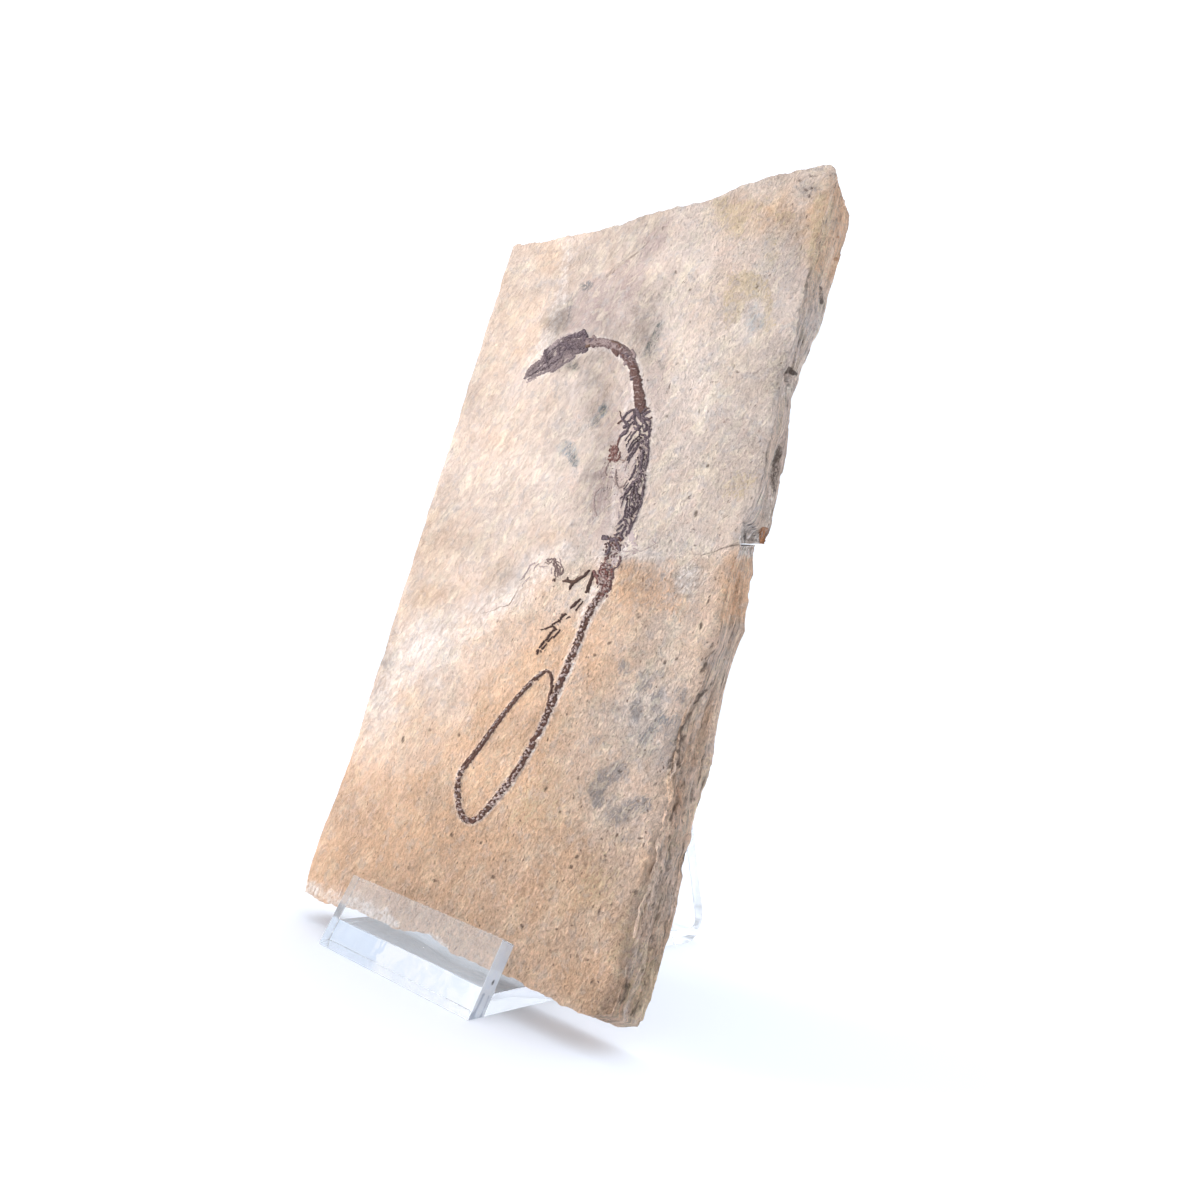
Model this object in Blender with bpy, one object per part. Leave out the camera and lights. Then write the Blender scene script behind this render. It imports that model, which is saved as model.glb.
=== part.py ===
"""Fossil of a long-necked aquatic reptile on a mended shale slab,
leaning on a clear acrylic stand.

Frame: metres, +Z up, floor at z = 0.  X runs along the stand's front lip,
Y runs from front to back.  The origin is on the floor below the middle of
the whole object's box.
"""
import math
import bpy
import bmesh
from mathutils import Vector

# ---------------------------------------------------------------- dimensions
MM = 0.001

BOX_MID_X = 2.3            # middle of the object's box, seen from the lip's
BOX_MID_Y = 77.35          # front bottom edge (mm)

SLAB_LEAN = math.radians(8.0)     # the slab leans back from the vertical
SLAB_THICK = 16.0
REST_GAP = 0.3                    # clearance between pieces that touch
SHEET_THICK = 5.8                 # acrylic sheet

LIP_WIDTH = 62.0
LIP_HEIGHT = 21.4                 # along the lip's own face
LIP_LEAN = math.radians(20.7)

BASE_DEPTH = 146.2                # lip front edge to the centre of the bend
BEND_RADIUS = 8.5                 # outer radius of the rear bend
LEG_LEAN = math.radians(32.0)     # the leg leans forward from the vertical
TONGUE_HALF = 13.1                # half width of the rear tongue and leg
SHOULDER_START = 52.0             # where the base starts to narrow
SHOULDER_END = 74.0

SEAM_HALF = 0.85                  # half of the gap between the two stones
FILLER_HALF = 0.50                # half thickness of the mending filler
BONE_LIFT = 0.30                  # bones start this far in front of the stone
BONE_THICK = 0.90                 # and stand this proud

# ------------------------------------------------------------ start clean
for ob in list(bpy.data.objects):
    bpy.data.objects.remove(ob, do_unlink=True)


# -------------------------------------------------------------- materials
def material(name, colour, rough, transmission=0.0, ior=1.5):
    m = bpy.data.materials.new(name)
    m.use_nodes = True
    b = m.node_tree.nodes["Principled BSDF"]
    b.inputs["Base Color"].default_value = (*colour, 1.0)
    b.inputs["Roughness"].default_value = rough
    b.inputs["Metallic"].default_value = 0.0
    b.inputs["Transmission Weight"].default_value = transmission
    b.inputs["IOR"].default_value = ior
    m.diffuse_color = (*colour, 1.0)
    return m


# ------------------------------------------------------- parents (empties)
slab_low_z = SHEET_THICK + REST_GAP                     # back bottom arris
slab_z0 = slab_low_z + SLAB_THICK * math.sin(SLAB_LEAN)
lip_back_top = (LIP_HEIGHT * math.sin(LIP_LEAN) + SHEET_THICK * math.cos(LIP_LEAN),
                LIP_HEIGHT * math.cos(LIP_LEAN) - SHEET_THICK * math.sin(LIP_LEAN))
slab_y0 = (lip_back_top[0] + REST_GAP / math.cos(SLAB_LEAN)
           - (lip_back_top[1] - slab_z0) * math.tan(SLAB_LEAN))

stand_seat = bpy.data.objects.new("stand_seat", None)
stand_seat.location = (-BOX_MID_X * MM, -BOX_MID_Y * MM, 0.0)
bpy.context.collection.objects.link(stand_seat)

slab_seat = bpy.data.objects.new("slab_seat", None)
slab_seat.location = (0.0, slab_y0 * MM, slab_z0 * MM)
slab_seat.rotation_euler = (-SLAB_LEAN, 0.0, 0.0)
slab_seat.parent = stand_seat
bpy.context.collection.objects.link(slab_seat)


def make_object(name, bm, mat, parent):
    bmesh.ops.recalc_face_normals(bm, faces=bm.faces[:])
    me = bpy.data.meshes.new(name)
    bm.to_mesh(me)
    bm.free()
    ob = bpy.data.objects.new(name, me)
    ob.parent = parent
    me.materials.append(mat)
    bpy.context.collection.objects.link(ob)
    return ob


# ------------------------------------------------------------ small helpers
# Slab points are (u, v): u along the stand, v up the face, both in mm, and
# the depth w goes from the front face (0) to the back (SLAB_THICK).
def slab_point(u, v, w):
    return Vector((u * MM, w * MM, v * MM))


def offset_line(points, distance):
    """Move an open polyline sideways; positive goes to its left."""
    moved = []
    count = len(points)
    for i, (u, v) in enumerate(points):
        before = points[max(i - 1, 0)]
        after = points[min(i + 1, count - 1)]
        du, dv = after[0] - before[0], after[1] - before[1]
        length = math.hypot(du, dv)
        moved.append((u - dv / length * distance, v + du / length * distance))
    return moved


def prism(front, back, layers=1):
    """Closed body between two outlines with the same number of corners."""
    bm = bmesh.new()
    rings = []
    for k in range(layers + 1):
        t = k / layers
        rings.append([bm.verts.new(slab_point(a[0] * (1 - t) + b[0] * t,
                                              a[1] * (1 - t) + b[1] * t,
                                              SLAB_THICK * t))
                      for a, b in zip(front, back)])
    bm.faces.new(rings[0])
    bm.faces.new(list(reversed(rings[-1])))
    n = len(front)
    for lower, upper in zip(rings[:-1], rings[1:]):
        for i in range(n):
            j = (i + 1) % n
            bm.faces.new((lower[i], lower[j], upper[j], upper[i]))
    return bm


def smooth_path(points, step):
    """Catmull-Rom curve through the points, as evenly spaced stations.

    Each point is (u, v, half width)."""
    ext = [points[0]] + list(points) + [points[-1]]
    fine = []
    for i in range(1, len(ext) - 2):
        p0, p1, p2, p3 = ext[i - 1], ext[i], ext[i + 1], ext[i + 2]
        for k in range(12):
            t = k / 12.0
            fine.append(tuple(
                0.5 * ((2 * b) + (c - a) * t + (2 * a - 5 * b + 4 * c - d) * t * t
                       + (3 * b - a - 3 * c + d) * t ** 3)
                for a, b, c, d in zip(p0, p1, p2, p3)))
    fine.append(points[-1])
    lengths = [0.0]
    for a, b in zip(fine[:-1], fine[1:]):
        lengths.append(lengths[-1] + math.hypot(b[0] - a[0], b[1] - a[1]))
    stations = max(3, int(round(lengths[-1] / step)) + 1)
    out, j = [], 0
    for i in range(stations):
        want = lengths[-1] * i / (stations - 1)
        while j < len(lengths) - 2 and lengths[j + 1] < want:
            j += 1
        f = (want - lengths[j]) / max(lengths[j + 1] - lengths[j], 1e-9)
        out.append(tuple(a + (b - a) * f for a, b in zip(fine[j], fine[j + 1])))
    return out


def bone_ribbon(points, step=3.0):
    """A low ridge along a path: flat behind, narrower at its crest."""
    st = smooth_path(points, step)
    bm = bmesh.new()
    rings = []
    for i, (u, v, half) in enumerate(st):
        a = st[max(i - 1, 0)]
        b = st[min(i + 1, len(st) - 1)]
        du, dv = b[0] - a[0], b[1] - a[1]
        length = math.hypot(du, dv)
        nu, nv = -dv / length, du / length
        ring = []
        for side, w in ((1.0, -BONE_LIFT), (-1.0, -BONE_LIFT),
                        (-0.6, -BONE_LIFT - BONE_THICK), (0.6, -BONE_LIFT - BONE_THICK)):
            ring.append(bm.verts.new(slab_point(u + nu * half * side,
                                                v + nv * half * side, w)))
        rings.append(ring)
    for p, q in zip(rings[:-1], rings[1:]):
        for i in range(4):
            j = (i + 1) % 4
            bm.faces.new((p[i], p[j], q[j], q[i]))
    bm.faces.new(rings[0])
    bm.faces.new(list(reversed(rings[-1])))
    return bm


# ---------------------------------------------------------------- the stone
# The break runs from the left edge, low, up to the right edge; it slants
# through the thickness and comes out higher at the back.
SEAM_FRONT = [(-57.5, 84.7), (-42.3, 90.9), (-29.4, 93.2), (-24.9, 96.5),
              (-17.8, 100.1), (-9.5, 103.4), (-7.0, 111.2), (-3.1, 117.3),
              (2.3, 119.4), (12.8, 121.6), (23.8, 122.7), (30.3, 123.2),
              (39.7, 127.4), (55.6, 125.0), (66.1, 129.2)]
SEAM_BACK = [(-57.9, 88.0), (-42.3, 94.5), (-29.8, 98.0), (-25.0, 101.5),
             (-18.2, 105.0), (-10.4, 109.0), (-7.6, 116.0), (-3.5, 121.6),
             (2.3, 124.0), (12.8, 126.0), (23.8, 127.4), (30.3, 128.6),
             (39.7, 131.8), (55.6, 131.2), (63.6, 134.9)]

UPPER_RIGHT_FRONT = [(65.6, 135.7), (66.5, 140.6), (67.6, 147.4), (67.1, 160.7),
                     (66.9, 169.8), (65.8, 181.4), (66.7, 185.3), (66.4, 196.8),
                     (65.3, 212.8), (65.5, 225.2), (66.2, 240.0), (66.2, 251.7)]
UPPER_RIGHT_BACK = [(66.0, 138.6), (66.3, 141.8), (65.8, 147.8), (65.1, 164.4),
                    (63.8, 174.7), (62.0, 183.2), (63.1, 189.6), (64.9, 202.3),
                    (66.3, 208.9), (66.0, 223.9), (66.5, 243.5), (65.6, 248.2)]
TOP_FRONT = [(64.8, 254.1), (56.6, 255.2), (42.5, 254.1), (34.2, 253.1),
             (22.2, 249.2), (7.3, 249.1), (-5.8, 247.4), (-11.3, 245.9),
             (-23.8, 245.0), (-35.8, 244.8), (-39.8, 244.1), (-58.9, 244.9),
             (-63.0, 243.9)]
TOP_BACK = [(63.2, 252.4), (56.6, 253.8), (42.5, 252.6), (33.0, 251.0),
            (21.6, 248.0), (7.3, 247.6), (-5.8, 246.4), (-11.3, 245.2),
            (-23.8, 243.6), (-35.8, 243.9), (-40.6, 243.0), (-58.9, 243.6),
            (-62.4, 242.4)]
UPPER_LEFT_FRONT = [(-62.2, 215.0), (-61.2, 186.3), (-60.4, 160.0),
                    (-59.7, 135.8), (-58.9, 110.0)]
UPPER_LEFT_BACK = [(-61.8, 215.0), (-60.8, 186.3), (-60.0, 160.0),
                   (-59.4, 135.8), (-58.6, 110.0)]

LOWER_LEFT_FRONT = [(-57.5, 68.8), (-56.9, 51.3), (-57.0, 39.3), (-58.0, 21.5),
                    (-58.0, 8.9), (-57.4, 3.9), (-56.1, -1.3)]
LOWER_LEFT_BACK = [(-57.2, 70.0), (-56.7, 51.3), (-56.8, 39.3), (-57.6, 21.5),
                   (-57.6, 8.9), (-57.0, 4.4), (-55.4, 0.2)]
BOTTOM_FRONT = [(-48.1, -1.5), (-38.7, -0.2), (-30.4, 0.6), (-17.5, 0.4),
                (-11.2, 0.7), (-5.1, 1.7), (0.7, 2.9), (5.0, 2.6),
                (11.8, 1.0), (23.2, 1.3), (35.7, 2.0), (46.3, 1.6),
                (55.0, 1.9), (62.4, 2.8)]
BOTTOM_BACK = [(-48.1, -0.4), (-38.7, 0.2), (-32.0, 0.0), (-17.5, 0.0),
               (-11.2, 0.5), (-5.1, 1.2), (0.7, 1.8), (5.0, 1.6),
               (11.8, 0.4), (23.2, 0.0), (35.7, 0.2), (46.3, 0.4),
               (55.0, 0.2), (61.4, -0.2)]
LOWER_RIGHT_FRONT = [(64.6, 4.6), (64.8, 10.0), (64.6, 25.0), (65.2, 40.0),
                     (64.6, 54.0), (63.3, 63.9), (62.8, 73.8), (63.0, 82.3),
                     (65.1, 91.0), (66.2, 100.0), (66.1, 110.4), (65.6, 119.0),
                     (66.2, 124.5)]
LOWER_RIGHT_BACK = [(65.0, 3.8), (66.0, 9.6), (66.6, 22.0), (66.5, 35.9),
                    (65.9, 50.0), (65.5, 61.0), (66.5, 70.0), (65.2, 82.0),
                    (64.7, 90.5), (65.3, 102.0), (66.0, 110.0), (65.1, 117.7),
                    (64.2, 126.0)]

stone_upper = material("shale_grey_cream", (0.58, 0.50, 0.42), 0.85)
stone_lower = material("shale_tan", (0.60, 0.44, 0.31), 0.85)

upper_front = offset_line(SEAM_FRONT, SEAM_HALF)
upper_back = offset_line(SEAM_BACK, SEAM_HALF)
make_object("upper_slab",
            prism(upper_front + UPPER_RIGHT_FRONT + TOP_FRONT + UPPER_LEFT_FRONT,
                  upper_back + UPPER_RIGHT_BACK + TOP_BACK + UPPER_LEFT_BACK, 2),
            stone_upper, slab_seat)

lower_front = list(reversed(offset_line(SEAM_FRONT, -SEAM_HALF)))
lower_back = list(reversed(offset_line(SEAM_BACK, -SEAM_HALF)))
make_object("lower_slab",
            prism(lower_front + LOWER_LEFT_FRONT + BOTTOM_FRONT + LOWER_RIGHT_FRONT,
                  lower_back + LOWER_LEFT_BACK + BOTTOM_BACK + LOWER_RIGHT_BACK, 2),
            stone_lower, slab_seat)


# -------------------------------------------------- filler along the break
def inset_ends(line, left, right):
    (u0, v0), (u1, v1) = line[0], line[1]
    a = (u0 + left, v0 + (v1 - v0) * left / (u1 - u0))
    (u2, v2), (u3, v3) = line[-1], line[-2]
    b = (u2 - right, v2 - (v2 - v3) * right / (u2 - u3))
    return [a] + line[1:-1] + [b]


seam_front = inset_ends(SEAM_FRONT, 0.8, 3.0)
seam_back = inset_ends(SEAM_BACK, 0.8, 3.0)
filler_front = (offset_line(seam_front, -FILLER_HALF)
                + list(reversed(offset_line(seam_front, FILLER_HALF))))
filler_back = (offset_line(seam_back, -FILLER_HALF)
               + list(reversed(offset_line(seam_back, FILLER_HALF))))
make_object("break_filler", prism(filler_front, filler_back, 2),
            material("mending_filler", (0.42, 0.40, 0.38), 0.8), slab_seat)

# ---------------------------------------------------------------- the bones
bone_dark = material("bone_purplish_black", (0.085, 0.055, 0.055), 0.55)
bone_brown = material("bone_dark_brown", (0.13, 0.07, 0.045), 0.6)
bone_red = material("bone_reddish_brown", (0.16, 0.07, 0.05), 0.6)

SKULL = [(-32.6, 184.6, 0.6), (-29.5, 187.6, 1.8), (-25.6, 191.2, 3.4),
         (-20.6, 195.2, 4.6), (-16.0, 198.0, 5.0), (-12.6, 199.6, 3.6)]
NECK = [(-11.0, 199.2, 1.9), (-7.6, 199.7, 1.9), (-4.1, 199.4, 1.9),
        (1.5, 197.4, 2.1), (7.4, 193.5, 2.4), (11.6, 189.4, 2.5),
        (14.0, 185.0, 2.2), (16.2, 181.1, 2.1), (18.0, 177.6, 2.2)]
SHOULDER = [(18.8, 175.8, 3.2), (20.0, 172.6, 5.6), (20.8, 169.4, 6.6),
            (20.9, 166.6, 6.4)]
TRUNK = [(20.9, 165.6, 6.0), (20.8, 160.0, 7.0), (20.4, 154.0, 7.6),
         (21.0, 148.0, 7.4), (22.6, 142.0, 6.6), (24.2, 136.0, 5.4),
         (24.6, 131.0, 3.8), (24.4, 129.6, 3.4)]
PELVIS = [(24.3, 128.6, 4.2), (24.3, 125.0, 3.6), (24.8, 121.0, 3.6),
          (24.8, 116.5, 3.6), (25.6, 113.6, 2.4)]
TAIL = [(25.4, 112.6, 1.9), (25.3, 110.4, 1.9), (23.6, 106.1, 1.7),
        (22.1, 100.5, 1.7), (22.0, 95.2, 1.6), (21.5, 91.0, 1.6),
        (21.1, 86.1, 1.5), (20.2, 81.3, 1.5), (19.5, 76.6, 1.4),
        (18.7, 71.8, 1.4), (18.1, 68.0, 1.4), (17.0, 63.1, 1.3),
        (15.7, 59.0, 1.3), (13.8, 53.9, 1.3), (11.5, 48.8, 1.2),
        (9.2, 43.8, 1.2), (6.4, 39.9, 1.2), (3.4, 37.0, 1.2),
        (-0.0, 36.6, 1.1), (-2.9, 38.5, 1.1), (-5.5, 42.5, 1.0),
        (-7.2, 46.7, 0.9), (-6.2, 51.0, 0.9), (-3.6, 55.6, 0.8),
        (-1.3, 60.8, 0.8), (1.0, 65.9, 0.8), (4.2, 71.2, 0.7),
        (7.3, 76.5, 0.7), (10.1, 80.8, 0.6), (12.5, 83.6, 0.6),
        (14.5, 84.4, 0.5), (16.0, 82.8, 0.5), (16.7, 79.0, 0.45),
        (16.6, 76.0, 0.4)]
LEFT_LEG = [(19.0, 117.2, 1.0), (16.6, 115.2, 0.9), (14.3, 112.9, 0.9),
            (12.4, 112.4, 1.3), (10.0, 113.8, 1.2), (8.4, 116.6, 1.6),
            (6.0, 119.2, 2.2), (1.6, 119.4, 2.0), (-2.6, 116.6, 2.0),
            (-6.2, 111.8, 1.6)]
RIGHT_LEG = [(20.2, 114.6, 0.8), (19.8, 111.2, 1.0), (18.8, 108.0, 0.9),
             (17.0, 105.2, 1.4), (14.6, 102.2, 1.2), (12.0, 99.4, 1.6),
             (10.0, 96.0, 1.8), (9.0, 92.6, 1.6), (8.4, 89.4, 1.0)]

make_object("skull", bone_ribbon(SKULL, 2.2), bone_dark, slab_seat)
make_object("neck", bone_ribbon(NECK), bone_brown, slab_seat)
make_object("shoulder_girdle", bone_ribbon(SHOULDER, 2.5), bone_dark, slab_seat)
make_object("trunk", bone_ribbon(TRUNK), bone_dark, slab_seat)
make_object("pelvis", bone_ribbon(PELVIS, 2.5), bone_red, slab_seat)
make_object("tail", bone_ribbon(TAIL, 2.6), bone_brown, slab_seat)
make_object("left_hind_leg", bone_ribbon(LEFT_LEG, 2.2), bone_brown, slab_seat)
make_object("right_hind_leg", bone_ribbon(RIGHT_LEG, 2.2), bone_brown, slab_seat)

# ---------------------------------------------------------------- the stand
clear = material("clear_acrylic", (0.97, 0.98, 1.0), 0.03, 1.0, 1.49)


def stand_point(x, y, z):
    return Vector((x * MM, y * MM, z * MM))


def lip():
    """A plate leaning back, cut off level at its foot."""
    s, c = math.sin(LIP_LEAN), math.cos(LIP_LEAN)
    profile = [(0.0, 0.0), (SHEET_THICK / c, 0.0), lip_back_top,
               (LIP_HEIGHT * s, LIP_HEIGHT * c)]
    bm = bmesh.new()
    ends = [[bm.verts.new(stand_point(x, y, z)) for y, z in profile]
            for x in (-LIP_WIDTH / 2, LIP_WIDTH / 2)]
    bm.faces.new(ends[0])
    bm.faces.new(list(reversed(ends[1])))
    for i in range(4):
        j = (i + 1) % 4
        bm.faces.new((ends[0][i], ends[0][j], ends[1][j], ends[1][i]))
    return bm


def base_half_width(y):
    """Full width behind the lip, narrowing to the tongue."""
    t = min(max((y - SHOULDER_START) / (SHOULDER_END - SHOULDER_START), 0.0), 1.0)
    t = t * t * (3 - 2 * t)
    return LIP_WIDTH / 2 * (1 - t) + TONGUE_HALF * t


def base_and_leg():
    """One bent sheet: flat base, rear bend, and a leg up to the slab's back."""
    stations = []                       # (outer y, z), (inner y, z), half width
    lip_back = SHEET_THICK / math.cos(LIP_LEAN) + REST_GAP
    stations.append(((lip_back, 0.0),
                     (lip_back + SHEET_THICK * math.tan(LIP_LEAN), SHEET_THICK),
                     LIP_WIDTH / 2))
    y = 30.0
    ys = [30.0, SHOULDER_START]
    while ys[-1] < SHOULDER_END - 0.1:
        ys.append(ys[-1] + (SHOULDER_END - SHOULDER_START) / 10)
    ys += [100.0, 124.0, BASE_DEPTH]
    for y in ys:
        stations.append(((y, 0.0), (y, SHEET_THICK), base_half_width(y)))
    inner = BEND_RADIUS - SHEET_THICK
    turn = math.pi / 2 + LEG_LEAN
    for k in range(1, 11):
        a = -math.pi / 2 + turn * k / 10
        stations.append(((BASE_DEPTH + BEND_RADIUS * math.cos(a),
                          BEND_RADIUS + BEND_RADIUS * math.sin(a)),
                         (BASE_DEPTH + inner * math.cos(a),
                          BEND_RADIUS + inner * math.sin(a)), TONGUE_HALF))
    (oy, oz), (iy, iz), _ = stations[-1]
    # the leg runs until its inner edge meets the slab's back
    back_y = slab_y0 + SLAB_THICK * math.cos(SLAB_LEAN) + REST_GAP / math.cos(SLAB_LEAN)
    back_z = slab_z0 - SLAB_THICK * math.sin(SLAB_LEAN)
    dy, dz = -math.sin(LEG_LEAN), math.cos(LEG_LEAN)
    slope = math.tan(SLAB_LEAN)
    length = ((back_y + (iz - back_z) * slope) - iy) / (dy - dz * slope)
    for part in (0.25, 0.5, 0.75, 1.0):
        d = length * part
        stations.append(((oy + dy * d, oz + dz * d), (iy + dy * d, iz + dz * d),
                         TONGUE_HALF))
    bm = bmesh.new()
    rings = []
    for (ay, az), (by, bz), half in stations:
        rings.append([bm.verts.new(stand_point(-half, ay, az)),
                      bm.verts.new(stand_point(half, ay, az)),
                      bm.verts.new(stand_point(half, by, bz)),
                      bm.verts.new(stand_point(-half, by, bz))])
    for p, q in zip(rings[:-1], rings[1:]):
        for i in range(4):
            j = (i + 1) % 4
            bm.faces.new((p[i], p[j], q[j], q[i]))
    bm.faces.new(rings[0])
    bm.faces.new(list(reversed(rings[-1])))
    return bm


make_object("stand_front_lip", lip(), clear, stand_seat)
make_object("stand_base", base_and_leg(), clear, stand_seat)
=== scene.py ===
"""Looks of a mended shale slab with the fossil of a long-necked aquatic reptile,
leaning on a clear acrylic stand.

Slab places are (u, v, w) in millimetres: u along the slab, v up its face and w
into the stone, from 0 on the face to 16 on the back.
"""

import math

import bpy
import bmesh
import numpy as np
from mathutils import Matrix, Vector


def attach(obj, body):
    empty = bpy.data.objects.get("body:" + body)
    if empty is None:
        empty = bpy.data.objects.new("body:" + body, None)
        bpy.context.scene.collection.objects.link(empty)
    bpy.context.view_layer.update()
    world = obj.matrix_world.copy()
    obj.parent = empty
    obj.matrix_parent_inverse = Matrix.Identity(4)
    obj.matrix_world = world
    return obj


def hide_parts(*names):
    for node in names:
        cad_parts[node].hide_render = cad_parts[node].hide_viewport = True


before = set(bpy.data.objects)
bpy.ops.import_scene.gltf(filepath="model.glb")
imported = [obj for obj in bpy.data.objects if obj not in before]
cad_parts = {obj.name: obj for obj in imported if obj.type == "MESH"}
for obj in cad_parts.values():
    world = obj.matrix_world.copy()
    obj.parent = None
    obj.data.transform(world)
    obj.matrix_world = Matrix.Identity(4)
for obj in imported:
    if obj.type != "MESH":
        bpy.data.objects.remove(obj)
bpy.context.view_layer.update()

MM = 0.001

# ------------------------------------------------------------------ placing
LEAN = math.radians(8.0)
CL, SL = math.cos(LEAN), math.sin(LEAN)
SEAT = np.array([-2.3, 11.938 - 77.35, 8.327])      # slab's low front middle, mm
INTO = np.array([0.0, CL, -SL])                     # w
RISE = np.array([0.0, SL, CL])                      # v
THICK = 16.0

# the eye that the scene is seen from, mm, and its field on a 1200 px frame
EYE = np.array([184.91, -268.03, 87.58])
AZ, PITCH, ROLL = (math.radians(a) for a in (36.57, 5.94, 11.44))
FOCAL = 919.2
_f = np.array([-math.sin(AZ) * math.cos(PITCH), math.cos(AZ) * math.cos(PITCH),
               math.sin(PITCH)])
_r = np.array([math.cos(AZ), math.sin(AZ), 0.0])
_u = np.cross(_r, _f)
RIGHT = math.cos(ROLL) * _r + math.sin(ROLL) * _u
UP = -math.sin(ROLL) * _r + math.cos(ROLL) * _u
AHEAD = _f


def row(u, v, w):
    """Slab millimetres to the row frame, in millimetres."""
    u, v, w = np.broadcast_arrays(u, v, w)
    return (SEAT + np.stack([u, np.zeros_like(u), np.zeros_like(u)], -1)
            + v[..., None] * RISE + w[..., None] * INTO)


def seen(p):
    """Where a row-frame point, in millimetres, falls on the 1200 px frame."""
    d = p - EYE
    z = d @ AHEAD
    return 600 + FOCAL * (d @ RIGHT) / z, 600 - FOCAL * (d @ UP) / z


def on_face(x, y):
    """Slab (u, v) under a frame point, on the face."""
    d = AHEAD + (x - 600) / FOCAL * RIGHT - (y - 600) / FOCAL * UP
    t = ((SEAT - EYE) @ INTO) / (d @ INTO)
    p = EYE + t * d - SEAT
    return p[0], p @ RISE


# -------------------------------------------------------------------- noise
def _hash(ix, iy, iz, seed):
    with np.errstate(over="ignore"):
        h = (ix.astype(np.uint32) * np.uint32(0x8DA6B343)
             ^ iy.astype(np.uint32) * np.uint32(0xD8163841)
             ^ iz.astype(np.uint32) * np.uint32(0xCB1AB31F)
             ^ np.uint32((seed * 2654435761 + 97) & 0xFFFFFFFF))
        h ^= h >> np.uint32(15)
        h *= np.uint32(0x2C1B3C6D)
        h ^= h >> np.uint32(12)
        h *= np.uint32(0x297A2D39)
        h ^= h >> np.uint32(15)
    return h.astype(np.float64) / 4294967295.0


def noise(x, y, z=0.0, seed=1):
    """Smooth value noise from -1 to 1."""
    x, y, z = np.broadcast_arrays(np.asarray(x, float), np.asarray(y, float),
                                  np.asarray(z, float))
    fx, fy, fz = np.floor(x), np.floor(y), np.floor(z)
    ix, iy, iz = fx.astype(np.int64), fy.astype(np.int64), fz.astype(np.int64)
    tx, ty, tz = x - fx, y - fy, z - fz
    tx, ty, tz = (t * t * t * (t * (6 * t - 15) + 10) for t in (tx, ty, tz))
    out = 0.0
    for a in (0, 1):
        wa = tx if a else 1 - tx
        for b in (0, 1):
            wb = ty if b else 1 - ty
            for c in (0, 1):
                wc = tz if c else 1 - tz
                out = out + wa * wb * wc * _hash(ix + a, iy + b, iz + c, seed)
    return 2 * out - 1


def fbm(x, y, z=0.0, octaves=3, seed=1, gain=0.5):
    total, size, scale = 0.0, 1.0, 1.0
    norm = 0.0
    for k in range(octaves):
        total = total + size * noise(x * scale + 17.3 * k, y * scale - 9.1 * k,
                                     z * scale + 3.7 * k, seed + k)
        norm += size
        size *= gain
        scale *= 2.03
    return total / norm


def smooth(lo, hi, x):
    t = np.clip((x - lo) / (hi - lo), 0.0, 1.0)
    return t * t * (3 - 2 * t)


def lerp(a, b, t):
    return a + (b - a) * t


# --------------------------------------------------- marks, in frame points
def along(X, Y, pts, closed=False):
    """Distance to a line, the length run along it and its own width there."""
    best = np.full(X.shape, 1e9)
    run = np.zeros(X.shape)
    wide = np.zeros(X.shape)
    side = np.zeros(X.shape)
    pts = [tuple(p) for p in pts]
    if closed:
        pts = pts + [pts[0]]
    s = 0.0
    for a, b in zip(pts[:-1], pts[1:]):
        dx, dy = b[0] - a[0], b[1] - a[1]
        l2 = dx * dx + dy * dy
        if l2 < 1e-9:
            continue
        length = math.sqrt(l2)
        t = np.clip(((X - a[0]) * dx + (Y - a[1]) * dy) / l2, 0, 1)
        ex, ey = X - (a[0] + t * dx), Y - (a[1] + t * dy)
        d = np.hypot(ex, ey)
        near = d < best
        best = np.where(near, d, best)
        run = np.where(near, s + t * length, run)
        side = np.where(near, np.sign(dx * ey - dy * ex), side)
        if len(a) > 2:
            wide = np.where(near, lerp(a[2], b[2], t), wide)
        s += length
    return best, run, wide, side


def inside(X, Y, pts):
    """Signed distance to a closed outline, positive inside."""
    d = along(X, Y, pts, closed=True)[0]
    n = len(pts)
    hit = np.zeros(X.shape, bool)
    for i in range(n):
        x0, y0 = pts[i][0], pts[i][1]
        x1, y1 = pts[(i + 1) % n][0], pts[(i + 1) % n][1]
        if y0 == y1:
            continue
        cross = ((y0 > Y) != (y1 > Y)) & (X < (x1 - x0) * (Y - y0) / (y1 - y0) + x0)
        hit ^= cross
    return np.where(hit, d, -d)


class Marks:
    """Soft marks laid over points of the frame."""

    def __init__(self, X, Y):
        self.X, self.Y = X, Y
        self.wob = fbm(X / 14.0, Y / 14.0, 0, 3, 71)
        self.fine = fbm(X / 4.0, Y / 4.0, 0, 2, 72)

    def spot(self, cx, cy, rx, ry, turn=0.0, soft=0.5, rough=0.5, much=1.0):
        a = math.radians(turn)
        dx, dy = self.X - cx, self.Y - cy
        p = (dx * math.cos(a) + dy * math.sin(a)) / rx
        q = (-dx * math.sin(a) + dy * math.cos(a)) / ry
        r = np.hypot(p, q) + rough * (0.6 * self.wob + 0.4 * self.fine)
        return much * (1 - smooth(1 - soft, 1 + soft, r))

    def line(self, pts, half, soft=0.6, rough=0.4, much=1.0):
        d, _, wide, _ = along(self.X, self.Y, pts)
        h = wide if len(pts[0]) > 2 else half
        r = d / np.maximum(h, 0.3) + rough * (0.5 * self.wob + 0.5 * self.fine)
        return much * (1 - smooth(1 - soft, 1 + soft, r))

    def patch(self, pts, soft=3.0, rough=2.0, much=1.0):
        d = inside(self.X, self.Y, pts) + rough * (self.wob + self.fine)
        return much * smooth(-soft, soft, d)


def over(*marks):
    """Marks laid over each other."""
    left = 1.0
    for m in marks:
        left = left * (1 - np.clip(m, 0, 1))
    return 1 - left


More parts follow.
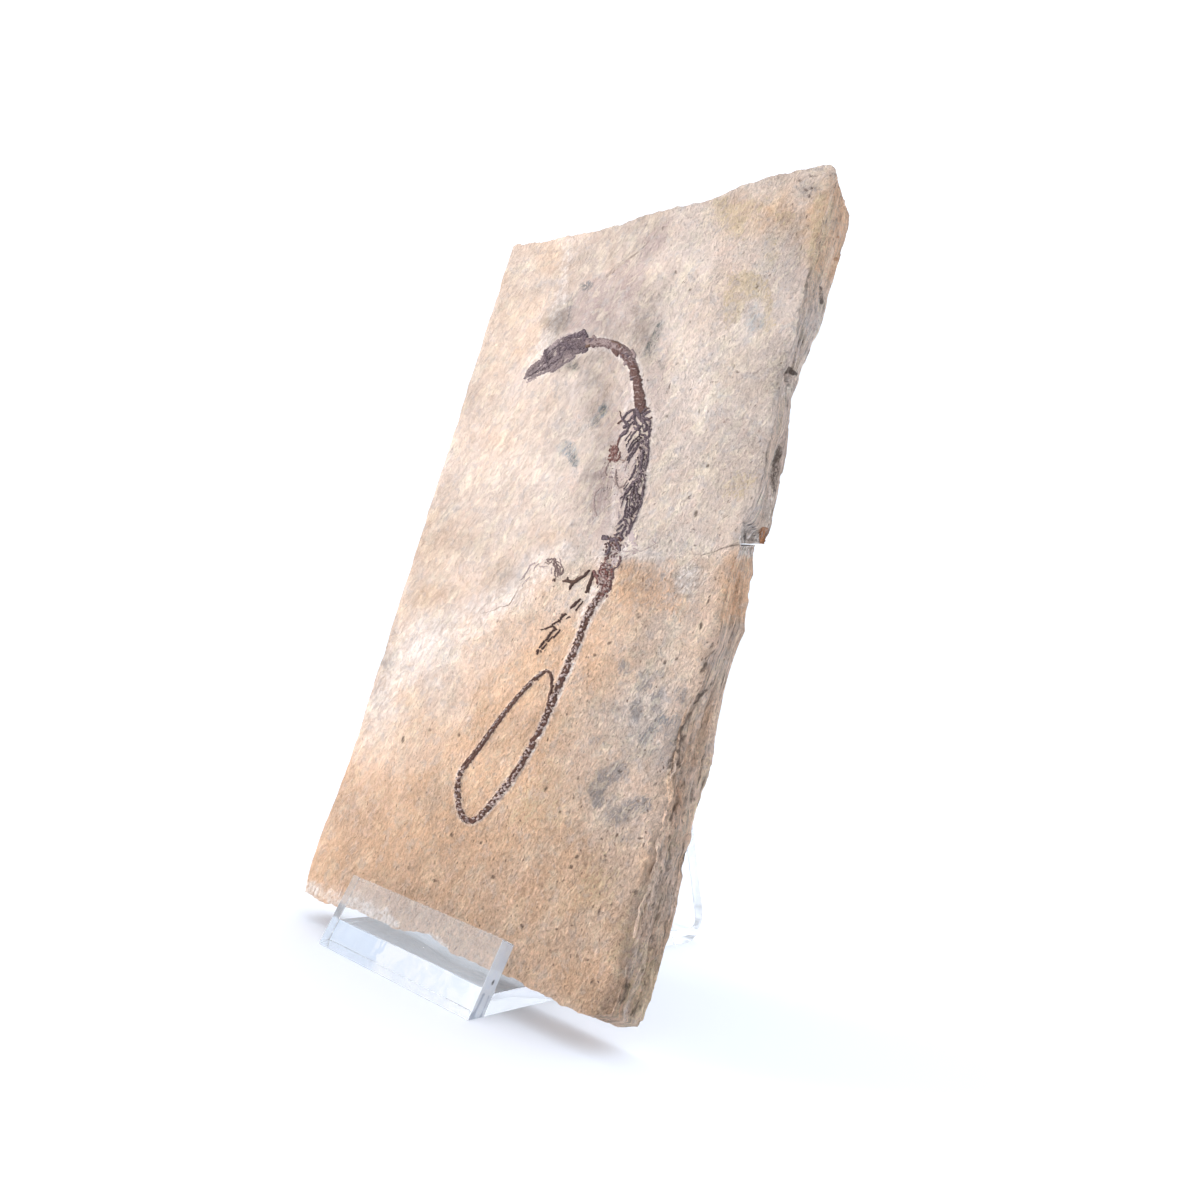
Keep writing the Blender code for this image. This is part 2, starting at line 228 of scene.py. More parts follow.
# --------------------------------------------------------- the slab's edges
def table(points, key):
    """Sorted arrays for np.interp: key 0 gives v from u, key 1 gives u from v."""
    p = sorted(points, key=lambda q: q[key])
    return (np.array([q[key] for q in p], float),
            np.array([q[1 - key] for q in p], float))


LEFT_F = [(-56.1, -1.3), (-57.4, 3.9), (-58.0, 8.9), (-58.1, 21.5), (-57.0, 39.3),
          (-56.9, 51.3), (-57.5, 68.8), (-57.5, 84.7), (-58.3, 88.6), (-58.9, 110.0),
          (-59.7, 135.8), (-60.4, 160.0), (-61.2, 186.3), (-62.2, 215.0),
          (-63.1, 245.1)]
LEFT_B = [(u + 0.5, v) for u, v in LEFT_F]
TOP_F = [(-63.1, 243.7), (-58.9, 244.9), (-39.8, 244.1), (-38.9, 244.9),
         (-35.8, 244.8), (-23.8, 245.0), (-11.3, 245.9), (-5.8, 247.4), (7.3, 249.1),
         (22.2, 249.2), (34.2, 253.1), (42.5, 254.1), (51.4, 254.5), (56.6, 255.2),
         (63.6, 254.6), (65.2, 253.4), (66.0, 251.9), (66.6, 250.6)]
TOP_B = [(-63.1, 242.6), (-58.9, 243.7), (-40.6, 243.0), (-35.8, 243.9),
         (-23.8, 243.6), (-11.3, 245.2), (-5.8, 246.4), (7.3, 247.6), (21.6, 248.0),
         (33.0, 251.0), (42.5, 252.6), (56.6, 253.8), (63.2, 252.4), (66.2, 248.4)]
BOTTOM_F = [(-58.5, -1.0), (-56.1, -1.3), (-48.1, -1.5), (-38.7, -0.2), (-30.4, 0.6),
            (-17.5, 0.4), (-11.2, 0.7), (-5.1, 1.7), (0.7, 2.9), (5.0, 2.6),
            (11.8, 1.0), (23.2, 1.3), (35.7, 1.8), (46.3, 0.9), (55.0, 0.7),
            (62.4, 1.2), (66.5, 3.4)]
BOTTOM_B = [(-58.5, 0.2), (-48.1, -0.4), (-38.7, 0.2), (-32.0, 0.0), (-17.5, 0.0),
            (-11.2, 0.5), (-5.1, 1.2), (0.7, 1.8), (5.0, 1.6), (11.8, 0.4),
            (23.2, 0.0), (35.7, 0.0), (46.3, -0.8), (55.0, -1.6), (61.4, -2.2),
            (66.5, 0.2)]
RIGHT_F_LOW = [(61.6, -1.6), (64.2, 3.6), (64.8, 10.0), (64.6, 25.0), (65.2, 40.0),
               (64.6, 54.0), (63.3, 63.9), (62.8, 73.8), (63.0, 82.3), (65.1, 91.0),
               (65.8, 98.4), (67.1, 101.4), (66.1, 110.4), (65.5, 121.8),
               (66.3, 126.2), (66.1, 130.0)]
RIGHT_B_LOW = [(63.4, -2.0), (65.6, 2.6), (66.2, 9.6), (66.9, 28.0), (66.3, 41.2),
               (65.9, 52.0), (65.3, 57.3), (65.7, 62.7), (66.7, 69.0), (65.3, 81.0),
               (64.7, 90.5), (65.2, 103.8), (66.3, 109.4), (65.2, 114.4),
               (65.1, 117.7), (64.0, 123.8), (64.4, 126.0), (63.1, 130.9),
               (62.7, 134.6)]
RIGHT_F_UP = [(66.0, 129.0), (65.0, 135.7), (66.5, 140.6), (67.8, 147.4),
              (67.1, 160.7), (66.9, 169.8), (65.8, 181.4), (66.7, 185.3),
              (66.4, 196.8), (65.3, 212.8), (65.5, 225.2), (66.2, 251.7)]
RIGHT_B_UP = [(65.3, 135.7), (65.9, 138.6), (66.3, 141.8), (65.8, 147.8),
              (65.1, 164.4), (63.8, 174.7), (62.0, 183.2), (63.1, 189.6),
              (63.3, 194.1), (64.9, 202.3), (66.3, 208.9), (65.6, 218.9),
              (66.0, 223.9), (66.5, 243.5), (65.9, 247.3)]
SEAM_F = [(-62.0, 84.0), (-57.5, 84.7), (-42.3, 90.9), (-29.4, 93.2), (-24.9, 96.5),
          (-17.8, 100.1), (-9.5, 103.4), (-7.0, 111.2), (-3.1, 117.3), (2.3, 119.4),
          (12.8, 121.6), (23.8, 122.7), (30.3, 123.2), (39.7, 127.4), (55.6, 125.0),
          (62.0, 127.8), (66.4, 129.4)]
SEAM_B = [(-62.0, 87.4), (-57.9, 88.0), (-42.3, 94.5), (-29.8, 98.0), (-25.0, 101.5),
          (-18.2, 105.0), (-10.4, 109.0), (-7.6, 116.0), (-3.5, 121.6),
          (2.3, 124.0), (12.8, 126.0), (23.8, 127.4), (30.3, 128.6), (39.7, 131.8),
          (55.6, 131.2), (63.6, 134.9), (66.4, 135.6)]

T = {name: (table(f, key), table(b, key)) for name, f, b, key in (
    ("left", LEFT_F, LEFT_B, 1), ("top", TOP_F, TOP_B, 0),
    ("bottom", BOTTOM_F, BOTTOM_B, 0), ("right_low", RIGHT_F_LOW, RIGHT_B_LOW, 1),
    ("right_up", RIGHT_F_UP, RIGHT_B_UP, 1), ("seam", SEAM_F, SEAM_B, 0))}


def edge(name, at, w):
    (fx, fy), (bx, by) = T[name]
    return lerp(np.interp(at, fx, fy), np.interp(at, bx, by), w / THICK)


def seam_gap(u, w):
    """Half the gap along the break: a hair on the face, open behind it at the
    right end, where a splinter is missing."""
    return 0.035 + 0.28 * smooth(53.0, 57.0, u) * smooth(1.2, 3.0, w)


def seam_at(u, w):
    ragged = 0.35 * noise(u / 2.2, w / 3.0, 0, 31) + 0.15 * noise(u / 0.8, w / 1.4, 0, 32)
    mid = edge("seam", u, w)
    # behind the face, at the right, the two stones part along one flat sheet
    mid = lerp(mid, 129.01 + 0.405 * w, smooth(53.0, 57.0, u) * smooth(1.2, 3.0, w))
    return mid + ragged * (1 - 0.7 * smooth(53.0, 57.0, u))


# ------------------------------------------------------------ bone outlines
# Centre lines in frame points: x, y and half width.
NECK_LINE = [(588, 344, 5.0), (600, 342.6, 4.4), (612, 345, 5.0), (620, 350.5, 4.8),
             (627, 357, 4.8), (633, 364.5, 4.8), (635.5, 371, 4.6), (636.3, 377, 4.4),
             (637.8, 385, 4.6), (638.6, 394, 4.8), (640.8, 405, 5.6)]
TAIL_LINE = [(607, 581, 5.6), (602, 592, 5.0), (597, 600, 4.8), (591, 609, 4.8),
             (586, 618, 4.6), (582.5, 628, 4.6), (579.5, 637, 4.6), (576, 646, 4.4),
             (572, 655, 4.4), (568.5, 663, 4.4), (565, 672, 4.2), (560, 682, 4.2),
             (556, 692, 4.2), (552, 702, 4.2), (547.5, 712, 4.2), (543, 722, 4.2),
             (538, 733, 4.2), (532, 744, 4.2), (526, 755.5, 4.2), (519, 767, 4.2),
             (512, 778, 4.2), (504, 788, 4.2), (496, 798, 4.2), (488, 808, 4.2),
             (480, 816.5, 4.2), (473, 821, 4.0), (466.5, 820.5, 4.0),
             (461.5, 815, 3.9), (459, 806, 3.6), (457.6, 796, 3.4), (457.3, 786, 3.2),
             (459, 776, 3.0), (463.5, 767.5, 2.8), (470, 759.5, 2.7), (477.5, 750, 2.6),
             (484.5, 740.5, 2.5), (491.5, 730.5, 2.4), (499, 720, 2.4),
             (507, 710, 2.3), (516, 699.5, 2.2), (525, 689, 2.1), (534, 680, 2.0),
             (541.5, 673.6, 1.8), (547, 671, 1.5), (550.6, 673.5, 1.3),
             (552, 679, 1.2), (551.6, 687, 1.2), (549.6, 696, 1.1), (547.4, 705, 1.0),
             (545, 713, 0.9)]
SKULL_EDGE = [(524.5, 381.5), (531, 371), (537, 364), (541, 358), (544, 352),
              (548, 349), (553, 347), (558, 341), (563, 337), (570, 334),
              (577, 331.5), (584, 330), (588, 335), (589, 343), (587, 350),
              (580, 354), (575, 358), (566, 364), (558, 368), (554, 372),
              (548, 373), (540, 375), (532, 379)]
TRUNK_LINE = [(638, 410, 12), (640, 425, 14), (637, 440, 14), (633, 455, 16),
              (630, 470, 16), (629, 490, 14), (627, 510, 12), (622, 530, 9),
              (616, 545, 9), (609, 560, 8), (606, 578, 7)]


# ------------------------------------------------------------- face relief
def relief(u, v):
    """How far the face stands proud, in millimetres, and its frame points."""
    X, Y = seen(row(u, v, np.zeros_like(u)))
    h = 0.34 * fbm(u / 34.0, v / 40.0, 0, 2, 11)
    h = h + 0.10 * fbm(u / 7.0, v / 11.0, 0, 2, 12)
    h = h + 0.035 * fbm(u / 1.6, v / 2.6, 0, 2, 13)
    # shallow flakes that have split away in sheets, mostly on the right
    sheet = fbm(u / 22.0 + 5.0, v / 30.0, 0, 3, 14)
    right = smooth(-10.0, 55.0, u)
    for level, deep in ((0.05, 0.10), (0.26, 0.12), (0.42, 0.10)):
        h = h - deep * right * smooth(level - 0.018, level + 0.018, sheet)
    # the long low ridge from the top edge towards the snout, and its shadow
    d, run, _, side = along(X, Y, [(569, 238), (567, 300), (552, 338), (527, 378)])
    h = h + 0.28 * np.where(side > 0, np.exp(-(d / 16.0) ** 2), np.exp(-(d / 3.0) ** 2))
    # raised left rim of the grey wedge by the top edge
    d, _, _, side = along(X, Y, [(672, 226), (660, 222), (640, 243), (625, 258),
                                 (605, 275), (588, 283)])
    h = h - 0.16 * np.where(side < 0, np.exp(-(d / 7.0) ** 2), 0) \
          + 0.05 * np.where(side > 0, np.exp(-(d / 3.0) ** 2), 0)
    # a chip lost beside the break
    chip = inside(X, Y, [(676, 572), (690, 567), (702, 567), (703, 578), (698, 590),
                         (690, 597), (676, 595), (671, 584)])
    chip = chip + 1.5 * fbm(X / 6.0, Y / 6.0, 0, 2, 15)
    h = h - 0.55 * smooth(-0.8, 2.4, chip)
    # the stone was scraped away beside the tail
    d, run, wide, _ = along(X, Y, TAIL_LINE)
    h = h - 0.22 * np.exp(-((d - wide - 2.4) / 2.6) ** 2) * smooth(0, 20, run)
    d, _, wide, _ = along(X, Y, NECK_LINE)
    h = h - 0.16 * np.exp(-((d - wide - 2.0) / 2.0) ** 2)
    # the face falls away a little at the edges
    wide_l = u - edge("left", v, np.zeros_like(u))
    h = h - 0.5 * np.exp(-(wide_l / 1.1) ** 2) * (0.6 + 0.4 * noise(v / 5.0, u / 9.0, 0, 16))
    low = smooth(132.0, 60.0, v)
    wide_r = np.where(v > edge("seam", u, np.zeros_like(u)),
                      edge("right_up", v, np.zeros_like(u)),
                      edge("right_low", v, np.zeros_like(u))) - u
    fall = lerp(1.2, 4.2 * (0.55 + 0.45 * noise(v / 9.0, 0, 0, 17)), low)
    h = h - lerp(0.7, 2.4, low) * np.exp(-(np.maximum(wide_r, 0) / fall) ** 1.4)
    crag = 1 - 2 * np.abs(fbm(u / 2.6, v / 5.0, 0, 3, 18))
    h = h + lerp(0.05, 0.45, low) * (crag - 0.5) * np.exp(-(np.maximum(wide_r, 0) / 4.0) ** 2)
    # grain that the key light can catch, coarser towards the right and the foot
    coarse = 0.25 + 0.75 * np.maximum(right, low)
    h = h + coarse * (0.10 * fbm(u / 3.2, v / 4.6, 0, 2, 19) + 0.05 * noise(u / 1.3, v / 1.7, 0, 20))
    return h, X, Y


# ------------------------------------------------------------ mesh building
def build_mesh(name, verts_mm, faces, smooth_angle=None):
    me = bpy.data.meshes.new(name)
    me.from_pydata((verts_mm * MM).tolist(), [], faces)
    me.validate(clean_customdata=False)
    me.update()
    ob = bpy.data.objects.new(name, me)
    bpy.context.collection.objects.link(ob)
    me.polygons.foreach_set("use_smooth", [True] * len(me.polygons))
    if smooth_angle is not None:
        me.set_sharp_from_angle(angle=math.radians(smooth_angle))
    return ob


def put(ob, name, values, kind="FLOAT"):
    a = ob.data.attributes.new(name, kind, "POINT")
    key = "value" if kind == "FLOAT" else "vector"
    a.data.foreach_set(key, np.ascontiguousarray(values, np.float32).ravel())


def side_push(u, v, w, nu, nv, upper):
    """How far the broken edge stands out, in millimetres: thin laminae that
    stop at different lengths, splinters and a few lost chips."""
    run = v * np.abs(nu) + u * np.abs(nv) + 40.0 * nu
    bend = 1.1 * noise(run / 26.0, nu * 3.0, 0, 41) + 0.5 * noise(run / 9.0, nu * 3.0, 2.0, 42)
    layer = w / 1.45 + bend
    k = np.floor(layer)
    part = layer - k
    d0 = noise(run / 15.0 + 7.7 * k, k * 1.7, nu, 43)
    d1 = noise(run / 15.0 + 7.7 * (k + 1), (k + 1) * 1.7, nu, 43)
    step = lerp(d0, d1, smooth(0.80, 1.0, part))
    thin = 0.5 * np.minimum(part, 1 - part) * 2
    mid = np.sqrt(np.clip(4 * (w / THICK) * (1 - w / THICK), 0, 1))
    right = smooth(0.3, 0.9, nu)
    low = smooth(100.0, 60.0, v) * right
    size = 0.34 + 0.30 * right + 0.55 * low
    d = size * step * (0.25 + 0.75 * mid)
    d = d - 0.20 * (1 - thin) * (0.3 + 0.7 * mid) * (0.5 + right)
    d = d + (0.16 + 0.16 * low) * fbm(run / 1.9, w / 0.7, nu * 5 + u / 3.0, 3, 44)
    d = d - (0.25 + 0.9 * low) * mid
    crag = 1 - 2 * np.abs(fbm(run / 5.5, w / 3.6, nu, 3, 46))
    d = d + 0.80 * low * (crag - 0.4) * (0.3 + 0.7 * mid)
    burst = fbm(run / 11.0 + w / 9.0, w / 5.0, nu, 3, 47)
    d = d + 0.9 * low * np.clip(burst, -0.6, 0.5) * smooth(15.5, 9.0, w)
    # edges break off in small bites
    bite = smooth(0.35, 0.8, noise(run / 3.4, nu * 7.0 + w / 9.0, 0, 45))
    d = d - bite * ((0.45 + 0.60 * low) * np.exp(-(w / 1.3) ** 2)
                    + 0.40 * np.exp(-((w - THICK) / 1.4) ** 2))
    return d


def half_slab(name, upper, ns, nt, layers, stride=4):
    """One of the two stones as a closed mesh, with its face, its broken edges
    and its back."""
    base, crest = ("seam", "top") if upper else ("bottom", "seam")
    right = "right_up" if upper else "right_low"

    def place(s, t, w):
        u0 = lerp(-60.5, 66.2, s)
        gap = seam_gap(u0, w)
        if upper:
            vb, vt = seam_at(u0, w) + gap, edge("top", u0, w)
        else:
            vb, vt = edge("bottom", u0, w), seam_at(u0, w) - gap
        v = lerp(vb, vt, t)
        return lerp(edge("left", v, w), edge(right, v, w), s), v

    s1 = np.linspace(0, 1, ns + 1)
    t1 = np.linspace(0, 1, nt + 1)
    S, Tt = np.meshgrid(s1, t1)                    # rows are t
    U, V = place(S, Tt, np.zeros_like(S))
    h, X, Y = relief(U, V)
    # ragged rims
    top_rag = 0.35 * noise(U / 2.4, 3.0, 0, 21) + 0.2 * noise(U / 0.9, 1.0, 0, 22)
    if upper:
        V = V + top_rag * smooth(0.97, 1.0, Tt)
    else:
        V = V + 0.8 * top_rag * smooth(0.03, 0.0, Tt)
    right_rag = (0.35 if upper else 0.7) * noise(V / 3.3, 5.0, 0, 23) \
        + 0.25 * noise(V / 1.1, 9.0, 0, 24)
    U = U + right_rag * smooth(0.985, 1.0, S)
    U = U + 0.25 * noise(V / 4.0, 15.0, 0, 25) * smooth(0.02, 0.0, S)
    front = np.stack([U, V, -h], -1).reshape(-1, 3)
    index = np.arange((ns + 1) * (nt + 1)).reshape(nt + 1, ns + 1)
    faces = []
    a, b = index[:-1, :-1].ravel(), index[:-1, 1:].ravel()
    c, d = index[1:, 1:].ravel(), index[1:, :-1].ravel()
    faces += np.stack([a, b, c, d], -1).tolist()
    # rim, going round the face
    rim = np.concatenate([index[0, :-1], index[:-1, -1], index[-1, :0:-1],
                          index[:0:-1, 0]])
    rs, rt = S.ravel()[rim], Tt.ravel()[rim]
    nu = np.where(rs > 0.999, 1.0, 0.0) - np.where(rs < 0.001, 1.0, 0.0)
    nv = np.where(rt > 0.999, 1.0, 0.0) - np.where(rt < 0.001, 1.0, 0.0)
    n = np.hypot(nu, nv)
    nu, nv = nu / n, nv / n
    # blend the two directions over a few millimetres at the corners
    for _ in range(6):
        nu = (np.roll(nu, 1) + 2 * nu + np.roll(nu, -1)) / 4
        nv = (np.roll(nv, 1) + 2 * nv + np.roll(nv, -1)) / 4
    at_seam = (rt < 0.001) if upper else (rt > 0.999)
    verts = [front]
    count = len(front)
    previous = rim
    f3 = front[rim]
    push0 = side_push(f3[:, 0], f3[:, 1], np.zeros(len(rim)), nu, nv, upper)
    rings = []
    for j in range(1, layers + 1):
        w = THICK * j / layers
        bu, bv = place(rs, rt, np.full(len(rim), w))
        d = side_push(bu, bv, np.full(len(rim), w), nu, nv, upper)
        # carry the rim's own raggedness into the first layers
        keep = math.exp(-w / 2.5)
        fu, fv = place(rs, rt, np.zeros(len(rim)))
        du, dv = f3[:, 0] - fu, f3[:, 1] - fv
        quiet = np.where(at_seam, 0.12, 1.0)
        d = d * quiet - push0 * keep * quiet
        extra = np.zeros(len(rim))
        pu = bu + nu * (d + extra) + du * keep
        pv = bv + nv * (d + extra) + dv * keep
        pu, pv = edge_features(pu, pv, w, nu, nv, upper)
        ww = np.full(len(rim), w) - f3[:, 2] * 0 + f3[:, 2] * math.exp(-w / 1.0)
        if j == layers:
            ww = w + 0.25 * noise(pu / 6.0, pv / 6.0, 0, 61)
        ring = np.stack([pu, pv, ww], -1)
        rings.append(ring)
        idx = np.arange(count, count + len(rim))
        faces += np.stack([previous, idx, np.roll(idx, -1), np.roll(previous, -1)],
                          -1).tolist()
        verts.append(ring)
        count += len(rim)
        previous = idx
    # back: coarse inside, joined to every rim vertex
    last = rings[-1]
    back_index = -np.ones((nt + 1, ns + 1), int)
    back_index.ravel()[rim] = previous
    inner = [(J, I) for J in range(stride, nt, stride) for I in range(stride, ns, stride)]
    js = np.array([p[0] for p in inner])
    iz = np.array([p[1] for p in inner])
    bu, bv = place(s1[iz], t1[js], np.full(len(inner), THICK))
    bw = (THICK - 0.35 + 0.45 * fbm(bu / 30.0, bv / 30.0, 0, 3, 62)
          + 0.30 * smooth(0.0, 0.06, noise(bu / 26.0, bv / 33.0, 0, 63))
          + 0.12 * noise(bu / 3.0, bv / 5.0, 0, 64))
    verts.append(np.stack([bu, bv, bw], -1))
    back_index[js, iz] = np.arange(count, count + len(inner))
    count += len(inner)
    for J in range(0, nt, stride):
        for I in range(0, ns, stride):
            low = [(J, I + k) for k in range(0, stride)] if J == 0 else [(J, I)]
            rgt = [(J + k, I + stride) for k in range(0, stride)] if I + stride == ns else [(J, I + stride)]
            top = [(J + stride, I + stride - k) for k in range(0, stride)] if J + stride == nt else [(J + stride, I + stride)]
            lft = [(J + stride - k, I) for k in range(0, stride)] if I == 0 else [(J + stride, I)]
            loop = [back_index[q] for q in low + rgt + top + lft]
            faces.append([int(q) for q in reversed(loop)])
    P = np.concatenate(verts)
    ob = build_mesh(name, row(P[:, 0], P[:, 1], P[:, 2]), faces, 38)
    return ob, P, len(front), len(rim) * layers


def edge_features(pu, pv, w, nu, nv, upper):
    """Named chips of the right-hand edge."""
    right = nu > 0.5
    if upper:
        # a short saw-like nick near the middle of the upper stone
        lo, hi = 182.9 + 0.10 * w, 185.0 + 0.05 * w
        c, hw = (lo + hi) / 2, 1.0 - 0.04 * w
        cut = np.clip(1 - np.abs(pv - c) / hw, 0, 1)
        deep = 3.0 * (1 - smooth(11.5, 13.5, np.full_like(pv, w)))
        pu = np.where(right, pu - deep * np.minimum(cut * 2.2, 1), pu)
        # a long brown hollow in the laminae
        a = np.exp(-((pv - 157.0) / 10.5) ** 4) * np.exp(-((w - 10.8) / 2.9) ** 4)
        pu = np.where(right, pu - 1.7 * a, pu)
        # loose wedge just over the break
        a = smooth(139.0, 136.2, pv) * smooth(2.0, 4.0, np.full_like(pv, w)) \
            * (1 - smooth(10.5, 12.0, np.full_like(pv, w)))
        pu = np.where(right, pu - 1.5 * a, pu)
    return pu, pv


upper, UP_P, UP_FRONT, UP_SIDE = half_slab("slab_upper", True, 232, 232, 30)
lower, LO_P, LO_FRONT, LO_SIDE = half_slab("slab_lower", False, 232, 208, 30)


# --------------------------------------------------------- stains and tones
# painted shadows: dark lines in the hollows under lifted flakes near the lower right edge, each as points,
# half width and strength
FLAKE_SHADOWS = [([(718, 641), (712, 655)], 1.0, 0.62), ([(714, 643), (705, 659)], 1.1, 0.66),
          ([(706, 664), (702, 672)], 2.0, 0.80),
          ([(712, 682), (707, 689), (698, 699), (694, 704)], 1.4, 0.82),
          ([(690, 714), (683, 725), (678, 737), (676, 744)], 1.9, 0.72),
          ([(684, 736), (679, 747), (678, 756), (679, 766)], 1.9, 0.92),
          ([(675, 750), (672, 760), (672, 774), (677, 774.5)], 1.1, 0.75),
          ([(668.6, 758), (668.6, 774), (671, 785)], 0.8, 0.62),
          ([(684, 778), (684, 790)], 1.4, 0.62), ([(676.5, 800), (670, 821)], 1.4, 0.66),
          ([(675.6, 805), (675.6, 816)], 1.0, 0.60), ([(692, 791), (690.6, 801)], 1.6, 0.62),
          ([(684, 810), (683, 824)], 1.1, 0.60), ([(700, 672), (706, 690)], 0.8, 0.45),
          ([(694, 720), (690, 742)], 0.9, 0.42), ([(700, 726), (698, 750)], 0.8, 0.36)]


def face_marks(P, X, Y):
    """Masks over the face: stains that the stone has, with painted light and shade among them: a sheen, a
    highlight along the ridge, the shadows of a crease and of the flakes, and darkening where the light
    falls off.
    """
    m = Marks(X, Y)
    u, v = P[:, 0], P[:, 1]
    above = v - edge("seam", u, np.zeros_like(u))
    big = fbm(u / 30.0, v / 42.0, 0, 3, 81)
    mid = fbm(u / 9.0, v / 14.0, 0, 3, 82)
    small = fbm(u / 2.6, v / 4.6, 0, 2, 83)

    # tan ironstained part: the lower stone and a breath of it at the left
    lower_part = smooth(5.0, -6.0, above + 5.0 * mid)
    warm = 0.12 + 0.20 * smooth(20.0, -60.0, u) + 0.50 * lower_part
    warm = warm + 0.22 * smooth(70.0, 5.0, v) + 0.10 * big + 0.05 * small
    # painted sheen: a whitish haze of reflected light across the lower left, which pales the tan, whitens
    # the stone and smooths its grain
    painted_sheen = over(m.line([(562, 548, 10), (545, 562, 15), (520, 588, 17), (492, 606, 18),
                        (455, 625, 20), (420, 636, 22), (395, 650, 24), (383, 690, 22)],
                       18, 0.7, 0.5, 0.75),
                m.line([(640, 556, 7), (610, 556, 8), (570, 556, 8)], 8, 0.8, 0.4, 0.4),
                m.spot(640, 553, 26, 8, 4, 0.6, 0.5, 0.6),
                m.spot(455, 690, 40, 26, -50, 0.8, 0.6, 0.30),
                m.spot(372, 720, 18, 34, 20, 0.8, 0.5, 0.35))
    warm = warm - 0.45 * painted_sheen
    for x, y, rx, ry, turn, much in (
            (520, 700, 70, 34, -58, 0.42), (470, 770, 60, 34, -55, 0.42),
            (430, 850, 60, 34, 15, 0.42), (520, 850, 60, 50, 0, 0.30),
            (560, 640, 40, 28, -50, 0.32), (360, 795, 26, 26, 0, 0.28),
            (600, 990, 30, 30, 0, 0.25), (430, 545, 30, 40, 20, 0.30),
            (500, 570, 40, 20, -20, 0.15), (556, 800, 30, 40, 0, 0.20),
            (560, 880, 40, 30, 0, 0.30), (420, 660, 34, 20, -30, -0.40),
            (652, 600, 26, 50, 14, -0.30), (640, 720, 40, 40, 20, -0.42),
            (610, 800, 18, 34, 20, -0.30), (740, 590, 16, 40, 8, 0.25),
            (668, 590, 22, 36, 10, -0.26), (700, 548, 44, 12, 4, -0.30),
            (572, 590, 26, 26, -30, -0.34), (512, 770, 18, 40, 34, 0.34),
            (425, 865, 40, 20, 14, 0.26), (424, 794, 22, 26, 14, 0.26),
            (396, 630, 34, 34, 20, 0.34), (470, 606, 44, 18, -14, 0.30),
            (520, 580, 34, 16, -20, 0.20), (552, 544, 20, 14, 0, 0.24),
            (536, 330, 14, 30, 24, 0.28), (512, 440, 30, 40, 10, 0.16),
            (512, 310, 20, 50, 16, 0.16), (556, 256, 16, 22, 0, 0.24),
            (350, 792, 18, 22, 0, 0.16), (628, 960, 14, 50, 10, 0.14),
            (742, 214, 26, 24, 0, 0.30), (782, 208, 24, 26, 0, 0.32),
            (820, 215, 14, 44, 14, 0.45), (738, 288, 16, 26, 0, 0.24),
            (606, 402, 12, 34, 0, 0.20), (420, 655, 34, 24, -30, -0.22),
            (690, 610, 18, 30, 10, -0.14), (660, 700, 18, 40, 14, -0.20),
            (372, 745, 22, 34, 20, -0.22), (425, 765, 30, 20, 0, -0.12),
            (500, 645, 40, 16, -20, -0.20), (430, 865, 34, 16, 14, 0.24),
            (545, 600, 40, 12, -20, -0.20), (628, 820, 16, 20, 0, -0.16),
            (825, 235, 16, 34, 12, 0.50), (740, 215, 24, 16, 0, 0.25),
            (785, 222, 20, 18, 0, 0.25), (735, 575, 14, 20, 8, 0.30),
            (515, 757, 20, 22, 0, 0.30), (430, 868, 26, 16, 14, 0.24),
            (385, 902, 20, 14, 14, 0.24), (555, 545, 20, 16, 0, 0.26),
            (645, 594, 16, 26, 0, 0.28), (600, 685, 18, 20, 0, 0.28),
            (515, 685, 20, 20, 0, 0.22), (555, 722, 18, 20, 0, 0.24),
            (620, 1010, 20, 14, 10, 0.40), (645, 866, 14, 24, 14, 0.24),
            (430, 685, 20, 22, 0, -0.24), (560, 612, 18, 16, 0, -0.18),
            (515, 650, 20, 16, 0, -0.18), (430, 650, 20, 18, 0, -0.18),
            (430, 757, 20, 18, 0, -0.16), (385, 720, 18, 20, 0, -0.14),
            (620, 608, 28, 36, 10, 0.20), (735, 594, 14, 22, 8, 0.24),
            (430, 866, 22, 16, 14, 0.20), (640, 866, 12, 20, 14, 0.16),
            (470, 722, 18, 18, 0, -0.20), (640, 722, 18, 18, 0, -0.18),
            (542, 1006, 44, 12, 8, -0.20), (550, 595, 18, 11, -10, 0.36),
            (638, 866, 10, 22, 14, -0.34), (440, 836, 16, 20, 10, 0.20),
            (545, 632, 16, 12, -20, -0.20)):
        warm = warm + m.spot(x, y, rx, ry, turn, 0.9, 0.6, much)
    rust = over(m.patch([(604, 571), (622, 560), (648, 566), (668, 566), (690, 600),
                         (680, 620), (640, 612), (612, 600), (602, 588)], 9, 8, 0.60),
                m.spot(618, 580, 10, 16, 10, 0.6, 0.4, 0.45),
                m.spot(388, 585, 16, 34, 18, 0.7, 0.5, 0.30),
                m.spot(452, 842, 58, 26, 10, 0.8, 0.7, 0.42),
                m.spot(400, 868, 56, 26, 20, 0.8, 0.6, 0.38),
                m.spot(335, 868, 22, 26, 20, 0.8, 0.6, 0.25),
                m.spot(505, 745, 30, 30, -50, 0.8, 0.7, 0.18),
                m.spot(520, 650, 34, 22, -40, 0.8, 0.7, 0.22),
                m.spot(440, 730, 50, 40, -50, 0.8, 0.8, 0.16),
                m.spot(545, 965, 40, 14, 22, 0.8, 0.6, 0.20),
                m.spot(828, 200, 7, 26, 12, 0.7, 0.5, 0.45),
                m.spot(732, 590, 10, 42, 8, 0.7, 0.5, 0.40))
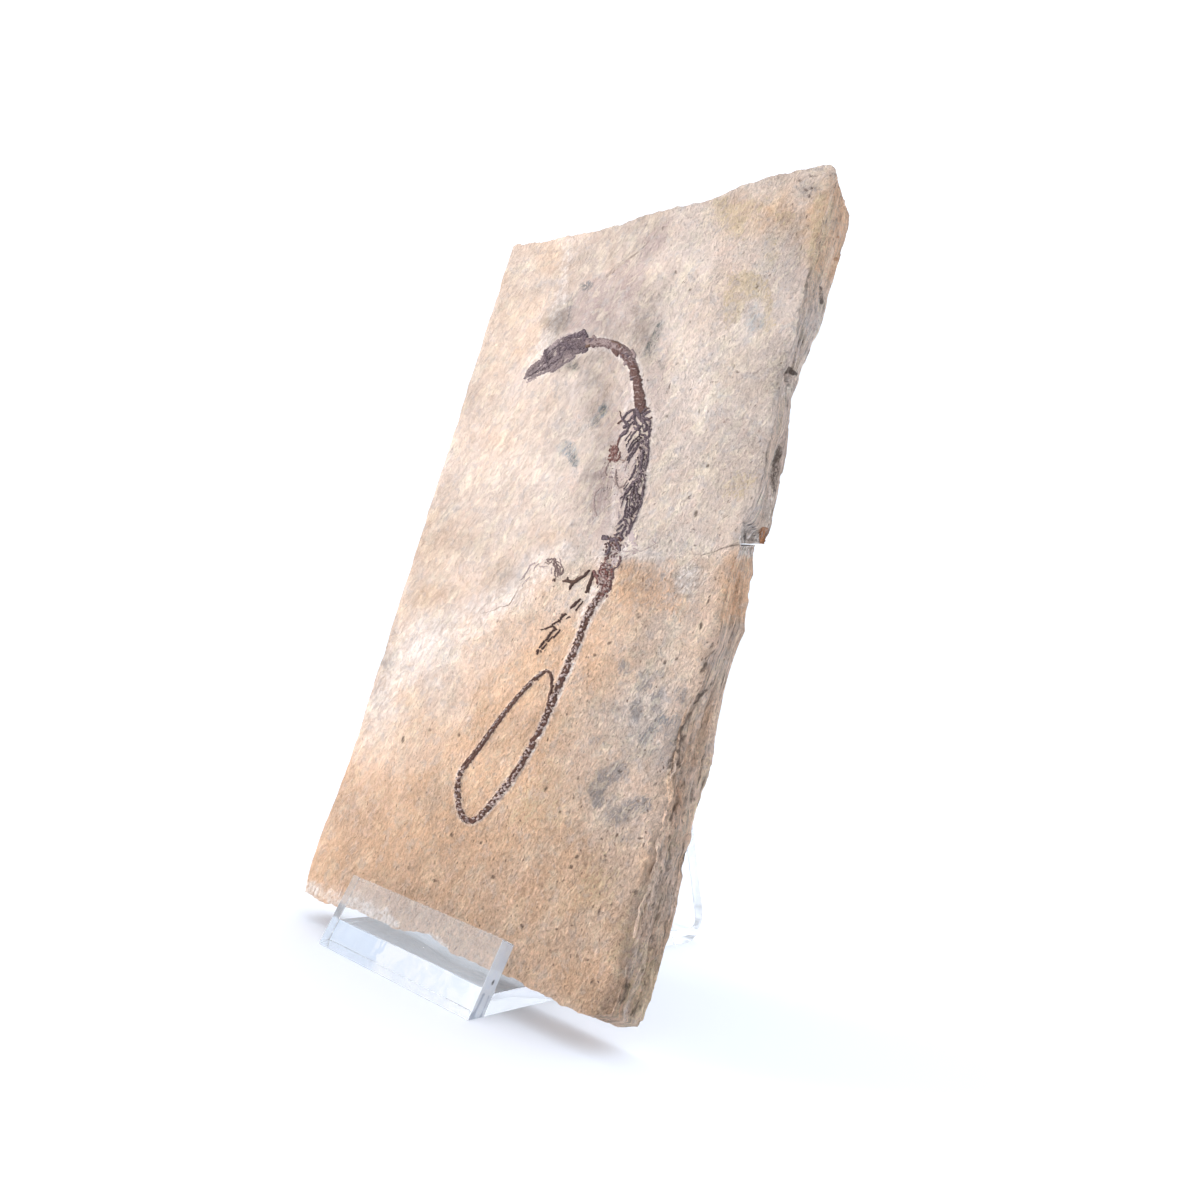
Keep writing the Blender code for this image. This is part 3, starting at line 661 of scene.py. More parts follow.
    plum = over(m.patch([(672, 219), (664, 246), (645, 262), (648, 290), (622, 302),
                         (592, 330), (566, 331), (569, 300), (590, 281), (607, 276),
                         (626, 258), (643, 240), (658, 222)], 4, 3.0, 0.62),
                m.patch([(668, 222), (652, 240), (632, 258), (620, 268), (634, 262),
                         (650, 256), (664, 238)], 3, 2.0, 0.35),
                m.spot(604, 300, 26, 24, -30, 0.7, 0.6, 0.35),
                m.spot(600, 322, 44, 16, -12, 0.7, 0.6, 0.35),
                m.spot(612, 395, 46, 34, 60, 0.8, 0.7, 0.35),
                m.spot(618, 470, 24, 66, 10, 0.7, 0.6, 0.50),
                m.spot(604, 505, 14, 30, 10, 0.8, 0.6, 0.22),
                m.spot(600, 520, 20, 40, 14, 0.8, 0.6, 0.40),
                m.spot(650, 395, 16, 60, 12, 0.8, 0.5, 0.30),
                m.spot(662, 368, 8, 34, 10, 0.7, 0.5, 0.25),
                m.spot(398, 905, 60, 22, 24, 0.8, 0.6, 0.25),
                m.spot(355, 790, 26, 50, 24, 0.8, 0.6, 0.25),
                m.spot(440, 880, 60, 24, 24, 0.8, 0.6, 0.15),
                m.spot(520, 880, 44, 34, 24, 0.8, 0.6, 0.18),
                m.spot(610, 970, 40, 30, 0, 0.8, 0.8, 0.18),
                m.spot(790, 270, 22, 46, 18, 0.8, 0.6, 0.25))
    grey_smudge_and_shade = over(m.spot(586, 286, 7, 4.5, -10, 0.5, 0.4, 0.75),
               m.spot(601, 360, 5, 3.4, 0, 0.6, 0.4, 0.6),
               m.line([(604, 405), (596, 424)], 5, 0.8, 0.6, 0.40),
               m.line([(566, 446), (573, 466)], 5, 0.8, 0.6, 0.35),
               m.spot(548, 252, 22, 2.2, -6, 0.6, 0.3, 0.35),
               # painted shade: the soft shadow of the crease right of the neck, then a thin dark line on
               # the shaded right side of the ridge
               m.line([(662, 320), (650, 352)], 5.0, 0.8, 0.7, 0.45),
               m.spot(570, 308, 2.6, 16, 6, 0.6, 0.3, 0.55),
               m.spot(792, 268, 9, 30, 18, 0.7, 0.6, 0.4),
               m.spot(750, 318, 12, 8, 0, 0.7, 0.6, 0.30),
               m.spot(808, 190, 14, 10, 0, 0.7, 0.7, 0.45),
               m.spot(700, 190, 30, 8, -16, 0.7, 0.7, 0.15),
               m.spot(625, 667, 7, 9, 10, 0.6, 0.7, 0.65),
               m.spot(646, 683, 8, 11, 24, 0.4, 0.7, 0.72),
               m.spot(659, 698, 7, 14, 14, 0.4, 0.8, 0.72),
               m.spot(661, 675, 6, 5, 0, 0.4, 0.8, 0.60),
               m.spot(679, 694, 6, 6, 20, 0.4, 0.8, 0.55),
               m.spot(680, 694, 8, 9, 20, 0.6, 0.8, 0.5),
               m.spot(636, 710, 7, 12, 0, 0.4, 0.7, 0.74),
               m.spot(648, 734, 12, 8, -35, 0.6, 0.8, 0.66),
               m.spot(664, 723, 12, 8, -35, 0.6, 0.8, 0.66),
               m.spot(608, 708, 12, 8, 0, 0.6, 0.7, 0.40),
               m.spot(600, 742, 10, 9, 0, 0.6, 0.7, 0.40),
               m.line([(620, 770, 9), (604, 778, 10), (597, 790, 9), (598, 803, 5)],
                      9, 0.6, 0.6, 0.85),
               m.spot(626, 775, 9, 7, 0, 0.6, 0.7, 0.45),
               m.line([(644, 803, 8), (628, 810, 10), (613, 820, 8)], 9, 0.6, 0.7, 0.72),
               m.spot(628, 838, 15, 8, 0, 0.7, 0.7, 0.35),
               m.spot(670, 740, 12, 30, 20, 0.7, 0.7, 0.35),
               m.spot(640, 755, 14, 12, 10, 0.7, 0.7, 0.35),
               m.spot(422, 575, 5, 4, 0, 0.7, 0.6, 0.35),
               m.spot(405, 605, 5, 4, 0, 0.7, 0.6, 0.35),
               m.spot(488, 655, 26, 10, -40, 0.7, 0.6, 0.16),
               m.spot(716, 388, 5, 18, 10, 0.7, 0.6, 0.20))
    moss = over(0.0 * u,
                m.patch([(714, 202), (735, 195), (752, 199), (761, 212), (748, 222),
                         (744, 238), (728, 242), (718, 226)], 4, 5, 0.42),
                m.patch([(722, 326), (723, 300), (728, 275), (745, 266), (768, 278),
                         (774, 300), (772, 332), (764, 334), (762, 312), (756, 298),
                         (746, 301), (739, 318), (730, 328)], 3, 4, 0.55),
                m.patch([(775, 212), (790, 208), (795, 218), (786, 228), (776, 222)], 3, 3, 0.60),
                m.patch([(757, 203), (767, 197), (769, 204), (760, 209)], 3, 2, 0.70),
                m.patch([(731, 219), (742, 216), (745, 226), (735, 231)], 3, 2, 0.60),
                m.patch([(812, 190), (829, 190), (828, 228), (820, 262), (809, 268),
                         (810, 230)], 4, 4, 0.60),
                m.patch([(756, 236), (776, 232), (782, 258), (768, 270), (756, 258)], 5, 5, 0.30),
                m.spot(736, 486, 20, 14, -8, 0.7, 0.7, 0.50),
                m.spot(692, 425, 14, 8, 0, 0.7, 0.7, 0.25),
                m.spot(535, 800, 30, 44, 30, 0.8, 0.7, 0.35),
                m.spot(500, 740, 18, 44, 36, 0.8, 0.7, 0.20),
                m.spot(592, 880, 18, 40, 18, 0.8, 0.7, 0.30),
                m.spot(440, 735, 30, 30, 36, 0.8, 0.7, 0.25),
                m.spot(640, 960, 22, 40, 10, 0.8, 0.7, 0.35),
                m.spot(630, 900, 30, 60, 14, 0.9, 0.7, 0.25))
    # pale stains, chips and scraped rims, and painted light: a painted highlight down the lit left side of
    # the ridge from the top edge to the snout, and the painted sheen
    pale_stain_and_sheen = over(m.patch([(562, 240), (574, 240), (569, 300), (556, 338), (530, 378),
                          (524, 372), (543, 330), (556, 290)], 5, 3.0, 0.50),
                 m.spot(553, 352, 20, 10, -40, 0.8, 0.5, 0.25),
                 m.spot(688, 580, 17, 13, -40, 0.6, 0.6, 0.56),
                 m.line([(700, 569), (688, 574), (680, 580)], 2.0, 0.8, 0.7, 0.35),
                 m.line([(696, 578), (684, 588), (680, 592)], 1.4, 0.8, 0.7, 0.30),
                 m.spot(308, 893, 12, 12, 0, 0.7, 0.5, 0.65),
                 m.line([(305, 888, 6), (335, 896, 8), (365, 905, 9), (390, 920, 8)],
                        8, 0.7, 0.6, 0.50),
                 m.line([(330, 902, 3), (362, 906, 5), (388, 921, 6), (402, 926, 3)],
                        4, 0.6, 0.9, 0.95),
                 m.line([(432, 936, 2), (441, 941, 4), (450, 950, 3)], 3, 0.6, 0.9, 0.8),
                 m.spot(590, 385, 26, 20, 30, 0.8, 0.8, 0.22),
                 m.spot(520, 465, 30, 60, 20, 0.9, 0.7, 0.25),
                 m.spot(700, 400, 22, 60, 14, 0.9, 0.8, 0.20),
                 m.spot(750, 320, 16, 26, 20, 0.8, 0.8, 0.28),
                 m.spot(600, 795, 9, 7, 0, 0.8, 0.8, 0.0) * 0.0,
                 0.55 * painted_sheen)
    # scraped pale rims beside the bones
    d, run, wide, side = along(X, Y, TAIL_LINE)
    ragged = 0.8 * m.fine + 0.5 * m.wob
    right = side < 0
    reach = np.where(right, lerp(2.6, 1.4, smooth(60, 300, run)),
                     lerp(1.5, 1.1, smooth(40, 200, run)))
    halo = np.exp(-(np.maximum(d - wide + 0.3 + ragged, 0) / reach) ** 2) * smooth(0, 10, run)
    halo = halo * np.where(right, lerp(0.85, 0.50, smooth(100, 330, run)),
                           lerp(0.55, 0.35, smooth(60, 200, run)))
    halo = np.maximum(halo, m.patch([(600, 584), (596, 594), (590, 603), (585, 614),
                                     (577, 630), (573, 627), (580, 610), (587, 596),
                                     (592, 586)], 4, 3, 0.85))
    d, _, wide, _ = along(X, Y, NECK_LINE)
    halo = np.maximum(halo, 0.60 * np.exp(-(np.maximum(d - wide - 1.0 + ragged, 0) / 2.6) ** 2))
    d = -inside(X, Y, SKULL_EDGE)
    halo = np.maximum(halo, 0.35 * np.exp(-(np.maximum(d - 0.6 + ragged, 0) / 3.0) ** 2))
    d, _, wide, side = along(X, Y, TRUNK_LINE)
    halo = np.maximum(halo, 0.38 * np.exp(-((d - wide - 1.0 + ragged) / 3.2) ** 2))
    pale_stain_and_sheen = over(pale_stain_and_sheen, halo)

    # darker, rougher stone: cracks, pits and small black grains, and painted shadows under the flakes
    pits = noise(u / 0.85, v / 1.1, 0, 84) * 0.6 + noise(u / 0.5, v / 0.6, 0, 85) * 0.4
    crowd = 0.5 + 0.5 * fbm(u / 17.0, v / 17.0, 0, 2, 86)
    dark_grain_and_shadow = 0.42 * smooth(0.66, 0.90, pits + 0.34 * crowd * smooth(-55, 40, u))
    grains = [(638, 616, 2.2, 3.4), (701, 626, 1.8, 4.2), (609, 643, 1.8, 2.2),
              (595, 655, 1.6, 2.0), (677, 658, 1.8, 2.4), (665, 662, 1.5, 2.2),
              (629, 811, 1.8, 1.7), (620, 771, 2.0, 2.0), (493, 877, 2.8, 2.0),
              (481, 843, 1.6, 1.6), (577, 857, 1.8, 2.0), (571, 867, 1.9, 2.4),
              (636, 892, 2.6, 3.2), (599, 912, 1.8, 5.0), (557, 929, 1.8, 1.6),
              (552, 952, 1.5, 1.5), (587, 960, 2.2, 1.6), (593, 982, 2.6, 4.0),
              (522, 926, 3.0, 2.2), (436, 881, 3.4, 1.4), (409, 868, 1.8, 2.0),
              (403, 740, 1.4, 4.0), (430, 730, 1.6, 2.4), (459, 735, 1.6, 2.6),
              (452, 835, 1.8, 2.2), (546, 788, 1.8, 4.0), (578, 778, 1.4, 2.6),
              (696, 514, 2.4, 4.2), (689, 498, 1.4, 1.6), (692, 507, 1.6, 1.2),
              (694, 529, 1.8, 1.2), (727, 516, 4.0, 0.9), (671, 540, 1.4, 1.2),
              (667, 551, 1.4, 2.4), (668, 535, 1.2, 1.4), (695, 546, 1.3, 1.0),
              (708, 466, 1.6, 2.2), (756, 406, 1.8, 1.2), (729, 502, 2.4, 1.6),
              (791, 298, 2.0, 1.2), (808, 226, 1.5, 1.8), (800, 181, 2.6, 1.6),
              (812, 176, 3.4, 1.4), (806, 190, 2.6, 1.8), (812, 188, 2.0, 1.2),
              (816, 176, 3.0, 1.2), (809, 196, 2.0, 2.0), (757, 286, 1.6, 3.6),
              (676, 272, 1.6, 1.6), (684, 282, 1.4, 1.4), (690, 290, 1.2, 1.8),
              (667, 416, 1.4, 1.2), (669, 388, 1.2, 5.0), (738, 372, 2.4, 1.2),
              (712, 382, 1.8, 1.0), (640, 838, 3.0, 2.0), (605, 856, 1.9, 2.2),
              (600, 893, 1.6, 1.8), (648, 900, 1.8, 4.0), (560, 812, 1.2, 2.0),
              (655, 785, 1.2, 4.0), (550, 1001 - 50, 1.4, 1.4), (612, 905, 1.2, 2.4),
              (583, 990, 1.6, 1.6), (470, 862, 1.4, 1.2), (483, 908, 1.4, 2.4)]
    for gx, gy, rx, ry in grains:
        dark_grain_and_shadow = np.maximum(dark_grain_and_shadow, m.spot(gx, gy, rx, ry, 15, 0.5, 0.5, 0.72))
    cracks = [([(640, 842), (634, 856), (631, 872)], 0.9, 0.6),
              ([(690, 566), (703, 566.5)], 0.9, 0.40), ([(702, 567), (701, 588), (690, 597)], 0.8, 0.30),
              ([(672, 595), (690, 598)], 0.9, 0.32),
              ([(668, 226), (658, 232), (641, 250), (625, 262), (606, 277)], 1.2, 0.35),
              # painted shade: a dark line on the shaded right side of the ridge
              ([(568, 300), (567, 326)], 1.2, 0.40),
              ([(680, 524), (688, 523)], 1.0, 0.4), ([(722, 517), (730, 516)], 0.8, 0.4),
              ([(655, 850), (660, 872), (652, 890), (648, 900)], 1.6, 0.50),
              ([(641, 958), (637, 990), (627, 1008)], 1.4, 0.40),
              ([(626, 984), (620, 1000), (624, 1010)], 1.8, 0.70),
              ([(655, 605), (652, 640)], 0.8, 0.12)]
    for pts, half, much in cracks + FLAKE_SHADOWS:
        dark_grain_and_shadow = np.maximum(dark_grain_and_shadow, m.line(pts, half, 0.6, 0.7, much))
    # the break itself, faint, with a darker thread in places
    thread = np.exp(-(above / 0.55) ** 2)
    dark_grain_and_shadow = np.maximum(dark_grain_and_shadow, thread * (0.10 + 0.35 * smooth(0.0, 0.6, noise(u / 7.0, 2.0, 0, 87))))
    dark_grain_and_shadow = np.maximum(dark_grain_and_shadow, 0.5 * np.exp(-(above / 0.9) ** 2) * smooth(58.0, 63.0, u))

    # gentle darkening towards the right edge, the foot and the far corner: painted shade where the light
    # falls off, partly the stone's own darker tone, with a painted shadow at the bottom right corner
    tone_and_shade = 0.17 * smooth(-30.0, 66.0, u) * smooth(120.0, 20.0, v) - 0.21 * lower_part
    tone_and_shade = tone_and_shade + 0.10 * smooth(10.0, 66.0, u) + 0.05 * smooth(60.0, 64.5, u) * (0.5 + mid)
    tone_and_shade = tone_and_shade + 0.05 * smooth(45.0, 5.0, v) + 0.06 * mid + 0.05 * small
    tone_and_shade = tone_and_shade + m.spot(742, 482, 30, 40, 10, 0.9, 0.6, 0.12)
    for x, y, rx, ry, turn, much in (
            (650, 322, 13, 36, 14, 0.34), (597, 395, 14, 34, -12, 0.30),
            (603, 455, 16, 40, 8, 0.30), (592, 490, 14, 34, 10, 0.18),
            (604, 340, 30, 14, -10, 0.26), (640, 292, 26, 16, -30, 0.22),
            (652, 214, 30, 12, -24, 0.20), (778, 226, 22, 16, 0, 0.26),
            (782, 256, 16, 22, 10, 0.14), (748, 402, 18, 50, 12, 0.24),
            (728, 432, 22, 16, 0, 0.16), (642, 470, 8, 40, 8, 0.16),
            (432, 540, 14, 40, 14, 0.18), (424, 576, 12, 14, 0, 0.12),
            (512, 574, 22, 12, -20, 0.14), (430, 797, 22, 18, 0, 0.18),
            (506, 742, 24, 20, 0, 0.12), (602, 546, 14, 18, 0, 0.14),
            (560, 284, 20, 30, 20, 0.08), (596, 300, 30, 20, 0, 0.08),
            (470, 396, 18, 40, 16, 0.12), (620, 580, 20, 20, 0, 0.10),
            (500, 614, 26, 12, -16, -0.18), (545, 628, 24, 14, -20, -0.20),
            (421, 660, 26, 18, -30, -0.26), (376, 730, 20, 28, 20, -0.18),
            (342, 762, 14, 26, 20, -0.16), (560, 590, 26, 14, -10, -0.10),
            (694, 650, 14, 20, 10, -0.20), (652, 722, 22, 20, 10, -0.15),
            (640, 795, 16, 26, 14, -0.20), (640, 836, 14, 20, 14, -0.24),
            (604, 976, 20, 26, 10, -0.24), (560, 976, 24, 18, 10, -0.18),
            (680, 690, 16, 30, 20, -0.12), (610, 630, 18, 20, 0, -0.10),
            (556, 324, 14, 14, 0, 0.34), (567, 362, 14, 12, 0, 0.34),
            (602, 366, 20, 22, 0, 0.28), (645, 340, 12, 26, 14, 0.20),
            (780, 366, 10, 22, 8, 0.34), (778, 398, 8, 22, 8, 0.20),
            (690, 580, 16, 14, 0, 0.26), (645, 600, 16, 40, 10, 0.24),
            (648, 650, 18, 24, 10, 0.22), (628, 728, 18, 20, 0, 0.22),
            (600, 792, 14, 14, 0, 0.24), (624, 824, 18, 16, 0, 0.18),
            (600, 866, 18, 20, 0, 0.14), (552, 290, 14, 22, 10, 0.18),
            (512, 262, 16, 34, 20, 0.10), (470, 400, 14, 24, 16, 0.12),
            (470, 506, 24, 22, 0, 0.12), (474, 544, 26, 18, 0, 0.14),
            (556, 546, 20, 16, 0, 0.20), (512, 578, 22, 14, 0, 0.14),
            (466, 614, 24, 14, -16, 0.10), (378, 652, 14, 24, 20, 0.16),
            (384, 690, 16, 22, 20, 0.12), (600, 690, 18, 30, 10, 0.18),
            (806, 162, 20, 8, -12, 0.16), (628, 428, 10, 36, 6, -0.22),
            (628, 490, 10, 24, 6, -0.22), (600, 575, 14, 16, 0, -0.18),
            (566, 650, 14, 44, 30, -0.16), (540, 636, 14, 20, 30, -0.14),
            (682, 776, 12, 22, 14, -0.24), (512, 770, 16, 24, 34, -0.14),
            (738, 528, 10, 10, 0, -0.20), (648, 865, 8, 26, 14, -0.18),
            (690, 225, 24, 22, 10, -0.12), (740, 258, 16, 20, 10, -0.12),
            (690, 330, 22, 26, 10, -0.12), (690, 370, 20, 24, 10, -0.16),
            (690, 405, 22, 24, 10, -0.18), (735, 438, 14, 18, 10, -0.14),
            (645, 418, 14, 28, 10, -0.12), (470, 435, 24, 26, 0, -0.18),
            (470, 475, 24, 24, 0, -0.10), (515, 650, 26, 24, 0, -0.16),
            (600, 655, 22, 24, 0, -0.14), (560, 612, 22, 20, 0, -0.12),
            (560, 685, 22, 26, 0, -0.12), (470, 720, 28, 28, 0, -0.12),
            (530, 793, 34, 26, 0, -0.16), (385, 757, 24, 24, 0, -0.06),
            (340, 832, 18, 24, 0, -0.08), (515, 832, 28, 24, 0, -0.08),
            (560, 902, 26, 22, 0, -0.06), (600, 938, 22, 22, 0, -0.04),
            (645, 720, 20, 20, 0, 0.16), (600, 793, 16, 16, 0, 0.12),
            (385, 650, 18, 18, 0, 0.20), (385, 612, 16, 20, 0, 0.14),
            (555, 325, 18, 18, 0, 0.22), (560, 362, 14, 12, 0, 0.18),
            (600, 222, 24, 16, 0, 0.12), (645, 760, 16, 14, 0, 0.08),
            (555, 655, 30, 34, 0, -0.14), (515, 690, 24, 26, 0, -0.12),
            (598, 580, 20, 14, 0, -0.20), (470, 795, 26, 22, 0, -0.16),
            (515, 760, 22, 20, 0, -0.08), (742, 580, 12, 36, 8, -0.10),
            (385, 655, 22, 26, 0, 0.22), (432, 688, 22, 24, -30, 0.26),
            (385, 722, 18, 22, 0, 0.22), (430, 645, 26, 16, -30, 0.18),
            (625, 240, 44, 20, -24, 0.20), (600, 260, 24, 20, 0, 0.14),
            (600, 318, 26, 20, 0, 0.18), (585, 392, 34, 16, 0, 0.18),
            (556, 438, 24, 26, 0, 0.16), (500, 305, 20, 26, 16, 0.10),
            (472, 398, 16, 26, 16, 0.08), (580, 515, 14, 24, 0, 0.12),
            (622, 1008, 26, 12, 10, 0.42), (604, 1000, 20, 14, 10, 0.16),
            (470, 545, 22, 14, 0, 0.14), (420, 598, 26, 14, -20, 0.10),
            (330, 800, 14, 30, 20, 0.06),
            (542, 312, 10, 16, 20, -0.26), (372, 690, 16, 40, 20, 0.20),
            (392, 655, 20, 20, 0, 0.10), (446, 708, 14, 14, 0, 0.14),
            (455, 622, 34, 12, -18, 0.12), (520, 690, 20, 26, 30, -0.12),
            (486, 745, 20, 26, 30, -0.12), (516, 752, 12, 22, 30, -0.16),
            (570, 655, 12, 40, 20, -0.14), (592, 590, 12, 14, 0, -0.16),
            (645, 866, 8, 26, 14, -0.20), (632, 835, 10, 20, 14, 0.10),
            (560, 455, 14, 20, 0, 0.12), (690, 400, 24, 24, 0, -0.08),
            (690, 470, 18, 20, 0, -0.08), (720, 265, 16, 40, 10, -0.08),
            (770, 200, 16, 14, 0, -0.10), (735, 548, 14, 12, 0, -0.12),
            (430, 905, 40, 22, 14, -0.06), (470, 790, 24, 20, 0, -0.08),
            (555, 685, 16, 20, 20, -0.28), (515, 685, 18, 20, 20, -0.18),
            (470, 757, 20, 18, 0, -0.16), (515, 757, 16, 18, 0, -0.14),
            (600, 577, 14, 14, 0, -0.18), (562, 595, 18, 16, 0, -0.14),
            (565, 640, 16, 26, 30, -0.14), (604, 632, 18, 26, 10, -0.14),
            (735, 548, 14, 10, 0, -0.10), (640, 548, 18, 12, 0, -0.12),
            (470, 577, 18, 14, 0, -0.10), (640, 866, 10, 20, 14, -0.12),
            (690, 757, 8, 20, 14, -0.10), (430, 938, 22, 12, 10, -0.12),
            (340, 770, 20, 60, 20, 0.08), (345, 860, 26, 22, 10, 0.08),
            (568, 975, 34, 24, 8, 0.09), (558, 326, 14, 16, 0, 0.12),
            (560, 362, 14, 14, 0, 0.10), (640, 362, 12, 18, 0, 0.12),
            (600, 470, 14, 22, 0, 0.12), (640, 255, 20, 16, 0, 0.09),
            (545, 632, 16, 13, -20, -0.34), (630, 618, 13, 18, 10, -0.34),
            (600, 545, 9, 13, 0, -0.34), (718, 602, 8, 18, 10, -0.32),
            (612, 596, 14, 16, 0, -0.16), (470, 764, 16, 16, 0, -0.16),
            (515, 792, 14, 18, 30, -0.16), (640, 866, 8, 20, 14, 0.16),
            (430, 940, 22, 10, 10, -0.14), (570, 660, 8, 34, 24, -0.20),
            (645, 720, 14, 14, 0, 0.16), (385, 722, 16, 18, 0, 0.10),
            (385, 690, 16, 18, 0, 0.08), (425, 650, 20, 16, 0, 0.08),
            (548, 638, 16, 12, -20, -0.16), (596, 640, 14, 26, 10, -0.14),
            (596, 690, 14, 24, 10, -0.12), (500, 790, 20, 22, 0, -0.10)):
        tone_and_shade = tone_and_shade + m.spot(x, y, rx, ry, turn, 0.9, 0.6, much)
    tone_and_shade = tone_and_shade - 0.26 * halo
    slate = over(m.spot(602.5, 411, 4.2, 6.5, 20, 0.5, 0.5, 0.75),
                 m.spot(596.5, 421, 4.2, 6.0, 20, 0.6, 0.5, 0.65),
                 m.spot(568, 448, 7.0, 7.0, 0, 0.8, 0.6, 0.75),
                 m.spot(574, 460, 6.0, 8.5, -10, 0.7, 0.6, 0.85),
                 m.spot(562, 450, 9, 6, 30, 0.8, 0.6, 0.40),
                 m.spot(646, 735, 9, 7, -30, 0.8, 0.7, 0.34),
                 m.spot(661, 725, 10, 7, -30, 0.8, 0.7, 0.40),
                 m.spot(674, 717, 7, 6, -30, 0.8, 0.7, 0.30),
                 m.spot(586, 286, 8, 5, -10, 0.6, 0.4, 0.30),
                 m.patch([(746, 306), (757, 300), (763, 312), (764, 328), (752, 331),
                          (744, 322)], 4, 3, 0.55),
                 m.spot(720, 392, 6, 14, 10, 0.8, 0.6, 0.30))
    # grey-green smudges and slate spots round the skull and neck, with a painted shadow along the crease
    # right of the neck
    shade = over(m.spot(574, 367, 7, 4.5, 20, 0.7, 0.6, 0.50),
                 m.spot(661, 366, 4.5, 7, 0, 0.7, 0.6, 0.50),
                 m.patch([(665, 318), (662, 334), (655, 348), (646, 356), (644, 350),
                          (650, 338), (656, 326)], 4, 2, 0.50),
                 m.spot(603, 410, 3.0, 5.0, 20, 0.6, 0.5, 0.70),
                 m.spot(596, 421, 3.2, 4.6, 20, 0.6, 0.5, 0.60),
                 m.spot(574, 461, 5.0, 8.0, -10, 0.7, 0.6, 0.60),
                 m.spot(569, 449, 5.0, 6.0, 0, 0.7, 0.6, 0.36),
                 m.line([(661, 320, 1.6), (655, 333, 2.6), (649, 344, 2.2), (644, 356, 1.4)],
                        2, 0.7, 0.5, 0.50),
                 m.spot(591, 357, 3.4, 7, 20, 0.8, 0.6, 0.30),
                 m.spot(597, 358, 2.2, 1.8, 0, 0.6, 0.6, 0.30),
                 m.spot(613, 372, 3.0, 2.0, 0, 0.6, 0.6, 0.35),
                 m.spot(582, 384, 4, 8, 30, 0.8, 0.6, 0.22),
                 m.spot(570, 394, 5, 5, 0, 0.8, 0.6, 0.20),
                 m.spot(584, 287, 5.0, 3.0, -10, 0.6, 0.6, 0.40))
    grit = 0.18 + 0.62 * smooth(10.0, -10.0, above) * smooth(-70.0, 10.0, u)
    grit = grit + 0.45 * smooth(-10.0, 35.0, u) + 0.30 * smooth(70.0, 20.0, v)
    grit = grit + 0.25 * mid - 0.30 * painted_sheen
    return dict(warm=warm, rust=rust, plum=plum, grey_smudge_and_shade=grey_smudge_and_shade, slate=slate, moss=moss,
                pale_stain_and_sheen=pale_stain_and_sheen, dark_grain_and_shadow=dark_grain_and_shadow, tone_and_shade=tone_and_shade, grit=grit, shade=shade, ochre=0.0 * u)


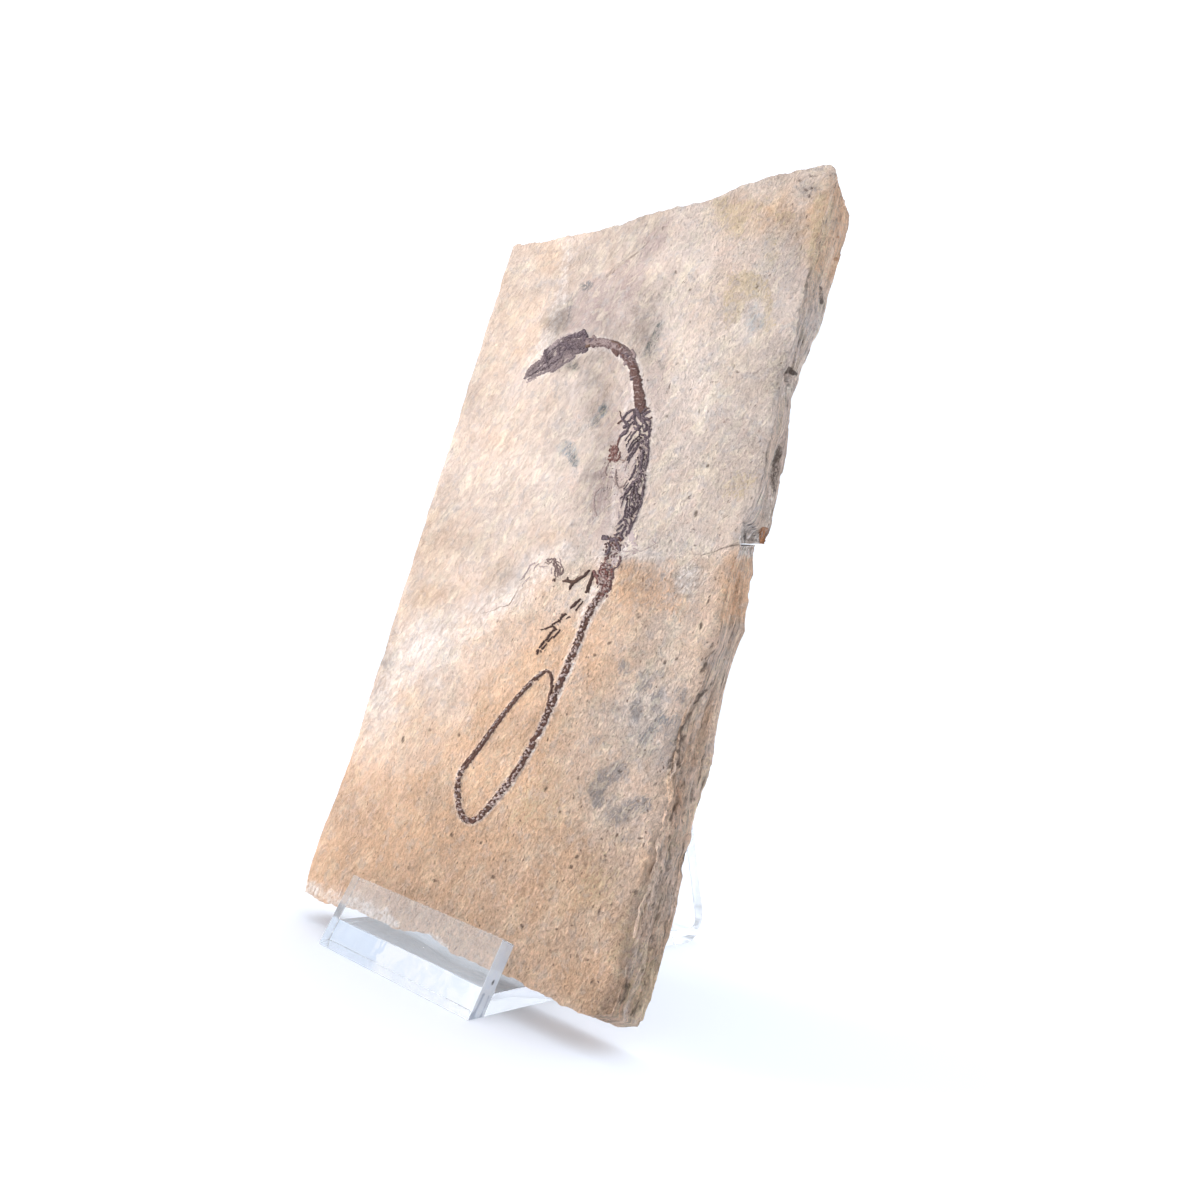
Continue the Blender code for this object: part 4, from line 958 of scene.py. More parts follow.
def edge_marks(P, X, Y, seen_side):
    """Masks over the broken edges."""
    m = Marks(X, Y)
    u, v, w = P[:, 0], P[:, 1], P[:, 2]
    on = seen_side.astype(float)
    run = v * on + u * (1 - on)
    low = smooth(126.0, 118.0, v)
    big = fbm(run / 20.0, w / 6.0, on, 2, 91)
    warm = 0.36 + 0.24 * low + 0.25 * big + 0.50 * smooth(212.0, 226.0, v) * on
    band = fbm(run / 40.0, (w + 1.1 * noise(run / 26.0, 3.0 * on, 0, 41)) / 1.3, on, 3, 92)
    rust = over(0.30 * low * smooth(0.0, 0.5, big),
                on * m.patch([(832, 180), (850, 205), (850, 235), (842, 262), (834, 284),
                              (829, 280), (834, 238), (834, 206)], 3, 2, 0.90),
                on * m.patch([(726, 560), (752, 556), (753, 580), (748, 616), (722, 616),
                              (728, 580)], 4, 2, 1.0),
                on * m.patch([(730, 566), (750, 562), (749, 590), (742, 612), (730, 606)],
                             5, 3, 0.8),
                on * m.spot(765, 536, 4.5, 8, 0, 0.4, 0.3, 1.0),
                on * m.spot(630, 1000, 12, 22, 10, 0.7, 0.5, 0.15))
    plum = over(0.18 * smooth(0.1, 0.5, noise(run / 18.0, w / 4.0, on, 93)),
                on * m.spot(788, 430, 8, 40, 8, 0.7, 0.5, 0.25))
    grey_smudge_and_shade = over(on * m.patch([(823, 268), (800, 262), (790, 330), (780, 366), (800, 368),
                             (826, 320), (830, 288)], 8, 4, 0.34),
               on * m.spot(747, 551, 9, 6, 0, 0.6, 0.5, 0.25),
               on * m.spot(668, 880, 8, 40, 10, 0.7, 0.6, 0.12),
               on * m.spot(690, 790, 6, 30, 14, 0.7, 0.6, 0.10))
    ochre = over(on * m.patch([(758, 530), (762, 527), (769, 528), (769, 542), (765, 546),
                              (760, 545)], 1.6, 1.2, 1.0),
                 on * m.spot(836, 259, 2.6, 2.0, 0, 0.5, 0.3, 0.7),
                 on * m.spot(838, 237, 2.6, 2.0, 0, 0.5, 0.3, 0.5))
    moss = over(0.25 * low * smooth(0.0, 0.4, noise(run / 16.0, w / 5.0, on, 94)),
                on * m.patch([(828, 196), (834, 200), (830, 232), (822, 262), (810, 292),
                              (800, 286), (812, 252), (822, 220)], 3, 2, 0.35),
                on * m.spot(640, 985, 14, 40, 12, 0.8, 0.5, 0.55),
                on * m.spot(641, 955, 14, 12, 10, 0.7, 0.5, 0.40))
    pale_stain_and_sheen = over(0.25 * smooth(0.15, 0.55, band),
                 on * m.spot(786, 388, 7, 10, 10, 0.7, 0.6, 0.45),
                 on * m.spot(770, 505, 5, 26, 10, 0.7, 0.5, 0.40),
                 on * m.spot(812, 325, 8, 12, 14, 0.7, 0.5, 0.40),
                 on * m.patch([(736, 548), (756, 548), (753, 560), (734, 562)], 3, 2, 0.60),
                 on * m.patch([(740, 521), (757, 527), (761, 534), (760, 547), (735, 547),
                               (740, 534)], 2, 1.2, 0.75),
                 on * m.spot(832, 285, 3, 9, 10, 0.6, 0.4, 0.4),
                 on * m.spot(672, 905, 5, 18, 10, 0.6, 0.5, 0.30),
                 on * m.spot(627, 1012, 4, 10, 10, 0.6, 0.5, 0.35))
    dark_grain_and_shadow = 0.55 * smooth(0.10, -0.55, band) * (0.5 + 0.5 * noise(run / 9.0, w / 1.5, on, 95))
    dark_grain_and_shadow = np.maximum(dark_grain_and_shadow, on * m.line([(780, 368, 2.6), (788, 370, 3.6), (796, 374, 1.6)],
                                        3, 0.5, 0.3, 0.95))
    dark_grain_and_shadow = np.maximum(dark_grain_and_shadow, on * m.patch([(779, 442), (771, 462), (770, 480), (773, 497),
                                          (776, 492), (780, 470), (782, 450)], 1.5, 1.2, 0.75))
    dark_grain_and_shadow = np.maximum(dark_grain_and_shadow, on * m.line([(821, 288, 1.6), (821.5, 302, 2.2)], 2, 0.6, 0.4, 0.8))
    dark_grain_and_shadow = np.maximum(dark_grain_and_shadow, on * m.line([(739, 523), (747, 524), (755, 529), (760, 534)],
                                        0.9, 0.5, 0.2, 0.95))
    dark_grain_and_shadow = np.maximum(dark_grain_and_shadow, on * m.spot(745, 535, 1.5, 5.5, 0, 0.4, 0.3, 0.95))
    dark_grain_and_shadow = np.maximum(dark_grain_and_shadow, on * m.spot(754.5, 538, 0.9, 5.0, 0, 0.4, 0.3, 0.8))
    dark_grain_and_shadow = np.maximum(dark_grain_and_shadow, on * m.line([(752, 556), (752, 575), (749, 584)], 1.2, 0.5, 0.4, 0.6))
    dark_grain_and_shadow = np.maximum(dark_grain_and_shadow, on * m.spot(836, 222, 1.6, 5, 0, 0.5, 0.4, 0.5))
    # the painted flake shadows, carried onto the edge
    for pts, half, much in FLAKE_SHADOWS:
        dark_grain_and_shadow = np.maximum(dark_grain_and_shadow, on * m.line(pts, half, 0.6, 0.6, much))
    for pts, half in (([(662, 868), (655, 900), (647, 940)], 1.6),
                      ([(641, 960), (645, 985)], 1.4), ([(628, 985), (622, 1002)], 2.2),
                      ([(638, 1000), (632, 1016)], 1.4), ([(660, 900), (650, 950)], 1.2)):
        dark_grain_and_shadow = np.maximum(dark_grain_and_shadow, on * m.line(pts, half, 0.6, 0.6, 0.6))
    tone_and_shade = 0.02 + 0.04 * low * on + 0.08 * big - 0.14 * smooth(205.0, 222.0, v) * on
    tone_and_shade = tone_and_shade - on * m.patch([(724, 556), (754, 556), (754, 584), (746, 622), (718, 622),
                                (724, 584)], 5, 3, 0.14)
    # sheets of shale: a dark thread where two of them part
    layer = w / 1.45 + 1.1 * noise(run / 26.0, 3.0 * on, 0, 41) + 0.5 * noise(run / 9.0, 3.0 * on, 2.0, 42)
    part = layer - np.floor(layer)
    parting = np.exp(-(np.minimum(part, 1 - part) / 0.20) ** 2)
    parting = parting * smooth(-0.25, 0.55, noise(run / 9.0, np.round(layer) * 1.9, on, 48))
    dark_grain_and_shadow = np.maximum(dark_grain_and_shadow, (0.66 - 0.30 * smooth(205.0, 222.0, v)) * parting)
    tone_and_shade = tone_and_shade + 0.26 * noise(run / 34.0, np.floor(layer) * 2.3, on, 49)
    tone_and_shade = tone_and_shade + on * (0.40 * np.exp(-((w - 1.2) / 0.8) ** 2) * (0.5 + 0.5 * noise(run / 14.0, 0, 0, 50))
                        * (1 + 0.2 * low))
    # a fresher, ironstained flake just under the break
    fresh = on * m.patch([(722, 560), (756, 556), (756, 600), (744, 622), (718, 622),
                          (722, 590)], 5, 3, 1.0)
    dark_grain_and_shadow, grey_smudge_and_shade, moss = dark_grain_and_shadow * (1 - 0.45 * fresh), grey_smudge_and_shade * (1 - fresh), moss * (1 - fresh)
    plum, pale_stain_and_sheen = plum * (1 - fresh), pale_stain_and_sheen * (1 - 0.6 * fresh)
    tone_and_shade, warm = tone_and_shade - 0.16 * fresh, warm + 0.35 * fresh
    warm = warm + 0.14 * low * on
    return dict(warm=warm, rust=rust, plum=plum, grey_smudge_and_shade=grey_smudge_and_shade, slate=0.0 * u, moss=moss,
                pale_stain_and_sheen=pale_stain_and_sheen, dark_grain_and_shadow=dark_grain_and_shadow, tone_and_shade=tone_and_shade, grit=0.7 + 0.2 * big, shade=0.0 * u, ochre=ochre)


MASKS = ("warm", "rust", "plum", "grey_smudge_and_shade", "slate", "moss", "pale_stain_and_sheen", "dark_grain_and_shadow", "tone_and_shade",
         "grit", "shade", "ochre")


def mark_stone(ob, P, nfront, nside):
    X, Y = seen(row(P[:, 0], P[:, 1], P[:, 2]))
    total = len(P)
    out = {k: np.zeros(total) for k in MASKS}
    out["flank"] = np.zeros(total)
    f = slice(0, nfront)
    g = face_marks(P[f], X[f], Y[f])
    for k in MASKS:
        out[k][f] = g[k]
    s = slice(nfront, nfront + nside)
    right = P[s, 0] > 55.0
    g = edge_marks(P[s], X[s], Y[s], right)
    for k in MASKS:
        out[k][s] = g[k]
    out["flank"][s] = 1.0
    b = slice(nfront + nside, total)
    u, v = P[b, 0], P[b, 1]
    big = fbm(u / 26.0, v / 30.0, 0, 3, 96)
    out["warm"][b] = 0.35 + 0.35 * smooth(150, 100, v) + 0.3 * big
    out["rust"][b] = 0.35 * smooth(0.1, 0.6, fbm(u / 18.0, v / 18.0, 3, 3, 97))
    out["grey_smudge_and_shade"][b] = 0.4 * smooth(0.2, 0.6, fbm(u / 14.0, v / 14.0, 6, 3, 98))
    out["tone_and_shade"][b] = 0.22 + 0.1 * big
    out["dark_grain_and_shadow"][b] = 0.3 * smooth(0.5, 0.8, noise(u / 2.0, v / 2.0, 0, 99))
    out["grit"][b] = 0.6
    for k, values in out.items():
        put(ob, k, np.clip(values, -0.6 if k == "tone_and_shade" else 0, 1))
    put(ob, "place", P, "FLOAT_VECTOR")


mark_stone(upper, UP_P, UP_FRONT, UP_SIDE)
mark_stone(lower, LO_P, LO_FRONT, LO_SIDE)


# ----------------------------------------------------------- node materials
class Paint:
    """A small helper for procedural materials."""

    def __init__(self, name):
        self.mat = bpy.data.materials.new(name)
        self.mat.use_nodes = True
        self.tree = self.mat.node_tree
        self.shader = self.tree.nodes["Principled BSDF"]

    def node(self, kind, **values):
        n = self.tree.nodes.new(kind)
        for k, x in values.items():
            setattr(n, k, x)
        return n

    def feed(self, socket, x):
        if isinstance(x, bpy.types.NodeSocket):
            self.tree.links.new(x, socket)
        elif isinstance(x, (tuple, list)) and len(x) == 3 and socket.type == "RGBA":
            socket.default_value = (*x, 1.0)
        else:
            socket.default_value = x

    def attr(self, name, vector=False):
        n = self.node("ShaderNodeAttribute", attribute_type="GEOMETRY",
                      attribute_name=name)
        return n.outputs["Vector" if vector else "Fac"]

    def math(self, op, a, b=0.0, c=None, clamp=False):
        n = self.node("ShaderNodeMath", operation=op, use_clamp=clamp)
        self.feed(n.inputs[0], a)
        self.feed(n.inputs[1], b)
        if c is not None:
            self.feed(n.inputs[2], c)
        return n.outputs[0]

    def scale(self, vector, by):
        n = self.node("ShaderNodeVectorMath", operation="MULTIPLY")
        self.feed(n.inputs[0], vector)
        n.inputs[1].default_value = by
        return n.outputs[0]

    def turn(self, vector, degrees, shift=(0.0, 0.0, 0.0)):
        n = self.node("ShaderNodeMapping", vector_type="POINT")
        self.feed(n.inputs["Vector"], vector)
        n.inputs["Rotation"].default_value = (0.0, 0.0, math.radians(degrees))
        n.inputs["Location"].default_value = shift
        return n.outputs["Vector"]

    def noise(self, vector, scale, detail=2.0, rough=0.5, distort=0.0):
        n = self.node("ShaderNodeTexNoise")
        self.feed(n.inputs["Vector"], vector)
        n.inputs["Scale"].default_value = scale
        n.inputs["Detail"].default_value = detail
        n.inputs["Roughness"].default_value = rough
        n.inputs["Distortion"].default_value = distort
        return n.outputs["Fac"]

    def cells(self, vector, scale, spread=1.0):
        n = self.node("ShaderNodeTexVoronoi")
        self.feed(n.inputs["Vector"], vector)
        n.inputs["Scale"].default_value = scale
        n.inputs["Randomness"].default_value = spread
        return n.outputs["Distance"], n.outputs["Color"]

    def span(self, x, lo, hi, to_lo=0.0, to_hi=1.0, kind="SMOOTHSTEP"):
        n = self.node("ShaderNodeMapRange", interpolation_type=kind)
        self.feed(n.inputs["Value"], x)
        n.inputs["From Min"].default_value = lo
        n.inputs["From Max"].default_value = hi
        n.inputs["To Min"].default_value = to_lo
        n.inputs["To Max"].default_value = to_hi
        return n.outputs["Result"]

    def mix(self, fac, a, b, kind="MIX"):
        n = self.node("ShaderNodeMix", data_type="RGBA", blend_type=kind,
                      clamp_factor=True)
        self.feed(n.inputs[0], fac)
        self.feed(n.inputs[6], a)
        self.feed(n.inputs[7], b)
        return n.outputs[2]

    def bump(self, height, strength, distance, normal=None):
        n = self.node("ShaderNodeBump")
        n.inputs["Strength"].default_value = strength
        n.inputs["Distance"].default_value = distance
        self.feed(n.inputs["Height"], height)
        if normal is not None:
            self.feed(n.inputs["Normal"], normal)
        return n.outputs["Normal"]


LIGHT = 0.86       # the stones' overall lightness


def srgb(r, g, b):
    """Colour given as display numbers from 0 to 255."""
    return tuple((c / 255 / 12.92) if c / 255 <= 0.04045
                 else ((c / 255 + 0.055) / 1.055) ** 2.4 for c in (r, g, b))


def shale(name, cream, tan):
    p = Paint(name)
    place = p.attr("place", True)
    slant = p.turn(place, 25.0, (31.0, -12.0, 5.0))  # the bedding's drift
    streak_at = p.scale(slant, (1.0, 0.30, 1.0))
    grain_at = p.scale(place, (1.0, 0.62, 1.4))
    layer_at = p.scale(place, (0.24, 0.15, 1.3))     # the laminae
    cloud = p.noise(place, 0.07, 4.0, 0.6)
    drift = p.noise(p.scale(slant, (0.11, 0.045, 0.11)), 1.0, 4.0, 0.62)
    veil = p.noise(p.scale(slant, (0.15, 0.07, 0.15)), 1.0, 4.0, 0.62, 0.4)
    blush = p.noise(p.turn(place, 8.0, (90.0, 40.0, 9.0)), 0.17, 4.0, 0.66)
    blotch = p.noise(place, 0.42, 4.0, 0.65)
    flake = p.noise(p.scale(slant, (1.0, 0.52, 1.0)), 0.24, 5.0, 0.68, 0.9)
    scale = p.noise(p.scale(slant, (1.0, 0.60, 1.0)), 0.40, 4.0, 0.66, 1.2)
    curl = p.noise(p.scale(slant, (1.0, 0.40, 1.0)), 0.95, 3.0, 0.60, 1.7)
    streak = p.noise(streak_at, 0.55, 3.0, 0.6)
    grain = p.noise(grain_at, 1.25, 4.0, 0.7)
    fine = p.noise(grain_at, 3.4, 2.0, 0.6)
    flank = p.attr("flank")
    grit = p.attr("grit")

    def away(x, k):
        return p.math("MULTIPLY", p.math("SUBTRACT", x, 0.5), k)

    ragged = p.math("ADD", away(flake, 1.6), p.math("ADD", away(curl, 1.7), away(grain, 1.0)))

    def soft(name, lo, hi, wander):
        """A mask whose rim and inside follow the flakes and the grain."""
        much = p.math("MULTIPLY_ADD", ragged, wander, 1.0, clamp=False)
        return p.span(p.math("MULTIPLY", p.attr(name), much), lo, hi)

    def some(x, k):
        return p.math("MULTIPLY", x, k)

    warm = p.math("MULTIPLY_ADD", p.math("SUBTRACT", cloud, 0.5), 0.7, p.attr("warm"))
    warm = p.math("MULTIPLY_ADD", p.math("SUBTRACT", drift, 0.5), 0.5, warm, clamp=True)
    colour = p.mix(warm, cream, tan)
    calm = p.math("MULTIPLY_ADD", warm, -0.70, 1.0)      # the tan part is more even
    colour = p.mix(p.math("MULTIPLY", p.span(drift, 0.46, 0.70, 0.0, 0.60), calm), colour,
                   srgb(214, 200, 194))
    colour = p.mix(p.math("MULTIPLY", p.span(veil, 0.50, 0.74, 0.0, 0.65), calm), colour,
                   srgb(240, 226, 203))
    colour = p.mix(p.span(blush, 0.52, 0.72, 0.0, 0.40), colour, srgb(230, 196, 178))
    colour = p.mix(p.span(blush, 0.46, 0.30, 0.0, 0.38), colour, srgb(205, 197, 178))
    colour = p.mix(some(soft("rust", 0.0, 0.95, 1.3), 0.85), colour, srgb(220, 178, 144))
    colour = p.mix(some(soft("plum", 0.0, 0.95, 1.5), 0.80), colour, srgb(186, 164, 160))
    colour = p.mix(some(soft("moss", 0.26, 0.50, 2.6), 0.70), colour, srgb(205, 184, 150))
    # grey smudges, with painted shade at the crease and beside the ridge
    colour = p.mix(some(soft("grey_smudge_and_shade", 0.16, 0.80, 2.8), 0.86), colour, srgb(152, 145, 143))
    colour = p.mix(some(soft("slate", 0.10, 0.90, 2.8), 0.80), colour, srgb(150, 160, 166))
    # pale stains, with the painted highlight on the ridge and the painted sheen
    colour = p.mix(some(soft("pale_stain_and_sheen", 0.0, 0.95, 1.6), 0.80), colour, srgb(248, 238, 232))
    # grey-green smudges, with the painted shadow of the crease
    colour = p.mix(some(soft("shade", 0.10, 0.85, 1.8), 0.85), colour, srgb(104, 108, 104))
    colour = p.mix(some(soft("ochre", 0.20, 0.60, 0.8), 0.92), colour, srgb(178, 112, 62))
    # mottling: crisp little patches, then value
    colour = p.mix(p.span(scale, 0.51, 0.57, 0.0, 0.42), colour,
                   p.mix(warm, srgb(206, 190, 183), srgb(200, 164, 134)))
    colour = p.mix(p.span(flake, 0.54, 0.60, 0.0, 0.42), colour,
                   p.mix(warm, srgb(252, 238, 216), srgb(246, 214, 180)))
    colour = p.mix(p.span(flake, 0.44, 0.38, 0.0, 0.30), colour,
                   p.mix(warm, srgb(204, 192, 180), srgb(196, 168, 144)))
    dab = p.noise(p.scale(place, (1.0, 0.85, 1.0)), 0.30, 3.0, 0.60, 0.3)
    colour = p.mix(p.span(dab, 0.54, 0.64, 0.0, 0.52), colour,
                   p.mix(warm, srgb(200, 192, 190), srgb(208, 184, 166)))
    tone = p.math("ADD", away(blotch, 0.34), 1.0)
    tone = p.math("ADD", away(streak, 0.26), tone)
    tone = p.math("MULTIPLY_ADD", away(curl, 1.0), p.math("MULTIPLY_ADD", grit, 0.55, 0.10), tone)
    rise = p.math("MULTIPLY_ADD", grit, 1.15, 0.14)
    tone = p.math("MULTIPLY_ADD", p.math("SUBTRACT", grain, 0.5), rise, tone)
    tone = p.math("MULTIPLY_ADD", p.math("SUBTRACT", fine, 0.5), some(rise, 0.5), tone)
    # darker where the stone's tone is darker and where shade is painted
    tone = p.math("SUBTRACT", tone, some(p.attr("tone_and_shade"), 0.62))
    # laminae on the broken edges
    layers = p.noise(layer_at, 0.95, 4.0, 0.74)
    strips = p.span(layers, 0.30, 0.70, -0.36, 0.30, "LINEAR")
    tone = p.math("MULTIPLY_ADD", p.math("MULTIPLY", strips, flank), 1.0, tone)
    # painted light: the broken edges are made a third lighter than the face, standing in for light they get
    # too little of
    tone = p.math("MULTIPLY", tone, p.math("MULTIPLY_ADD", flank, 0.34 * LIGHT, LIGHT))
    n = p.node("ShaderNodeVectorMath", operation="SCALE")
    p.feed(n.inputs[0], colour)
    p.feed(n.inputs["Scale"], tone)
    colour = n.outputs[0]
    # little pits, crowded where the stone is coarse
    pit = p.span(p.noise(grain_at, 0.95, 2.0, 0.55, 0.3), 0.62, 0.80)
    pit = p.math("MULTIPLY", pit, p.math("MULTIPLY_ADD", grit, 0.95, 0.04))
    colour = p.mix(pit, colour, srgb(112, 90, 76))
    # dark grains, cracks and partings, with painted shadows under the flakes
    dark_grain_and_shadow = soft("dark_grain_and_shadow", 0.08, 0.90, 1.4)
    colour = p.mix(some(dark_grain_and_shadow, 0.85), colour, srgb(76, 62, 52))
    p.feed(p.shader.inputs["Base Color"], colour)
    rough = p.math("MULTIPLY_ADD", grain, 0.16, 0.74)
    p.feed(p.shader.inputs["Roughness"], rough)
    p.shader.inputs["Specular IOR Level"].default_value = 0.30
    high = p.math("MULTIPLY_ADD", fine, 0.30, grain)
    high = p.math("MULTIPLY_ADD", curl, p.math("MULTIPLY_ADD", grit, 1.1, 0.35), high)
    high = p.math("MULTIPLY", high, p.math("MULTIPLY_ADD", grit, 1.5, 0.34))
    high = p.math("MULTIPLY_ADD", streak, 0.9, high)
    high = p.math("MULTIPLY_ADD", p.span(scale, 0.50, 0.56), -0.14, high)
    high = p.math("SUBTRACT", high, some(pit, 0.7))
    high = p.math("SUBTRACT", high, some(dark_grain_and_shadow, 0.4))
    first = p.bump(high, 1.0, 0.00075)
    second = p.bump(p.math("MULTIPLY", layers, flank), 0.9, 0.0012, first)
    p.feed(p.shader.inputs["Normal"], second)
    return p.mat


stone_upper = shale("shale_grey_cream", srgb(227, 210, 198), srgb(228, 192, 160))
stone_lower = shale("shale_ironstained", srgb(234, 217, 204), srgb(224, 185, 153))
upper.data.materials.append(stone_upper)
lower.data.materials.append(stone_lower)
for ob, node, slot in ((upper, "upper_slab", "shale_upper"),
                       (lower, "lower_slab", "shale_lower")):
    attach(ob, "root")
    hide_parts(node)


# -------------------------------------------------------------- the skeleton
# A stroke is a line of (x, y, half width) frame points, its height in mm and its
# stain: how brown, how red and how faded it is.
DARK, BROWN, RED = (0.0, 0.0, 0.0), (1.0, 0.0, 0.0), (0.5, 1.0, 0.0)
MAUVE, LILAC, GHOST = (0.25, 0.15, 0.30), (0.0, 0.0, 0.62), (0.2, 0.0, 0.72)
UMBER, INK = (0.6, 0.2, -0.10), (0.8, 0.14, -0.48)


def S(pts, high=0.42, stain=DARK):
    return [tuple(map(float, p)) for p in pts], high, stain


def crumbs(outline, count, size, stain, high=0.34, seed=1, drift=(0.35, -0.94)):
    """Small grains of bone strewn inside an outline."""
    rng = np.random.default_rng(seed)
    a = np.array(outline, float)
    lo, hi = a.min(0), a.max(0)
    out = []
    while len(out) < count:
        x, y = lo + (hi - lo) * rng.random(2)
        r = size * (0.55 + 0.9 * rng.random())
        e = r * 1.3 * rng.random()
        k = rng.random()
        if inside(np.array([x]), np.array([y]), outline)[0] > 0:
            out.append(S([(x - drift[0] * e, y - drift[1] * e, r),
                          (x + drift[0] * e, y + drift[1] * e, r * 0.9)], high * (0.7 + 0.5 * k),
                         (stain[0], stain[1] * (0.5 + k), stain[2] + 0.25 * (k - 0.5))))
    return out


SKULL_PLATE = [(525, 380), (528, 374), (531, 368), (537, 364), (542, 359), (544, 353),
               (547, 348), (552, 345), (558, 340), (562, 337), (566, 336.5), (570, 334),
               (575, 332.5), (578, 333), (582, 331), (584, 329.8), (587, 333),
               (588, 337), (590, 340), (588, 347), (587, 350), (583, 353), (578, 353),
               (574, 356), (568, 359), (563, 361), (560, 366), (555, 370), (553, 372),
               (549, 371), (544, 372), (540, 373.5), (536, 374.5), (531, 377)]
SKULL_STROKES = [
    S([(527, 383, 0.8), (531, 380.4, 1.0), (536, 378.5, 0.8)], 0.16, GHOST),
    S([(525.5, 379, 1.2), (528, 375, 1.8), (531, 370.5, 2.2), (534, 367.5, 2.0),
       (540, 362, 1.5)], 0.30, (0.2, 0.0, 0.25)),
    S([(531, 375.5, 1.6), (536, 370.5, 2.2), (541, 368, 2.0), (547, 366, 2.2)], 0.30,
      (0.0, 0.0, 0.32)),
    S([(546, 352.5, 1.8), (546.5, 357, 2.8), (547, 363, 1.8)], 0.50, DARK),
    S([(551, 350, 1.8), (555, 346, 2.0), (559, 345, 1.6)], 0.30, (0.0, 0.0, 0.4)),
    S([(559.2, 351, 1.5)] * 1 + [(559.4, 352, 1.5)], 0.42, DARK),
    S([(561.5, 355, 2.2), (558, 358, 3.0), (553, 361, 3.2), (551, 365, 2.4)], 0.36,
      (0.0, 0.0, 0.16)),
    S([(560, 355, 1.9), (562, 355.5, 1.6)], 0.46, DARK),
    S([(555, 369, 1.6), (560, 365.5, 1.6), (563, 360.5, 1.8)], 0.30, (0.2, 0.0, 0.2)),
    S([(563, 345, 2.4), (566.5, 344, 3.0), (568.5, 348, 3.0)], 0.50, DARK),
    S([(566, 339.5, 2.0), (570, 337.5, 2.0), (578, 336, 2.4), (584, 333, 3.0)], 0.50, DARK),
    S([(584, 331.5, 1.8), (586, 336, 2.6), (584, 341, 2.6)], 0.46, DARK),
    S([(570, 342, 3.4), (575, 346, 4.4), (580, 344, 4.2), (585, 345, 3.0)], 0.46,
      (0.1, 0.0, 0.05)),
    S([(568, 353, 2.8), (573, 353.5, 2.4), (577, 352.5, 1.8), (580, 352.5, 1.6)], 0.34,
      (0.1, 0.0, 0.12)),
    S([(566, 357.5, 1.6), (571, 356, 1.8)], 0.26, (0.2, 0.0, 0.3)),
    S([(583, 352.5, 1.4), (587, 349.5, 1.4)], 0.34, DARK),
    S([(586, 342, 1.6), (590, 339.5, 1.6)], 0.46, DARK),
    S([(590, 346, 1.6), (587, 347, 1.6)], 0.40, BROWN),
    S([(529, 380.4, 0.9), (536, 376.0, 1.3), (543, 373.4, 1.3), (550, 370.6, 1.3)], 0.26,
      (0.1, 0.0, 0.30)),
    S([(533, 373.0, 1.2), (539, 366.5, 1.6), (544, 360.0, 1.8), (546, 355.0, 1.6)], 0.34,
      (0.1, 0.0, 0.18)),
    S([(530, 377.0, 0.6), (538, 371.6, 0.8), (546, 364.0, 0.8), (553, 356.0, 0.7)], 0.40,
      (0.1, 0.0, 0.0)),
    S([(541, 371.6, 0.7), (549, 366.8, 0.9), (556, 362.0, 0.8), (562, 358.6, 0.7)], 0.40,
      (0.1, 0.0, 0.0)),
    S([(548, 353.0, 0.8), (556, 348.4, 0.9), (564, 342.0, 0.9)], 0.44, DARK),
    S([(552, 372.0, 1.1), (560, 367.0, 1.2), (568, 361.6, 1.1), (575, 357.0, 0.9)], 0.30,
      (0.1, 0.0, 0.22)),
    S([(562, 351.0, 0.8), (570, 349.6, 0.9), (578, 349.4, 0.8), (584, 348.6, 0.7)], 0.44, DARK),
]
SKULL_PALE = [((555, 355), 1.6, 2.6), ((562, 341.6), 2.0, 1.0), ((552, 351.5), 1.4, 1.6),
              ((541, 366), 1.0, 1.6)]

